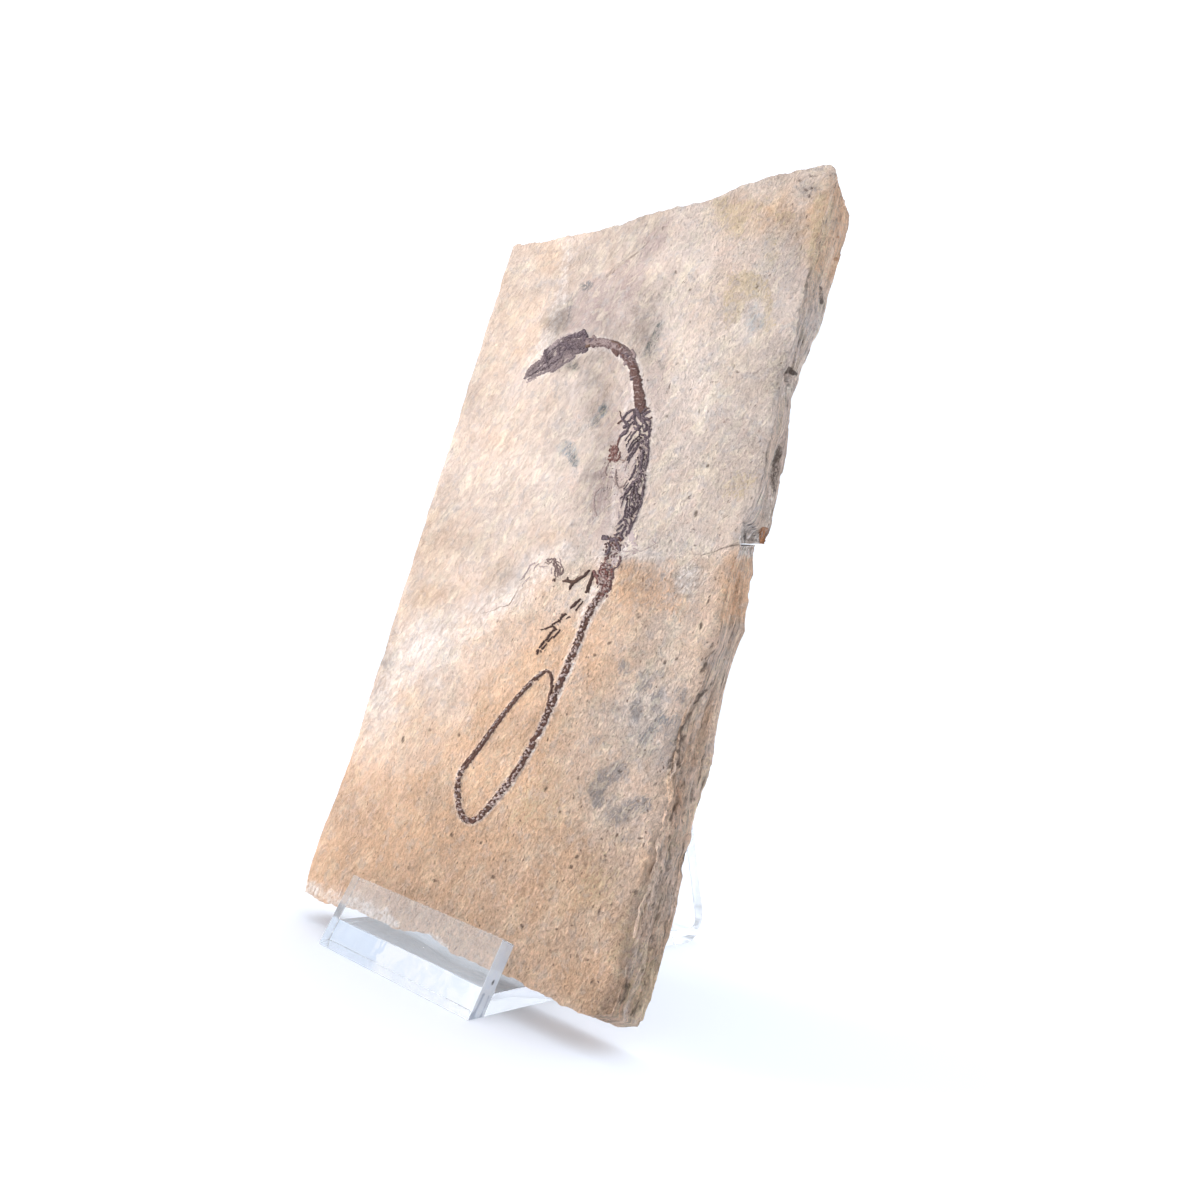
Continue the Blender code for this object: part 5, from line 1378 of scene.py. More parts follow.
NECK_STROKES = [
    S([(588.5, 343, 4.6), (596, 342.4, 4.3), (604, 342.7, 4.3), (610, 344.2, 4.7),
       (615, 345.6, 4.9), (619, 348, 4.8)], 0.40, MAUVE),
    S([(619, 347.6, 4.6), (624, 351.5, 5.3), (628, 356, 5.8), (630.6, 361, 5.2),
       (633, 366, 4.6)], 0.46, (0.35, 0.1, 0.10)),
    S([(633, 366, 4.4), (634.3, 371, 4.6), (633.6, 376, 4.0)], 0.46, UMBER),
    S([(632, 376, 2.2), (631.8, 378.6, 1.9)], 0.42, DARK),
    S([(637.2, 377.2, 3.4), (637, 384, 4.4), (638, 390, 4.8), (639, 397, 5.2),
       (639.6, 403, 5.6), (640.5, 408, 5.6)], 0.46, UMBER),
    S([(592, 338.5, 1.6), (594, 337.2, 2.2), (596, 338.8, 1.4)], 0.36, MAUVE),
    S([(614, 350.5, 2.2), (616.6, 353, 3.2), (616.6, 355.6, 1.6)], 0.36, UMBER),
    S([(593, 340.5, 1.6), (590.5, 342.5, 1.6)], 0.50, DARK),
    S([(611, 341.5, 1.2), (618, 343.8, 1.4), (622, 346, 1.4)], 0.46, BROWN),
    S([(622.5, 356, 2.4), (626, 354, 2.0), (629, 357, 2.2)], 0.52, DARK),
    S([(632, 350.5, 1.4), (634.5, 354, 1.6), (634, 357.5, 1.6)], 0.40, MAUVE),
    S([(624.5, 364, 1.4), (627.5, 362.5, 1.8)], 0.40, MAUVE),
    S([(643, 405, 1.4), (647.5, 408.3, 0.8)], 0.34, BROWN),
] + crumbs([(588, 339), (604, 338), (616, 341), (622, 347), (616, 351), (604, 347),
            (589, 348)], 46, 0.8, (0.3, 0.2, 0.02), 0.52, 31, (0.98, 0.2)) \
  + crumbs([(617, 344), (624, 347), (632, 356), (637, 366), (638, 376), (630, 376),
            (627, 364), (621, 355)], 44, 0.85, (0.6, 0.3, -0.15), 0.58, 32, (0.6, 0.8)) \
  + crumbs([(633, 380), (642, 380), (646, 400), (647, 410), (635, 408), (633, 394)], 44, 0.85,
           (0.6, 0.3, -0.15), 0.58, 33) + [
    S([(x - dx, y - dy, 0.55), (x + dx, y + dy, 0.50)], 0.74, (0.3, 0.2, 0.62))
    for x, y, dx, dy in ((622, 349.6, 1.8, -1.6), (626.4, 354, 2.0, -1.4), (629.4, 358.6, 2.0, -1.0),
                         (630.8, 363, 1.6, -0.6), (633.6, 369.6, 2.2, -0.4), (634.4, 377.6, 3.0, -0.8),
                         (637.2, 386, 2.2, -0.2), (637.8, 392.6, 1.6, 0.0), (639, 399.4, 2.0, 0.0),
                         (617.6, 346.6, 1.2, -1.4), (611, 344, 0.6, -1.8), (640.4, 405, 1.2, 0.0))]

SHOULDER_STROKES = [
    S([(637, 409, 1.3), (632, 409.5, 1.1), (628, 412.5, 1.1), (624.5, 416, 1.4),
       (622, 419, 1.9)], 0.50),
    S([(619.8, 411, 0.6), (620.3, 415, 0.8), (621.5, 418.5, 1.2)], 0.34, UMBER),
    S([(622, 420, 1.2), (619.5, 422, 0.9), (617.5, 423.6, 0.7)], 0.34, UMBER),
    S([(622, 419, 1.6), (625, 422, 1.9), (627, 424.6, 2.0), (623.6, 427, 2.0)], 0.50),
    S([(633, 410, 1.4), (634.6, 414, 2.2), (633.2, 418, 2.0), (635, 421.4, 1.6),
       (636.8, 425, 1.4), (640, 426, 1.4)], 0.54),
    S([(626, 421.5, 1.4), (630, 420, 0.9), (632, 416, 1.0)], 0.42),
    S([(637, 411, 3.2), (638.4, 415, 3.0), (640, 418, 2.4), (643, 421.6, 2.4)], 0.56),
    S([(642, 416, 1.7), (645, 413, 1.6), (649.5, 410.5, 0.8)], 0.50),
    S([(641, 413, 0.8), (645, 408.8, 0.8), (648.6, 408, 0.7)], 0.40),
    S([(643, 418, 2.2), (647, 419, 1.8), (650, 421, 1.2), (650.2, 426, 0.9)], 0.50),
    S([(649, 419, 0.9), (652, 416.6, 0.6)], 0.32, UMBER),
    S([(644, 422, 1.6), (646.4, 425, 1.4), (645.6, 429, 2.2), (644, 430.4, 1.6)], 0.54),
    S([(641, 426, 1.2), (637, 429, 1.8), (634, 428, 1.2)], 0.50),
    S([(648.5, 426, 1.2), (649, 432, 1.6), (648.4, 436, 1.4)], 0.46),
    S([(651.2, 428.4, 0.6), (649.6, 431, 0.8)], 0.34),
    S([(634, 424, 1.0), (631, 423, 0.8), (629, 426, 1.0)], 0.44),
    S([(632, 423, 0.8), (634.6, 419.6, 0.8)], 0.42),
    S([(628, 427, 1.3), (626.5, 430.6, 1.4), (624, 432.6, 2.5), (621.4, 434.6, 1.8),
       (619.8, 436.6, 1.2)], 0.50),
    S([(640, 430, 1.0), (639, 434, 1.2), (644, 435, 1.4), (647, 437, 1.4)], 0.48),
    S([(642, 424, 0.6), (643, 432, 0.6)], 0.34),
    S([(636, 412, 0.8), (630, 419, 0.5)], 0.30, LILAC),
]

def finer(strokes, by):
    return [([(x, y, h * by) for x, y, h in pts], high, stain) for pts, high, stain in strokes]


TRUNK_STROKES = [
    # left border and the stained patch beside it
    S([(619.5, 437, 0.9), (618, 441, 1.0), (617, 446, 1.4), (616.5, 452, 1.7)], 0.36,
      (0.5, 0.6, 0.0)),
    S([(614, 446, 2.4), (613, 450, 3.8), (613.6, 455, 4.8), (614, 458, 4.6)], 0.14,
      (0.5, 1.0, 0.34)),
    S([(609, 454.5, 1.0), (612, 452.5, 0.8), (616, 453, 1.0)], 0.22, RED),
    S([(608.6, 459.6, 0.9), (613, 459, 1.1), (617, 460.2, 1.2), (619.8, 457, 1.1),
       (619.6, 452, 1.0)], 0.30, (0.5, 0.7, 0.0)),
    S([(620, 459.4, 0.8), (624, 460.2, 0.8), (627.4, 456, 1.0)], 0.22, (0.8, 0, 0.45)),
    # upper ribs
    S([(631, 431.5, 0.65), (628, 436, 0.6), (625, 440.5, 0.5)], 0.34),
    S([(634.6, 431.5, 0.65), (630.6, 437, 0.65), (627.6, 442, 0.6), (625.4, 446.6, 0.5)], 0.38),
    S([(636, 430.6, 0.6), (632.4, 435, 0.55), (629.4, 439.6, 0.5)], 0.32),
    S([(639, 436, 0.85), (633.6, 440, 0.75), (630, 445, 0.75), (627.6, 450, 0.8)], 0.42),
    S([(639.4, 438.6, 0.9), (635, 442.6, 0.8), (631, 447.6, 0.9), (628, 452, 1.2)], 0.44),
    S([(639.4, 441.4, 0.8), (635.6, 447, 1.2), (633, 450.4, 1.4), (630, 455, 1.2),
       (627, 460, 0.7)], 0.46),
    S([(638.6, 444.6, 0.6), (636, 449, 0.7), (633, 453.6, 1.0), (629.6, 458.6, 0.8),
       (628, 463, 0.5)], 0.40),
    S([(634.4, 449, 2.2), (632, 452.6, 2.4), (629.6, 456, 1.8)], 0.24, (0.3, 0, 0.30)),
    S([(637.6, 458, 0.45), (634, 462.6, 0.45), (631.6, 467, 0.4)], 0.18, LILAC),
    S([(626.2, 462, 0.6), (625.6, 467, 0.7), (624.4, 470, 0.5)], 0.20, GHOST),
    # backbone
    S([(645, 437, 1.8), (646.6, 441, 2.4), (646, 445, 2.0), (648, 448, 0.9)], 0.52),
    S([(643, 440, 1.4), (641, 443, 1.0)], 0.42),
    S([(648, 440, 0.9), (648.3, 452, 0.8), (647.6, 460, 0.9), (645.6, 466, 1.0),
       (645, 470, 0.8)], 0.42),
    S([(641, 449.6, 1.5), (645, 449, 1.5), (648, 449.6, 0.8)], 0.46),
    S([(643, 450, 2.0), (642, 456, 2.2), (641, 462, 1.9), (640.4, 468, 1.9),
       (641, 473, 1.6)], 0.54),
    S([(646.5, 456, 0.7), (645, 461, 0.7), (643.6, 466, 0.7), (643.4, 471, 0.7)], 0.40),
    S([(637.4, 467, 0.8), (639.4, 462.6, 0.8)], 0.36),
    S([(642, 472, 1.6), (643.6, 476, 1.2), (644.6, 480, 0.8)], 0.48),
    S([(635.4, 465, 1.0), (634, 470, 1.5), (632, 475, 1.2), (629, 480, 0.8)], 0.48),
    S([(639, 474, 1.0), (638.6, 478, 1.0), (635.4, 480, 1.0)], 0.44),
    S([(641, 475, 1.0), (638.4, 480, 1.5), (633.4, 482, 2.1), (631.4, 486, 1.9)], 0.52),
    S([(631.4, 485.6, 1.5), (628, 490.4, 1.5), (625.4, 494, 1.3), (623.2, 497.8, 0.8)], 0.54),
    S([(640.4, 480, 1.7), (639, 484, 1.7), (637, 487, 1.5)], 0.50),
    S([(633.4, 484, 1.5), (634, 488, 1.3), (632, 493, 1.9), (631.2, 498, 1.9),
       (632, 501.4, 1.7)], 0.54),
    S([(636.6, 488, 1.7), (636, 492, 1.4), (638, 496, 1.7), (639, 500, 1.5),
       (637, 503, 1.4)], 0.52),
    S([(635, 494, 0.6), (635.6, 499, 0.6), (634.4, 503, 0.7)], 0.36),
    # right border, a long thin double line
    S([(644.6, 480, 0.7), (643.6, 486, 1.4), (642.6, 492, 1.6), (641.6, 498, 1.4),
       (641, 503, 1.0), (639.6, 508, 0.8), (636.6, 513, 0.8), (635.6, 518, 0.8),
       (634, 522, 0.8)], 0.46),
    S([(640.6, 502.6, 0.5), (637.6, 508, 0.5), (634, 512.6, 0.6), (631.4, 517, 0.6)], 0.36),
    S([(638.6, 503.6, 0.5), (635.2, 508.8, 0.5), (632.4, 512.6, 0.5)], 0.32),
    # ribs on the left, lower down
    S([(627.6, 490.8, 0.5), (624, 495.6, 0.6), (619.8, 498.8, 0.6)], 0.34),
    S([(630.6, 484, 0.5), (627, 488.6, 0.5), (623.6, 490.6, 0.45)], 0.30),
    S([(628.6, 482.4, 0.5), (626, 486, 0.6), (623, 489, 0.5)], 0.30),
    S([(631.4, 493.4, 0.6), (628.4, 495.6, 0.6), (626.4, 498, 0.6)], 0.36),
    S([(623.8, 498, 0.8), (622, 503, 0.6), (620.4, 508, 0.5)], 0.32),
    S([(626, 498, 0.8), (627, 502, 1.0), (626, 507, 1.5), (625, 511, 1.0)], 0.46),
    S([(629, 498, 0.5), (629.6, 503, 0.6), (628.8, 507, 0.6)], 0.36),
    S([(632, 506.6, 1.9), (629, 508.4, 1.3), (627.6, 512, 2.1), (627, 516.4, 1.9)], 0.54),
    S([(633.4, 503, 0.8), (635, 506, 0.8), (633, 510, 1.0)], 0.44),
    S([(631.4, 512, 1.4), (630, 516, 1.2)], 0.48),
    S([(625, 512, 1.0), (624.4, 516, 1.1), (622, 520, 1.3), (618.8, 523.8, 0.8)], 0.44),
    S([(618.6, 512, 0.9), (618.2, 517, 0.9)], 0.20, LILAC),
    S([(618, 523, 0.6), (616, 527, 0.5)], 0.18, LILAC),
    S([(625, 520, 1.2), (626.6, 524, 2.0), (624.6, 527, 1.0)], 0.52),
    S([(630.6, 519, 0.8), (631, 523, 1.7), (629.6, 529, 1.7), (628.4, 533, 1.3)], 0.50),
    S([(635, 517, 0.7), (633, 523, 0.8), (630.6, 530, 0.6)], 0.38),
    S([(622.6, 524.6, 0.8), (619, 528.4, 1.0), (616.4, 530.6, 0.8)], 0.42),
    S([(624.6, 528, 1.5), (622, 532, 1.7), (621, 536, 2.1), (622.6, 538.4, 1.7)], 0.50),
    S([(627, 531, 1.2), (625.6, 536, 1.0)], 0.42),
    S([(620.4, 532.8, 0.6), (617.4, 534, 0.8), (615, 536, 0.6)], 0.40),
    S([(637, 535.6, 0.7), (636, 540, 0.9)], 0.22, GHOST),
    # gut loop and scattered scraps
    S([(616, 471, 1.0), (615.4, 475, 1.1), (615.6, 480, 1.0), (617, 485, 1.0),
       (618.6, 488, 0.9), (620.6, 487, 1.0), (622.6, 486, 1.1), (625, 484, 0.8),
       (626.6, 480, 0.6)], 0.26, (0.5, 0.0, 0.35)),
    S([(612.6, 479.6, 0.6), (615, 483.4, 0.6)], 0.18, GHOST),
    S([(608.6, 463, 0.7), (606.6, 467, 1.0), (605, 471, 1.2), (606.6, 475, 0.8)], 0.24,
      (0.4, 0.2, 0.30)),
    S([(609.6, 465, 0.9), (610.6, 466, 0.9)], 0.20, GHOST),
    S([(611.6, 471, 1.2), (612.6, 473, 1.2)], 0.22, GHOST),
    S([(611.4, 476.6, 1.5), (608.4, 477.2, 0.8)], 0.24, (0.3, 0.0, 0.40)),
    S([(604.4, 477, 0.8), (602.6, 478.6, 0.8)], 0.18, GHOST),
    S([(599.4, 472, 0.9), (599.6, 473, 0.9)], 0.18, GHOST),
    S([(601, 488, 0.7), (598, 490, 0.9), (595.6, 493, 1.0), (594.6, 497, 0.9),
       (594, 502, 1.1), (594.2, 507, 1.4), (595, 511, 1.1), (596.6, 515, 1.1)], 0.20,
      (0.4, 0.0, 0.50)),
    S([(600.8, 492, 0.5), (599.6, 500, 0.5)], 0.14, GHOST),
    S([(638, 468, 0.7), (637, 473, 0.6), (634, 478, 0.6)], 0.30, LILAC),
    S([(640, 452, 0.6), (637, 458, 0.6), (634.6, 463, 0.5)], 0.22, LILAC),
    S([(628, 530, 2.2), (631, 536, 3.0), (633, 543, 3.0)], 0.05, (0.0, 0.0, 0.90)),
] + crumbs([(609, 446), (617, 442), (619, 452), (618, 461), (608, 462), (607, 453)], 48, 0.7,
           (0.5, 0.85, -0.25), 0.30, 21) \
  + crumbs([(604, 462), (622, 461), (634, 470), (634, 484), (622, 500), (606, 498),
            (600, 480)], 60, 0.38, (0.3, 0.2, 0.30), 0.18, 22) \
  + crumbs([(636, 436), (648, 438), (648, 470), (642, 500), (634, 522), (624, 530),
            (626, 500), (634, 470)], 64, 0.44, (0.3, 0.1, -0.50), 0.80, 23) \
  + crumbs([(640, 436), (648, 438), (648, 466), (642, 500), (634, 522), (626, 530),
            (628, 500), (638, 462)], 96, 0.42, (0.2, 0.1, 0.95), 0.78, 24)

PELVIS_STROKES = [
    S([(603.4, 537.6, 2.5), (607, 538, 2.3)], 0.48),
    S([(611, 539.8, 2.1), (615, 539.2, 2.0), (619, 539.8, 1.0)], 0.46),
    S([(608, 543.4, 0.8), (609.6, 546.6, 1.0), (609, 550, 1.3), (607, 553.4, 1.2),
       (604.6, 554.6, 1.1)], 0.44),
    S([(616, 542, 1.4), (618, 545, 1.6), (618.6, 548, 1.6), (620, 550.6, 0.8)], 0.42),
    S([(613, 545, 0.6), (616, 548.4, 0.8), (619, 552.4, 0.8)], 0.32, LILAC),
    S([(611, 551.2, 0.6), (615.6, 552.4, 0.6)], 0.28, LILAC),
    S([(622, 544, 0.7), (624, 547, 0.9), (622, 549.2, 0.6)], 0.26, LILAC),
    S([(625.6, 543, 0.6), (626.6, 546, 0.6)], 0.22, GHOST),
    S([(622, 550.8, 0.5), (628, 551.2, 0.45), (636, 550.7, 0.45), (641, 551, 0.4),
       (646, 549, 0.4), (649, 546.6, 0.4)], 0.12, GHOST),
    S([(634, 543, 0.8), (636.6, 545.4, 0.8)], 0.18, GHOST),
    S([(636.4, 549, 0.7), (633.6, 548.2, 0.7)], 0.18, GHOST),
    S([(652.4, 541, 0.7), (654.6, 542.6, 0.8)], 0.16, GHOST),
    S([(627, 555, 0.7), (623.6, 557.2, 0.6)], 0.16, GHOST),
    S([(632.6, 553, 0.7), (635, 553, 0.7)], 0.16, GHOST),
    S([(620, 556, 0.9), (620.6, 560, 0.7), (618.4, 564, 0.9), (617, 567.2, 0.8),
       (613, 568.6, 0.8), (612, 572, 1.4), (613, 577, 1.4), (611, 579.2, 1.0)], 0.40,
      (0.3, 0.3, 0.05)),
    S([(612, 556, 1.6), (615, 560, 2.4), (613, 565, 2.2)], 0.05, (0.0, 0.0, 0.85)),
    S([(607.6, 557.4, 0.7), (606, 561, 1.0), (603.6, 565, 1.4), (606, 568, 1.6)], 0.38,
      (0.4, 0.4, 0.0)),
    S([(603, 566, 2.2), (602, 572, 3.0), (604, 578, 3.6), (605, 585, 2.6),
       (604, 592, 2.0)], 0.08, (0.4, 0.6, 0.84)),
    S([(602, 568, 1.8), (600.8, 573, 1.8), (604, 577, 2.0), (607, 572.4, 1.6),
       (604.6, 569.8, 1.2)], 0.42, (0.4, 0.8, 0.0)),
    S([(593.6, 571.6, 1.4), (595.4, 575.6, 1.6), (598.4, 580, 1.5), (600, 584, 1.0)], 0.42,
      (0.4, 0.6, 0.0)),
    S([(605, 577, 1.8), (608, 580, 1.6), (606, 584, 2.0), (603, 588, 1.8),
       (604, 592, 1.8), (602.6, 596, 1.4)], 0.44, (0.5, 0.6, 0.0)),
    S([(600.6, 586.6, 0.8), (602.6, 584, 0.8)], 0.34, (0.4, 0.5, 0.0)),
    S([(609.6, 582, 1.2), (611.4, 580.8, 0.7)], 0.34, (0.4, 0.6, 0.0)),
    S([(610, 572, 0.8), (609, 566, 0.7), (606, 563, 0.6)], 0.30, (0.3, 0.5, 0.1)),
] + crumbs([(600, 563), (607, 560), (612, 568), (613, 580), (610, 590), (606, 598),
            (599, 600), (598, 590), (595, 582), (595, 574), (598, 568)], 95, 0.85,
           (0.5, 0.75, -0.15), 0.40, 11) \
  + crumbs([(607, 536), (616, 534), (622, 538), (621, 548), (618, 556), (610, 560),
            (604, 562), (603, 552), (605, 543)], 60, 0.80, (0.5, 0.35, -0.15), 0.36, 17) \
  + crumbs([(600, 564), (607, 561), (611, 568), (612, 580), (609, 590), (605, 597),
            (600, 599), (598, 588), (597, 578)], 90, 0.56, (0.4, 0.4, 0.92), 0.78, 13) \
  + crumbs([(612, 557), (619, 556), (618, 566), (613, 572), (610, 566)], 12, 0.5,
           (0.3, 0.3, 0.35), 0.22, 12)

LEFT_LEG_STROKES = [
    S([(589.4, 570.4, 1.0), (586.6, 573.4, 1.3), (584, 576.4, 1.1), (580, 578.2, 1.5),
       (576, 581.6, 1.4)], 0.52, INK),
    S([(571.5, 581.5, 1.4), (572, 584.4, 1.9), (570.8, 587, 1.2), (570, 590, 0.45)], 0.52,
      INK),
    S([(563.4, 581.4, 1.0), (568, 580.8, 1.4), (572, 582, 1.6), (574, 581, 1.2)], 0.48, INK),
    S([(572, 582.6, 2.0), (575.4, 581, 1.8), (579, 578.8, 1.5)], 0.50, INK),
    S([(567.6, 579.4, 0.9), (568, 577, 0.45)], 0.34, INK),
    S([(563, 570.5, 0.9), (562.6, 573, 1.0), (560, 575, 0.8), (557.6, 575.6, 0.7),
       (557, 570, 0.8), (556.6, 566, 0.8), (553.6, 565.6, 0.9), (555, 561, 0.6)], 0.26,
      (0.5, 0.1, 0.18)),
    S([(561.6, 566, 0.7), (559.6, 569, 0.9), (560.4, 572.6, 0.7), (557.6, 577, 0.6)], 0.22,
      (0.5, 0.1, 0.30)),
    S([(552, 561.4, 0.6), (549.4, 564, 0.5), (545.6, 562.8, 0.5)], 0.18, (0.5, 0.1, 0.34)),
    S([(563, 569, 0.7), (561, 563.4, 0.5), (557.4, 561.6, 0.6)], 0.20, (0.5, 0.1, 0.34)),
    S([(555.6, 578.4, 0.5), (552.6, 580.6, 0.6)], 0.18, (0.6, 0.1, 0.30)),
    S([(556, 563, 0.8), (557.6, 568, 0.9), (558.6, 572, 0.9), (561.6, 575, 0.7)], 0.26,
      (0.4, 0.1, 0.05)),
    S([(553, 560, 0.6), (556.6, 564, 0.6), (561, 568, 0.6)], 0.22, (0.4, 0.1, 0.15)),
    S([(548, 561.6, 0.5), (553, 563, 0.5), (556, 569, 0.6), (555, 574, 0.6),
       (556, 578, 0.7)], 0.22, (0.4, 0.1, 0.15)),
    S([(560, 558.5, 0.5), (561, 564.4, 0.5)], 0.14, GHOST),
    S([(547, 560.2, 0.8), (551, 559.2, 0.9), (555, 558.6, 0.9), (556.2, 562, 0.6)], 0.24,
      (0.4, 0.1, 0.25)),
    S([(540, 566.6, 0.5), (544, 567, 0.6), (548, 566, 0.5)], 0.15, GHOST),
    S([(552, 568, 0.4), (551.4, 574, 0.4)], 0.12, GHOST),
    S([(554.3, 580, 0.9), (554.8, 581, 0.9)], 0.30, (0.8, 0.0, -0.3)),
    S([(538.5, 564, 0.6), (535, 568, 0.6), (534, 571, 0.4)], 0.16, GHOST),
    S([(535, 563, 0.6), (530, 566, 0.6), (527, 572, 0.6), (523, 578, 0.6),
       (519.6, 580.4, 0.5)], 0.16, GHOST),
    S([(530, 577, 0.4), (525, 582, 0.4), (522, 587, 0.4)], 0.12, (0.2, 0, 0.85)),
]

RIGHT_LEG_STROKES = [
    S([(592.2, 573, 0.9), (592, 578, 1.4), (590, 583, 1.5), (587.6, 588, 1.5),
       (586, 592.6, 0.9)], 0.54, INK),
    S([(589.4, 588, 0.7), (588.8, 592.4, 0.5)], 0.36, INK),
    S([(580.6, 599.4, 0.9), (577, 602.4, 1.4), (574, 605.4, 1.4), (571.4, 608.2, 1.0)],
      0.52, INK),
    S([(583, 601.4, 0.4), (580, 605, 0.7), (576.4, 610.2, 0.8)], 0.40, INK),
    S([(566, 614, 1.0), (563, 615.6, 1.6), (561, 618.6, 1.0)], 0.46, INK),
    S([(569.6, 617.4, 0.8), (566, 619, 0.6)], 0.34, (0.8, 0.0, -0.3)),
    S([(561.6, 619.4, 0.8), (557, 622, 0.9), (553, 625, 0.8)], 0.42, INK),
    S([(560.6, 619.6, 0.4), (560.2, 623, 0.35)], 0.28, INK),
    S([(553, 625.4, 0.6), (553.8, 627, 0.9), (556.6, 629.6, 0.8)], 0.42, INK),
    S([(552, 626.4, 0.7), (548, 628.4, 0.8), (546, 629.6, 0.8), (544, 629.3, 0.5),
       (541, 630.1, 0.4)], 0.40, INK),
    S([(555, 630, 0.9), (551, 633.4, 0.9), (549, 637, 0.8), (546.4, 640.2, 0.7)], 0.46,
      INK),
    S([(544.6, 641.8, 0.8), (541, 646.4, 0.8), (539.8, 648.2, 0.6)], 0.46, INK),
    S([(538.4, 650.4, 0.9), (537.4, 654.2, 0.6)], 0.44, INK),
    S([(553, 637, 0.5), (549.6, 640.4, 0.7), (548, 642, 0.5)], 0.38, INK),
    S([(546.4, 644, 0.4), (542.6, 649.4, 0.8)], 0.38, INK),
    S([(540.8, 651.2, 0.8), (541.2, 651.8, 0.8)], 0.30, (0.8, 0.0, -0.2)),
    S([(560, 630.4, 0.7), (557.6, 634, 0.8), (554.4, 637.6, 0.7)], 0.40, INK),
    S([(557.6, 624, 0.8), (558, 624.6, 0.8)], 0.22, GHOST),
]


def tail_strokes():
    """Vertebrae as little blocks of grains set end to end along the centre line."""
    rng = np.random.default_rng(7)
    line = np.array(TAIL_LINE, float)
    seg = np.hypot(np.diff(line[:, 0]), np.diff(line[:, 1]))
    s = np.concatenate([[0], np.cumsum(seg)])
    total = s[-1]
    out = []

    def at_run(a):
        x, y, h = (np.interp(a, s, line[:, i]) for i in range(3))
        x2, y2 = (np.interp(a + 1.0, s, line[:, i]) for i in range(2))
        tx, ty = x2 - x, y2 - y
        n = max(math.hypot(tx, ty), 1e-6)
        return x, y, h, tx / n, ty / n

    def grain(a, off, long_, half, high, stain, lean=0.0):
        x, y, h, tx, ty = at_run(a)
        nx, ny = -ty, tx
        x, y = x + nx * off, y + ny * off
        dx, dy = tx * long_ + nx * lean, ty * long_ + ny * lean
        out.append(S([(x - dx, y - dy, half), (x + dx, y + dy, half * 0.9)], high, stain))

    at = 8.0
    while at < total - 0.5:
        h = at_run(at)[2]
        r = rng.random
        if h > 2.85:                      # blocks of grains, with light chips in them
            wide = h * 0.70
            block = 3.8 + 2.4 * r()
            shift = (r() - 0.5) * 0.26 * h
            red = 0.12 + 0.25 * r()
            grain(at + 0.5 * block, shift, 0.30 * block, 0.60 * wide, 0.30,
                  (0.9, red, -0.38 + 0.25 * r()))
            for k in (-1, 1):
                a = at - 0.3
                while a < at + block - 0.6:
                    step = 1.4 + 1.2 * r()
                    if r() > 0.30:
                        grain(a + 0.5 * step, k * 0.60 * wide + shift + (r() - 0.5) * 0.7,
                              step * 0.50, 0.70 + 0.45 * r(), 0.36 + 0.14 * r(),
                              (0.9, red, -0.42 + 0.35 * r()), (r() - 0.5) * 1.0)
                    a += step
            for _ in range(int(2 + 3.0 * r())):
                grain(at + block * r(), (r() - 0.5) * 1.70 * wide, 0.3 + 0.8 * r(),
                      0.50 + 0.34 * r(), 0.90, (0.3, 0.40, 1.0), (r() - 0.5) * 1.0)
            if r() > 0.55:                # a pale joint across the row
                k = 1 if r() > 0.5 else -1
                grain(at + block, k * 0.45 * wide, 0.1, 0.50, 0.88, (0.3, 0.3, 0.97),
                      0.34 * wide)
            at += block
        elif h > 1.55:                    # two thin rows with slits between them
            wide = h * 1.06
            block = 4.0 + 2.4 * r()
            red = 0.15 + 0.20 * r()
            for k in (-1, 1):
                if r() > 0.06:
                    grain(at + block * 0.45 + (r() - 0.5), k * 0.46 * wide, block * 0.38,
                          0.42 * wide + 0.2 * r(), 0.36 + 0.12 * r(),
                          (0.9, red, -0.35 + 0.4 * r()))
            if r() > 0.25:
                grain(at + block * (0.2 + 0.6 * r()), (r() - 0.5) * 0.5 * wide, 0.9 + 0.8 * r(),
                      0.44 + 0.20 * r(), 0.80, (0.3, 0.2, 0.92))
            at += block * 0.92
        else:                             # one file of lozenges
            block = 2.8 + 1.8 * r()
            grain(at + block * 0.42, (r() - 0.5) * 0.6, block * 0.30, h * 1.30,
                  0.34 + 0.10 * r(), (0.9, 0.2, -0.5 + 0.5 * r()))
            if r() > 0.3:
                grain(at + block * 0.9, (r() - 0.5) * 0.5, 0.6, h * 0.7, 0.24, (0.9, 0.2, 0.1))
            at += block
    return out


TAIL_STROKES = tail_strokes()


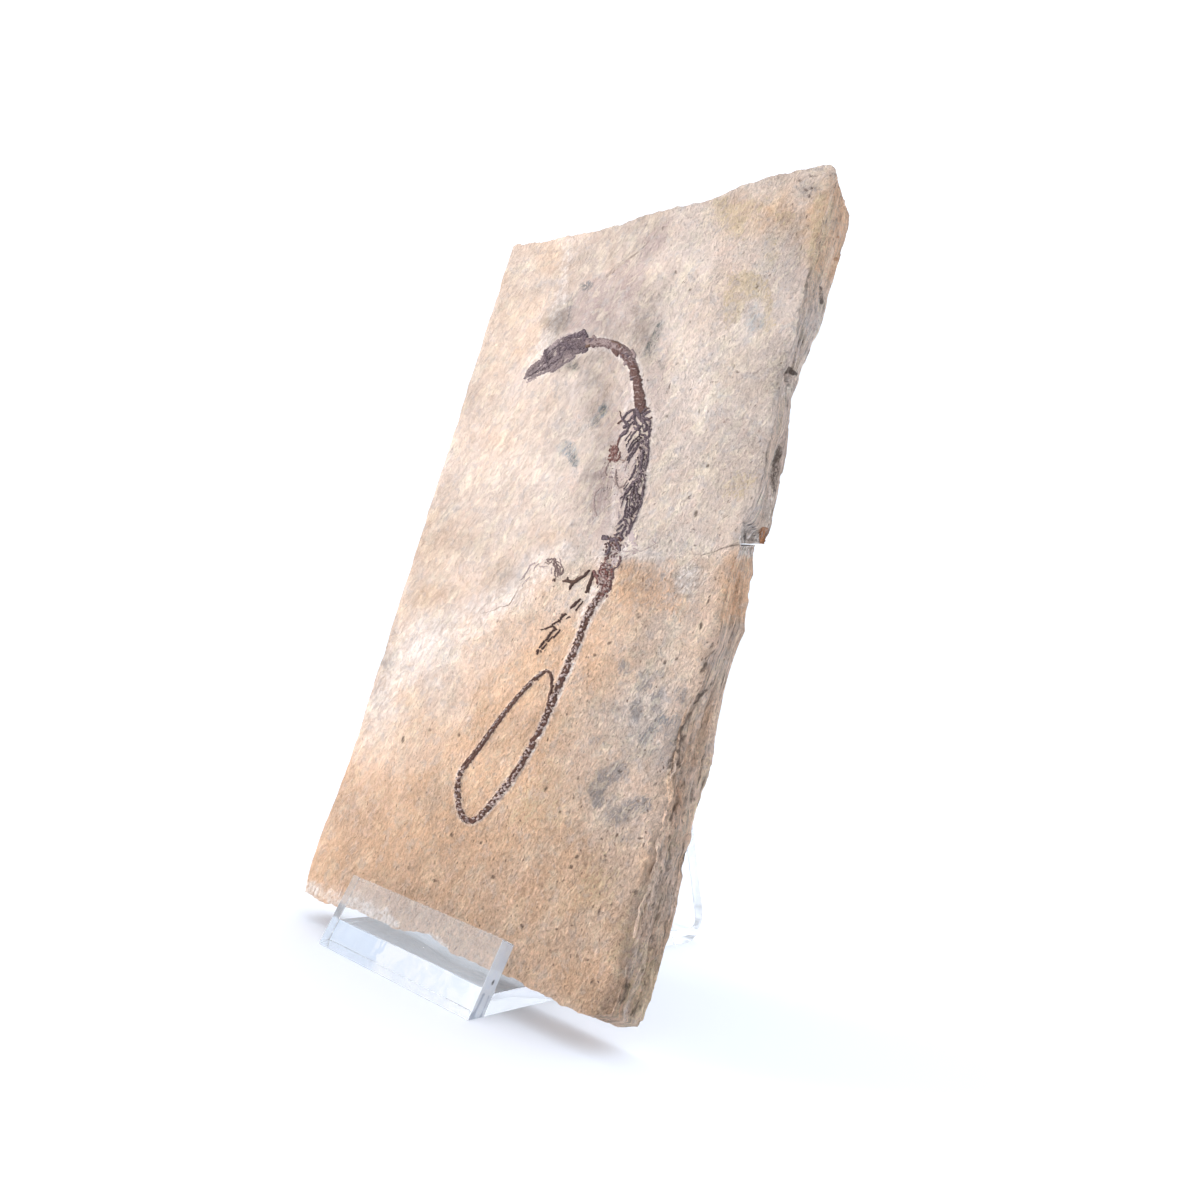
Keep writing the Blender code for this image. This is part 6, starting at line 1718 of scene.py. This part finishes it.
def bone_piece(name, strokes, cell, plate=None, pale=(), ragged=0.11, seed=5):
    """A thin crust of bone lying in the stone: its top follows the strokes and
    sinks into the face round them."""
    pts = [p for s in strokes for p in s[0]] + ([(x, y, 1.0) for x, y in plate] if plate else [])
    uv = np.array([on_face(p[0], p[1]) for p in pts])
    lo, hi = uv.min(0) - 1.4, uv.max(0) + 1.4
    nu_, nv_ = (int(math.ceil((hi[i] - lo[i]) / cell)) for i in (0, 1))
    us = lo[0] + cell * np.arange(nu_ + 1)
    vs = lo[1] + cell * np.arange(nv_ + 1)
    U, V = np.meshgrid(us, vs)
    # wander the lattice a little so that no edge follows its rows
    U = U + 0.25 * cell * noise(U / (2.1 * cell), V / (2.3 * cell), 0, seed + 50)
    V = V + 0.25 * cell * noise(U / (2.3 * cell), V / (2.1 * cell), 9.0, seed + 51)
    rise_, X, Y = relief(U, V)
    shape = U.shape
    H = np.full(shape, -1.0)
    stain = np.zeros(shape + (3,))
    wx = 0.55 * noise(U / 0.55, V / 0.6, 0, seed)
    wy = 0.55 * noise(U / 0.55, V / 0.6, 4.0, seed + 1)
    XX, YY = X + wx, Y + wy
    if plate:
        d = inside(XX, YY, plate)
        h = np.clip(0.16 * d / 2.0, -0.4, 0.17) + 0.05 * noise(U / 0.7, V / 0.7, 0, seed + 2)
        H = np.maximum(H, h)
        fibre = noise((0.80 * U - 0.60 * V) / 0.42, (0.60 * U + 0.80 * V) / 2.6, 0, seed + 6)
        H = H + 0.0
        stain[...] = (0.1, 0.0, 0.20)
        stain[..., 2] = 0.16 + 0.26 * fibre + 0.45 * (1 - smooth(0.0, 2.2, d))
    for line, high, col in strokes:
        a = np.array(line)
        pad = a[:, 2].max() + 2.6
        win = ((XX > a[:, 0].min() - pad) & (XX < a[:, 0].max() + pad)
               & (YY > a[:, 1].min() - pad) & (YY < a[:, 1].max() + pad))
        if not win.any():
            continue
        d, run, wide, _ = along(XX[win], YY[win], line)
        r = d / np.maximum(wide, 0.35)
        h = high * np.clip(1.15 - r ** 2, -1.2, 1.0)
        now = H[win]
        hit = h > now
        now = np.where(hit, h, now)
        H[win] = now
        part = stain[win]
        part[hit] = col
        stain[win] = part
    for (px, py), rx, ry in pale:
        k = np.exp(-(((XX - px) / rx) ** 2 + ((YY - py) / ry) ** 2))
        H = H - 0.12 * k
        stain[..., 2] = np.maximum(stain[..., 2], 0.50 * k)
    if plate:
        H = H + 0.09 * fibre * (H > 0.0)
    H = H + ragged * fbm(U / 0.42, V / 0.42, 0, 2, seed + 3) \
        + 0.05 * noise(U / 0.9, V / 0.9, 0, seed + 4)
    level = -0.07
    node = H > level
    cellmax = node[:-1, :-1] | node[:-1, 1:] | node[1:, :-1] | node[1:, 1:]
    # no two kept cells may touch at a corner only
    for _ in range(6):
        a, b = cellmax[:-1, :-1], cellmax[1:, 1:]
        c, d = cellmax[:-1, 1:], cellmax[1:, :-1]
        one = a & b & ~c & ~d
        two = c & d & ~a & ~b
        if not (one.any() or two.any()):
            break
        grown = cellmax.copy()
        grown[:-1, 1:] |= one
        grown[:-1, :-1] |= two
        cellmax = grown
    J, I = np.nonzero(cellmax)
    n_u = shape[1]
    corner = np.stack([J * n_u + I, J * n_u + I + 1, (J + 1) * n_u + I + 1,
                       (J + 1) * n_u + I], -1)
    used, inverse = np.unique(corner, return_inverse=True)
    quad = inverse.reshape(-1, 4)
    top = np.stack([U.ravel()[used], V.ravel()[used],
                    -(rise_.ravel()[used] + np.clip(H.ravel()[used], -0.16, 0.9))], -1)
    floor_ = top.copy()
    floor_[:, 2] = -rise_.ravel()[used] + 0.42
    count = len(used)
    faces = quad.tolist() + (quad[:, ::-1] + count).tolist()
    # walls round the rim
    edges = np.concatenate([quad[:, [0, 1]], quad[:, [1, 2]], quad[:, [2, 3]],
                            quad[:, [3, 0]]])
    key = np.sort(edges, 1)
    _, first, times = np.unique(key[:, 0].astype(np.int64) * (count + 1) + key[:, 1],
                                return_index=True, return_counts=True)
    rim = edges[first[times == 1]]
    faces += np.stack([rim[:, 1], rim[:, 0], rim[:, 0] + count, rim[:, 1] + count],
                      -1).tolist()
    P = np.concatenate([top, floor_])
    ob = build_mesh(name, row(P[:, 0], P[:, 1], P[:, 2]), faces, 60)
    crest = np.clip(H.ravel()[used], -0.2, 0.8)
    st = stain.reshape(-1, 3)[used]
    rim_ = 1 - smooth(-0.02, 0.10, crest)
    fade = np.where(st[:, 2] > 0.75, st[:, 2], st[:, 2] + (0.75 - st[:, 2]) * rim_)
    for k, values in (("brown", st[:, 0]), ("red", st[:, 1]), ("fade", fade),
                      ("crest", crest)):
        put(ob, k, np.concatenate([values, values]))
    put(ob, "place", P, "FLOAT_VECTOR")
    return ob


def bone(name):
    p = Paint(name)
    place = p.attr("place", True)
    flake = p.noise(place, 2.1, 3.0, 0.6)
    fine = p.noise(place, 6.0, 2.0, 0.6)
    cloud = p.noise(place, 0.5, 2.0, 0.5)
    dist, rnd = p.cells(place, 2.6)
    brown = p.math("MULTIPLY_ADD", p.math("SUBTRACT", cloud, 0.5), 0.5, p.attr("brown"),
                   clamp=True)
    colour = p.mix(brown, srgb(84, 68, 72), srgb(92, 67, 53))
    colour = p.mix(p.attr("red"), colour, srgb(124, 70, 60))
    # paler worn flecks over the darker bone
    deep = p.span(p.attr("fade"), -1.0, 0.0, 1.0, 0.0, "LINEAR")
    fleck = p.span(p.math("MULTIPLY_ADD", dist, 0.25, flake), 0.52, 0.80, 0.0, 0.55)
    fleck = p.math("MULTIPLY", fleck, p.math("MULTIPLY_ADD", deep, -0.85, 1.0))
    colour = p.mix(fleck, colour, p.mix(brown, srgb(150, 134, 140), srgb(160, 130, 112)))
    pale = p.mix(p.attr("brown"), srgb(228, 208, 204), srgb(218, 190, 170))
    fade = p.math("MULTIPLY_ADD", p.math("SUBTRACT", flake, 0.5), 0.5, p.attr("fade"),
                  clamp=True)
    colour = p.mix(fade, colour, pale)
    # painted shade and highlight: the bone is darker where it lies low and lighter on its crests
    low = p.span(p.attr("crest"), 0.05, 0.45, 0.60, 0.80)
    low = p.math("MULTIPLY", low, p.math("MULTIPLY_ADD", deep, -0.60, 1.0))
    n = p.node("ShaderNodeVectorMath", operation="SCALE")
    p.feed(n.inputs[0], colour)
    p.feed(n.inputs["Scale"], low)
    p.feed(p.shader.inputs["Base Color"], n.outputs[0])
    p.feed(p.shader.inputs["Roughness"], p.span(fine, 0.3, 0.7, 0.50, 0.72))
    p.shader.inputs["Specular IOR Level"].default_value = 0.35
    p.feed(p.shader.inputs["Normal"],
           p.bump(p.math("ADD", flake, p.math("MULTIPLY", fine, 0.5)), 0.5, 0.00012))
    return p.mat


bone_paint = bone("fossil_bone")
for name, strokes, cell, plate, pale, node, slot, seed in (
        ("bone_skull", SKULL_STROKES, 0.13, SKULL_PLATE, SKULL_PALE, "skull",
         "bone_dark", 100),
        ("bone_neck", NECK_STROKES, 0.15, None, (), "neck", "bone_brown", 110),
        ("bone_shoulder", finer(SHOULDER_STROKES, 0.84), 0.13, None, (), "shoulder_girdle",
         "bone_dark", 120),
        ("bone_trunk", finer(TRUNK_STROKES, 0.84), 0.13, None, (), "trunk", "bone_dark", 130),
        ("bone_pelvis", PELVIS_STROKES, 0.13, None, (), "pelvis", "bone_brown", 140),
        ("bone_left_leg", LEFT_LEG_STROKES, 0.13, None, (), "left_hind_leg",
         "bone_brown", 150),
        ("bone_right_leg", RIGHT_LEG_STROKES, 0.13, None, (), "right_hind_leg",
         "bone_brown", 160),
        ("bone_tail", TAIL_STROKES, 0.15, None, (), "tail", "bone_brown", 170)):
    ob = bone_piece(name, strokes, cell, plate, pale, seed=seed)
    ob.data.materials.append(bone_paint)
    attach(ob, "root")
    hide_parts(node)


# ------------------------------------------------ the filler along the break
def make_filler():
    """A thin skin of grey putty between the two stones, a little sunk."""
    us = np.arange(-56.8, 52.6, 0.6)
    ws = np.concatenate([[0.10], np.linspace(0.8, 15.6, 12)])
    U, W = np.meshgrid(us, ws)
    mid = edge("seam", U, W) + 0.35 * noise(U / 2.2, W / 3.0, 0, 31) \
        + 0.15 * noise(U / 0.8, W / 1.4, 0, 32)
    half = 0.024 + 0.004 * noise(U / 1.7, W / 2.0, 0, 33)
    P = np.concatenate([np.stack([U, mid - half, W], -1).reshape(-1, 3),
                        np.stack([U, mid + half, W], -1).reshape(-1, 3)])
    m, n = U.shape
    idx = np.arange(m * n).reshape(m, n)
    a, b = idx[:-1, :-1].ravel(), idx[:-1, 1:].ravel()
    c, d = idx[1:, 1:].ravel(), idx[1:, :-1].ravel()
    low = np.stack([a, d, c, b], -1)[:, ::-1]
    faces = low.tolist() + (low[:, ::-1] + m * n).tolist()
    ring = np.concatenate([idx[0, :-1], idx[:-1, -1], idx[-1, :0:-1], idx[:0:-1, 0]])
    nxt = np.roll(ring, -1)
    faces += np.stack([ring, ring + m * n, nxt + m * n, nxt], -1).tolist()
    ob = build_mesh("seam_filler", row(P[:, 0], P[:, 1], P[:, 2]), faces, 50)
    bm = bmesh.new()
    bm.from_mesh(ob.data)
    bmesh.ops.recalc_face_normals(bm, faces=bm.faces[:])
    bm.to_mesh(ob.data)
    bm.free()
    put(ob, "place", P, "FLOAT_VECTOR")
    p = Paint("mending_putty")
    place = p.attr("place", True)
    big, small = p.noise(place, 0.5, 3.0, 0.6), p.noise(place, 3.0, 2.0, 0.6)
    p.feed(p.shader.inputs["Base Color"],
           p.mix(p.span(big, 0.35, 0.65), srgb(190, 178, 168), srgb(150, 138, 130)))
    p.feed(p.shader.inputs["Roughness"], p.span(small, 0.3, 0.7, 0.65, 0.85))
    p.feed(p.shader.inputs["Normal"], p.bump(small, 0.4, 0.0002))
    ob.data.materials.append(p.mat)
    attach(ob, "root")
    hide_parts("break_filler")


make_filler()


# ------------------------------------------------------------------ the stand
def acrylic(name):
    p = Paint(name)
    at = p.node("ShaderNodeTexCoord").outputs["Object"]
    wave = p.noise(at, 60.0, 2.0, 0.5)
    hair = p.noise(p.scale(at, (40.0, 400.0, 400.0)), 1.0, 3.0, 0.7)
    tint = p.mix(p.span(wave, 0.3, 0.7), (0.955, 0.978, 1.0), (0.97, 0.985, 1.0))
    p.feed(p.shader.inputs["Base Color"], tint)
    p.shader.inputs["Transmission Weight"].default_value = 0.93
    p.shader.inputs["IOR"].default_value = 1.49
    p.feed(p.shader.inputs["Roughness"], p.span(hair, 0.45, 0.85, 0.02, 0.08))
    p.feed(p.shader.inputs["Normal"],
           p.bump(hair, 0.02, 0.00002))
    return p.mat


SHEET = 5.8
LIP_LEAN = math.radians(20.7)
LIP_H = 21.4
SHIFT = np.array([-2.3, -77.35, 0.0])


def bevelled(name, bm, width, angle=25.0, segments=2):
    """Closed mesh with its sharp edges eased."""
    bmesh.ops.recalc_face_normals(bm, faces=bm.faces[:])
    sharp = [e for e in bm.edges if len(e.link_faces) == 2
             and e.calc_face_angle(0.0) > math.radians(angle)]
    bmesh.ops.bevel(bm, geom=sharp, offset=width * MM, segments=segments, profile=0.6,
                    affect="EDGES", clamp_overlap=True)
    me = bpy.data.meshes.new(name)
    bm.to_mesh(me)
    bm.free()
    ob = bpy.data.objects.new(name, me)
    bpy.context.collection.objects.link(ob)
    me.polygons.foreach_set("use_smooth", [True] * len(me.polygons))
    me.set_sharp_from_angle(angle=math.radians(12))
    return ob


def make_stand():
    """One bent sheet with a lip glued to its front edge: a flat foot, a rear bend
    and a leg up to the slab's back. The glued joint is optically clear, so both
    sheets are one closed skin."""
    sn, cs = math.sin(LIP_LEAN), math.cos(LIP_LEAN)
    slope = math.tan(LIP_LEAN)
    wall = SHEET / cs
    lip = [(0.0, 0.0), (16.0, 0.0), (16.0, SHEET), (wall + SHEET * slope, SHEET),
           (LIP_H * sn + SHEET * cs, LIP_H * cs - SHEET * sn), (LIP_H * sn, LIP_H * cs)]
    stations = []
    for y in np.linspace(22.0, 52.0, 6):
        stations.append(((y, 0.0), (y, SHEET), 31.0))
    for y in np.linspace(53.5, 74.0, 15):
        t = (y - 52.0) / 22.0
        t = t * t * (3 - 2 * t)
        stations.append(((y, 0.0), (y, SHEET), lerp(31.0, 13.1, t)))
    for y in np.linspace(82.0, 146.2, 8):
        stations.append(((y, 0.0), (y, SHEET), 13.1))
    turn = math.pi / 2 + math.radians(32.0)
    inner = 8.5 - SHEET
    for k in range(1, 25):
        a = -math.pi / 2 + turn * k / 24
        stations.append(((146.2 + 8.5 * math.cos(a), 8.5 + 8.5 * math.sin(a)),
                         (146.2 + inner * math.cos(a), 8.5 + inner * math.sin(a)), 13.1))
    (oy, oz), (iy, iz), _ = stations[-1]
    back_y = 11.938 + THICK * CL + 0.3 / CL
    back_z = 8.327 - THICK * SL
    lean = math.radians(32.0)
    dy, dz = -math.sin(lean), math.cos(lean)
    slab = math.tan(LEAN)
    length = ((back_y + (iz - back_z) * slab) - iy) / (dy - dz * slab)
    for part in np.linspace(0.1, 1.0, 10):
        d = length * part
        stations.append(((oy + dy * d, oz + dz * d), (iy + dy * d, iz + dz * d), 13.1))
    bm = bmesh.new()

    def vert(x, y, z):
        return bm.verts.new(Vector((SHIFT + (x, y, z)) * MM))

    left = [vert(-31.0, y, z) for y, z in lip]
    right = [vert(31.0, y, z) for y, z in lip]
    for i in (0, 2, 3, 4, 5):
        j = (i + 1) % 6
        bm.faces.new((left[i], right[i], right[j], left[j]))
    for side in (left, right):
        bm.faces.new((side[0], side[1], side[2], side[3]))
        bm.faces.new((side[0], side[3], side[4], side[5]))
    rings = [[left[1], right[1], right[2], left[2]]]
    for (ay, az), (by, bz), half in stations:
        rings.append([vert(-half, ay, az), vert(half, ay, az), vert(half, by, bz),
                      vert(-half, by, bz)])
    for p, q in zip(rings[:-1], rings[1:]):
        for i in range(4):
            j = (i + 1) % 4
            bm.faces.new((p[i], p[j], q[j], q[i]))
    bm.faces.new(list(reversed(rings[-1])))
    return bevelled("stand_clear", bm, 0.26, 12.0)


stand = make_stand()
stand.data.materials.append(acrylic("clear_acrylic"))
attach(stand, "root")
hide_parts("stand_front_lip", "stand_base")
stand.visible_shadow = False         # clear sheet hardly darkens what it stands on


def make_joint():
    """A pale blue-white film at the sawn edge of the foot, where it is glued to the lip: painted light that
    stands in for the light seen through the lip there.
    """
    slope = math.tan(LIP_LEAN)
    wall = SHEET / math.cos(LIP_LEAN)
    bm = bmesh.new()
    rows = []
    for z in np.linspace(0.10, SHEET - 0.05, 7):
        rows.append([(x, wall + z * slope, z) for x in np.linspace(-30.7, 30.7, 33)])
    front = [[bm.verts.new(Vector((SHIFT + (x, y - 0.02, z)) * MM)) for x, y, z in r] for r in rows]
    back = [[bm.verts.new(Vector((SHIFT + (x, y + 0.02, z)) * MM)) for x, y, z in r] for r in rows]
    for grid, flip in ((front, False), (back, True)):
        for i in range(len(grid) - 1):
            for j in range(len(grid[0]) - 1):
                f = (grid[i][j], grid[i][j + 1], grid[i + 1][j + 1], grid[i + 1][j])
                bm.faces.new(f[::-1] if flip else f)
    rim = ([(0, j) for j in range(32)] + [(i, 32) for i in range(6)]
           + [(6, j) for j in range(32, 0, -1)] + [(i, 0) for i in range(6, 0, -1)])
    for (a, b), (c, d) in zip(rim, rim[1:] + rim[:1]):
        bm.faces.new((front[a][b], back[a][b], back[c][d], front[c][d]))
    bmesh.ops.recalc_face_normals(bm, faces=bm.faces[:])
    me = bpy.data.meshes.new("stand_joint_painted_light")
    bm.to_mesh(me)
    bm.free()
    ob = bpy.data.objects.new("stand_joint_painted_light", me)
    bpy.context.collection.objects.link(ob)
    p = Paint("painted_light_at_joint")
    at = p.node("ShaderNodeTexCoord").outputs["Object"]
    far = p.node("ShaderNodeSeparateXYZ")
    p.feed(far.inputs[0], at)
    wave = p.noise(at, 160.0, 3.0, 0.6, 0.8)
    sawn = p.noise(p.scale(at, (60.0, 900.0, 900.0)), 1.0, 3.0, 0.6)
    # a lighter band across the film, also painted light
    lighter_band = p.math("MULTIPLY_ADD", p.math("SUBTRACT", wave, 0.5), 0.03, far.outputs["X"])
    lighter_band = p.span(lighter_band, -0.0165, -0.0135)
    colour = p.mix(p.span(wave, 0.35, 0.65), (0.56, 0.645, 0.77), (0.61, 0.69, 0.80))
    bright = p.mix(p.span(wave, 0.42, 0.60), (0.76, 0.79, 0.83), (0.66, 0.72, 0.81))
    colour = p.mix(lighter_band, colour, bright)
    colour = p.mix(p.span(sawn, 0.60, 0.80, 0.0, 0.25), colour, (0.50, 0.57, 0.70))
    p.feed(p.shader.inputs["Base Color"], colour)
    p.feed(p.shader.inputs["Roughness"], p.span(sawn, 0.3, 0.7, 0.5, 0.7))
    p.feed(p.shader.inputs["Normal"], p.bump(sawn, 0.3, 0.00004))
    me.materials.append(p.mat)
    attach(ob, "root")
    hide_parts("stand_base")
    ob.visible_shadow = False


make_joint()


def make_ends():
    """The lip's sawn and flamed right end, as a pale bluish film: painted light that makes it brighter than
    the rest of the sheet, with darker streaks and a black speck.
    """
    sn, cs = math.sin(LIP_LEAN), math.cos(LIP_LEAN)
    slope = math.tan(LIP_LEAN)
    bm = bmesh.new()
    layer = bm.verts.layers.float.new("mark")
    edge_layer = bm.verts.layers.float.new("dim")
    for side in (1,):
        grids = []
        for inset in (0.10, 0.16):
            grid = []
            for t in np.linspace(0.015, 0.985, 49):
                z0, y0 = LIP_H * cs * t, LIP_H * sn * t
                line = []
                for k in np.linspace(0.03, 0.97, 15):
                    y = y0 + SHEET * cs * k + (SHEET * slope * sn * k if t < 0 else 0.0)
                    z = z0 - SHEET * sn * k
                    low = max(0.06 - z, 0.0)
                    vert = bm.verts.new(Vector((SHIFT + (side * (31.0 - inset), y + low * slope,
                                                         z + low)) * MM))
                    spot = math.hypot((k - 0.62) * SHEET / 0.42, (t - 0.50) * LIP_H / 0.62)
                    vert[layer] = float(smooth(1.25, 0.75, spot)) if side > 0 else 0.0
                    streak = (math.exp(-((k - 0.22 - 0.30 * t) / 0.10) ** 2)
                              + 0.8 * math.exp(-((k - 0.80 + 0.2 * t) / 0.07) ** 2))
                    vert[edge_layer] = float(min(1.0, streak * (0.35 + 0.65 * (t < 0.35))
                                                 + 0.9 * smooth(0.16, 0.02, t)))
                    line.append(vert)
                grid.append(line)
            grids.append(grid)
        a, b = grids
        rows, cols = len(a), len(a[0])
        for grid in grids:
            for i in range(rows - 1):
                for j in range(cols - 1):
                    bm.faces.new((grid[i][j], grid[i][j + 1], grid[i + 1][j + 1], grid[i + 1][j]))
        rim = ([(0, j) for j in range(cols - 1)] + [(i, cols - 1) for i in range(rows - 1)]
               + [(rows - 1, j) for j in range(cols - 1, 0, -1)]
               + [(i, 0) for i in range(rows - 1, 0, -1)])
        for (i, j), (k, l) in zip(rim, rim[1:] + rim[:1]):
            bm.faces.new((a[i][j], b[i][j], b[k][l], a[k][l]))
    bmesh.ops.recalc_face_normals(bm, faces=bm.faces[:])
    me = bpy.data.meshes.new("stand_lip_ends")
    bm.to_mesh(me)
    bm.free()
    ob = bpy.data.objects.new("stand_lip_ends", me)
    bpy.context.collection.objects.link(ob)
    p = Paint("painted_light_on_lip_end")
    at = p.node("ShaderNodeTexCoord").outputs["Object"]
    wave = p.noise(at, 420.0, 3.0, 0.6, 0.6)
    colour = p.mix(p.span(wave, 0.35, 0.65), (0.88, 0.91, 0.97), (0.94, 0.95, 0.97))
    dim = p.math("MULTIPLY_ADD", p.math("SUBTRACT", wave, 0.5), 1.2, p.attr("dim"))
    colour = p.mix(p.span(dim, 0.30, 0.95, 0.0, 0.75), colour, (0.42, 0.47, 0.57))
    colour = p.mix(p.attr("mark"), colour, (0.02, 0.02, 0.03))
    p.feed(p.shader.inputs["Base Color"], colour)
    p.feed(p.shader.inputs["Roughness"], p.span(wave, 0.3, 0.7, 0.4, 0.6))
    p.feed(p.shader.inputs["Normal"], p.bump(wave, 0.3, 0.00005))
    me.materials.append(p.mat)
    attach(ob, "root")
    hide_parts("stand_front_lip")
    ob.visible_shadow = False


make_ends()


# -------------------------------------------------------------- floor, light
def make_floor():
    bm = bmesh.new()
    bmesh.ops.create_grid(bm, x_segments=8, y_segments=8, size=3.0)
    me = bpy.data.meshes.new("floor")
    bm.to_mesh(me)
    bm.free()
    ob = bpy.data.objects.new("floor", me)
    ob.location.z = -0.00006
    bpy.context.collection.objects.link(ob)
    p = Paint("pale_floor")
    p.feed(p.shader.inputs["Base Color"], (0.87, 0.90, 0.955))
    p.shader.inputs["Roughness"].default_value = 0.9
    p.shader.inputs["Specular IOR Level"].default_value = 0.1
    me.materials.append(p.mat)
    return ob


make_floor()

def make_studio():
    """A white room: brightest overhead, bright behind, dimmer in front."""
    world = bpy.data.worlds.new("studio")
    bpy.context.scene.world = world
    world.use_nodes = True
    tree = world.node_tree
    back = tree.nodes["Background"]

    def node(kind, **values):
        n = tree.nodes.new(kind)
        for k, x in values.items():
            setattr(n, k, x)
        return n

    sep = node("ShaderNodeSeparateXYZ")
    tree.links.new(node("ShaderNodeTexCoord").outputs["Generated"], sep.inputs[0])

    def ramp(axis, lo, hi, to_lo, to_hi):
        n = node("ShaderNodeMapRange", interpolation_type="SMOOTHSTEP")
        tree.links.new(sep.outputs[axis], n.inputs["Value"])
        for k, x in zip(("From Min", "From Max", "To Min", "To Max"),
                        (lo, hi, to_lo, to_hi)):
            n.inputs[k].default_value = x
        return n.outputs["Result"]

    add = node("ShaderNodeMath", operation="ADD")
    tree.links.new(ramp("Y", -0.45, 0.25, 0.56, 1.13), add.inputs[0])
    tree.links.new(ramp("Z", 0.30, 0.98, 0.0, 0.70), add.inputs[1])
    tree.links.new(add.outputs[0], back.inputs["Strength"])
    back.inputs["Color"].default_value = (0.925, 0.972, 1.05, 1.0)


make_studio()


def soft_sun(name, toward, strength, spread, colour):
    """A broad even lamp, far off in the direction toward."""
    data = bpy.data.lights.new(name, "SUN")
    data.energy = strength
    data.angle = math.radians(spread)
    data.color = colour
    ob = bpy.data.objects.new(name, data)
    ob.rotation_euler = Vector(toward).to_track_quat("Z", "Y").to_euler()
    ob.location = Vector(toward) * 0.8
    ob.visible_glossy = ob.visible_transmission = False
    bpy.context.collection.objects.link(ob)


soft_sun("key", (-0.74, -0.66, 0.13), 3.75, 24.0, (1.0, 0.95, 0.90))

camera_data = bpy.data.cameras.new("camera")
camera_data.sensor_fit = "HORIZONTAL"
camera_data.sensor_width = 36.0
camera_data.lens = FOCAL / 1200 * 36.0
camera_data.clip_start, camera_data.clip_end = 0.01, 20.0
camera = bpy.data.objects.new("camera", camera_data)
camera.matrix_world = Matrix(((RIGHT[0], UP[0], -AHEAD[0], EYE[0] * MM),
                              (RIGHT[1], UP[1], -AHEAD[1], EYE[1] * MM),
                              (RIGHT[2], UP[2], -AHEAD[2], EYE[2] * MM),
                              (0, 0, 0, 1)))
bpy.context.collection.objects.link(camera)
bpy.context.scene.camera = camera
bpy.context.scene.view_settings.view_transform = "Standard"
bpy.context.scene.view_settings.look = "None"
# light has to find its way along the inside of the clear sheet
cycles = bpy.context.scene.cycles
cycles.max_bounces = 28
cycles.glossy_bounces = cycles.transmission_bounces = 24
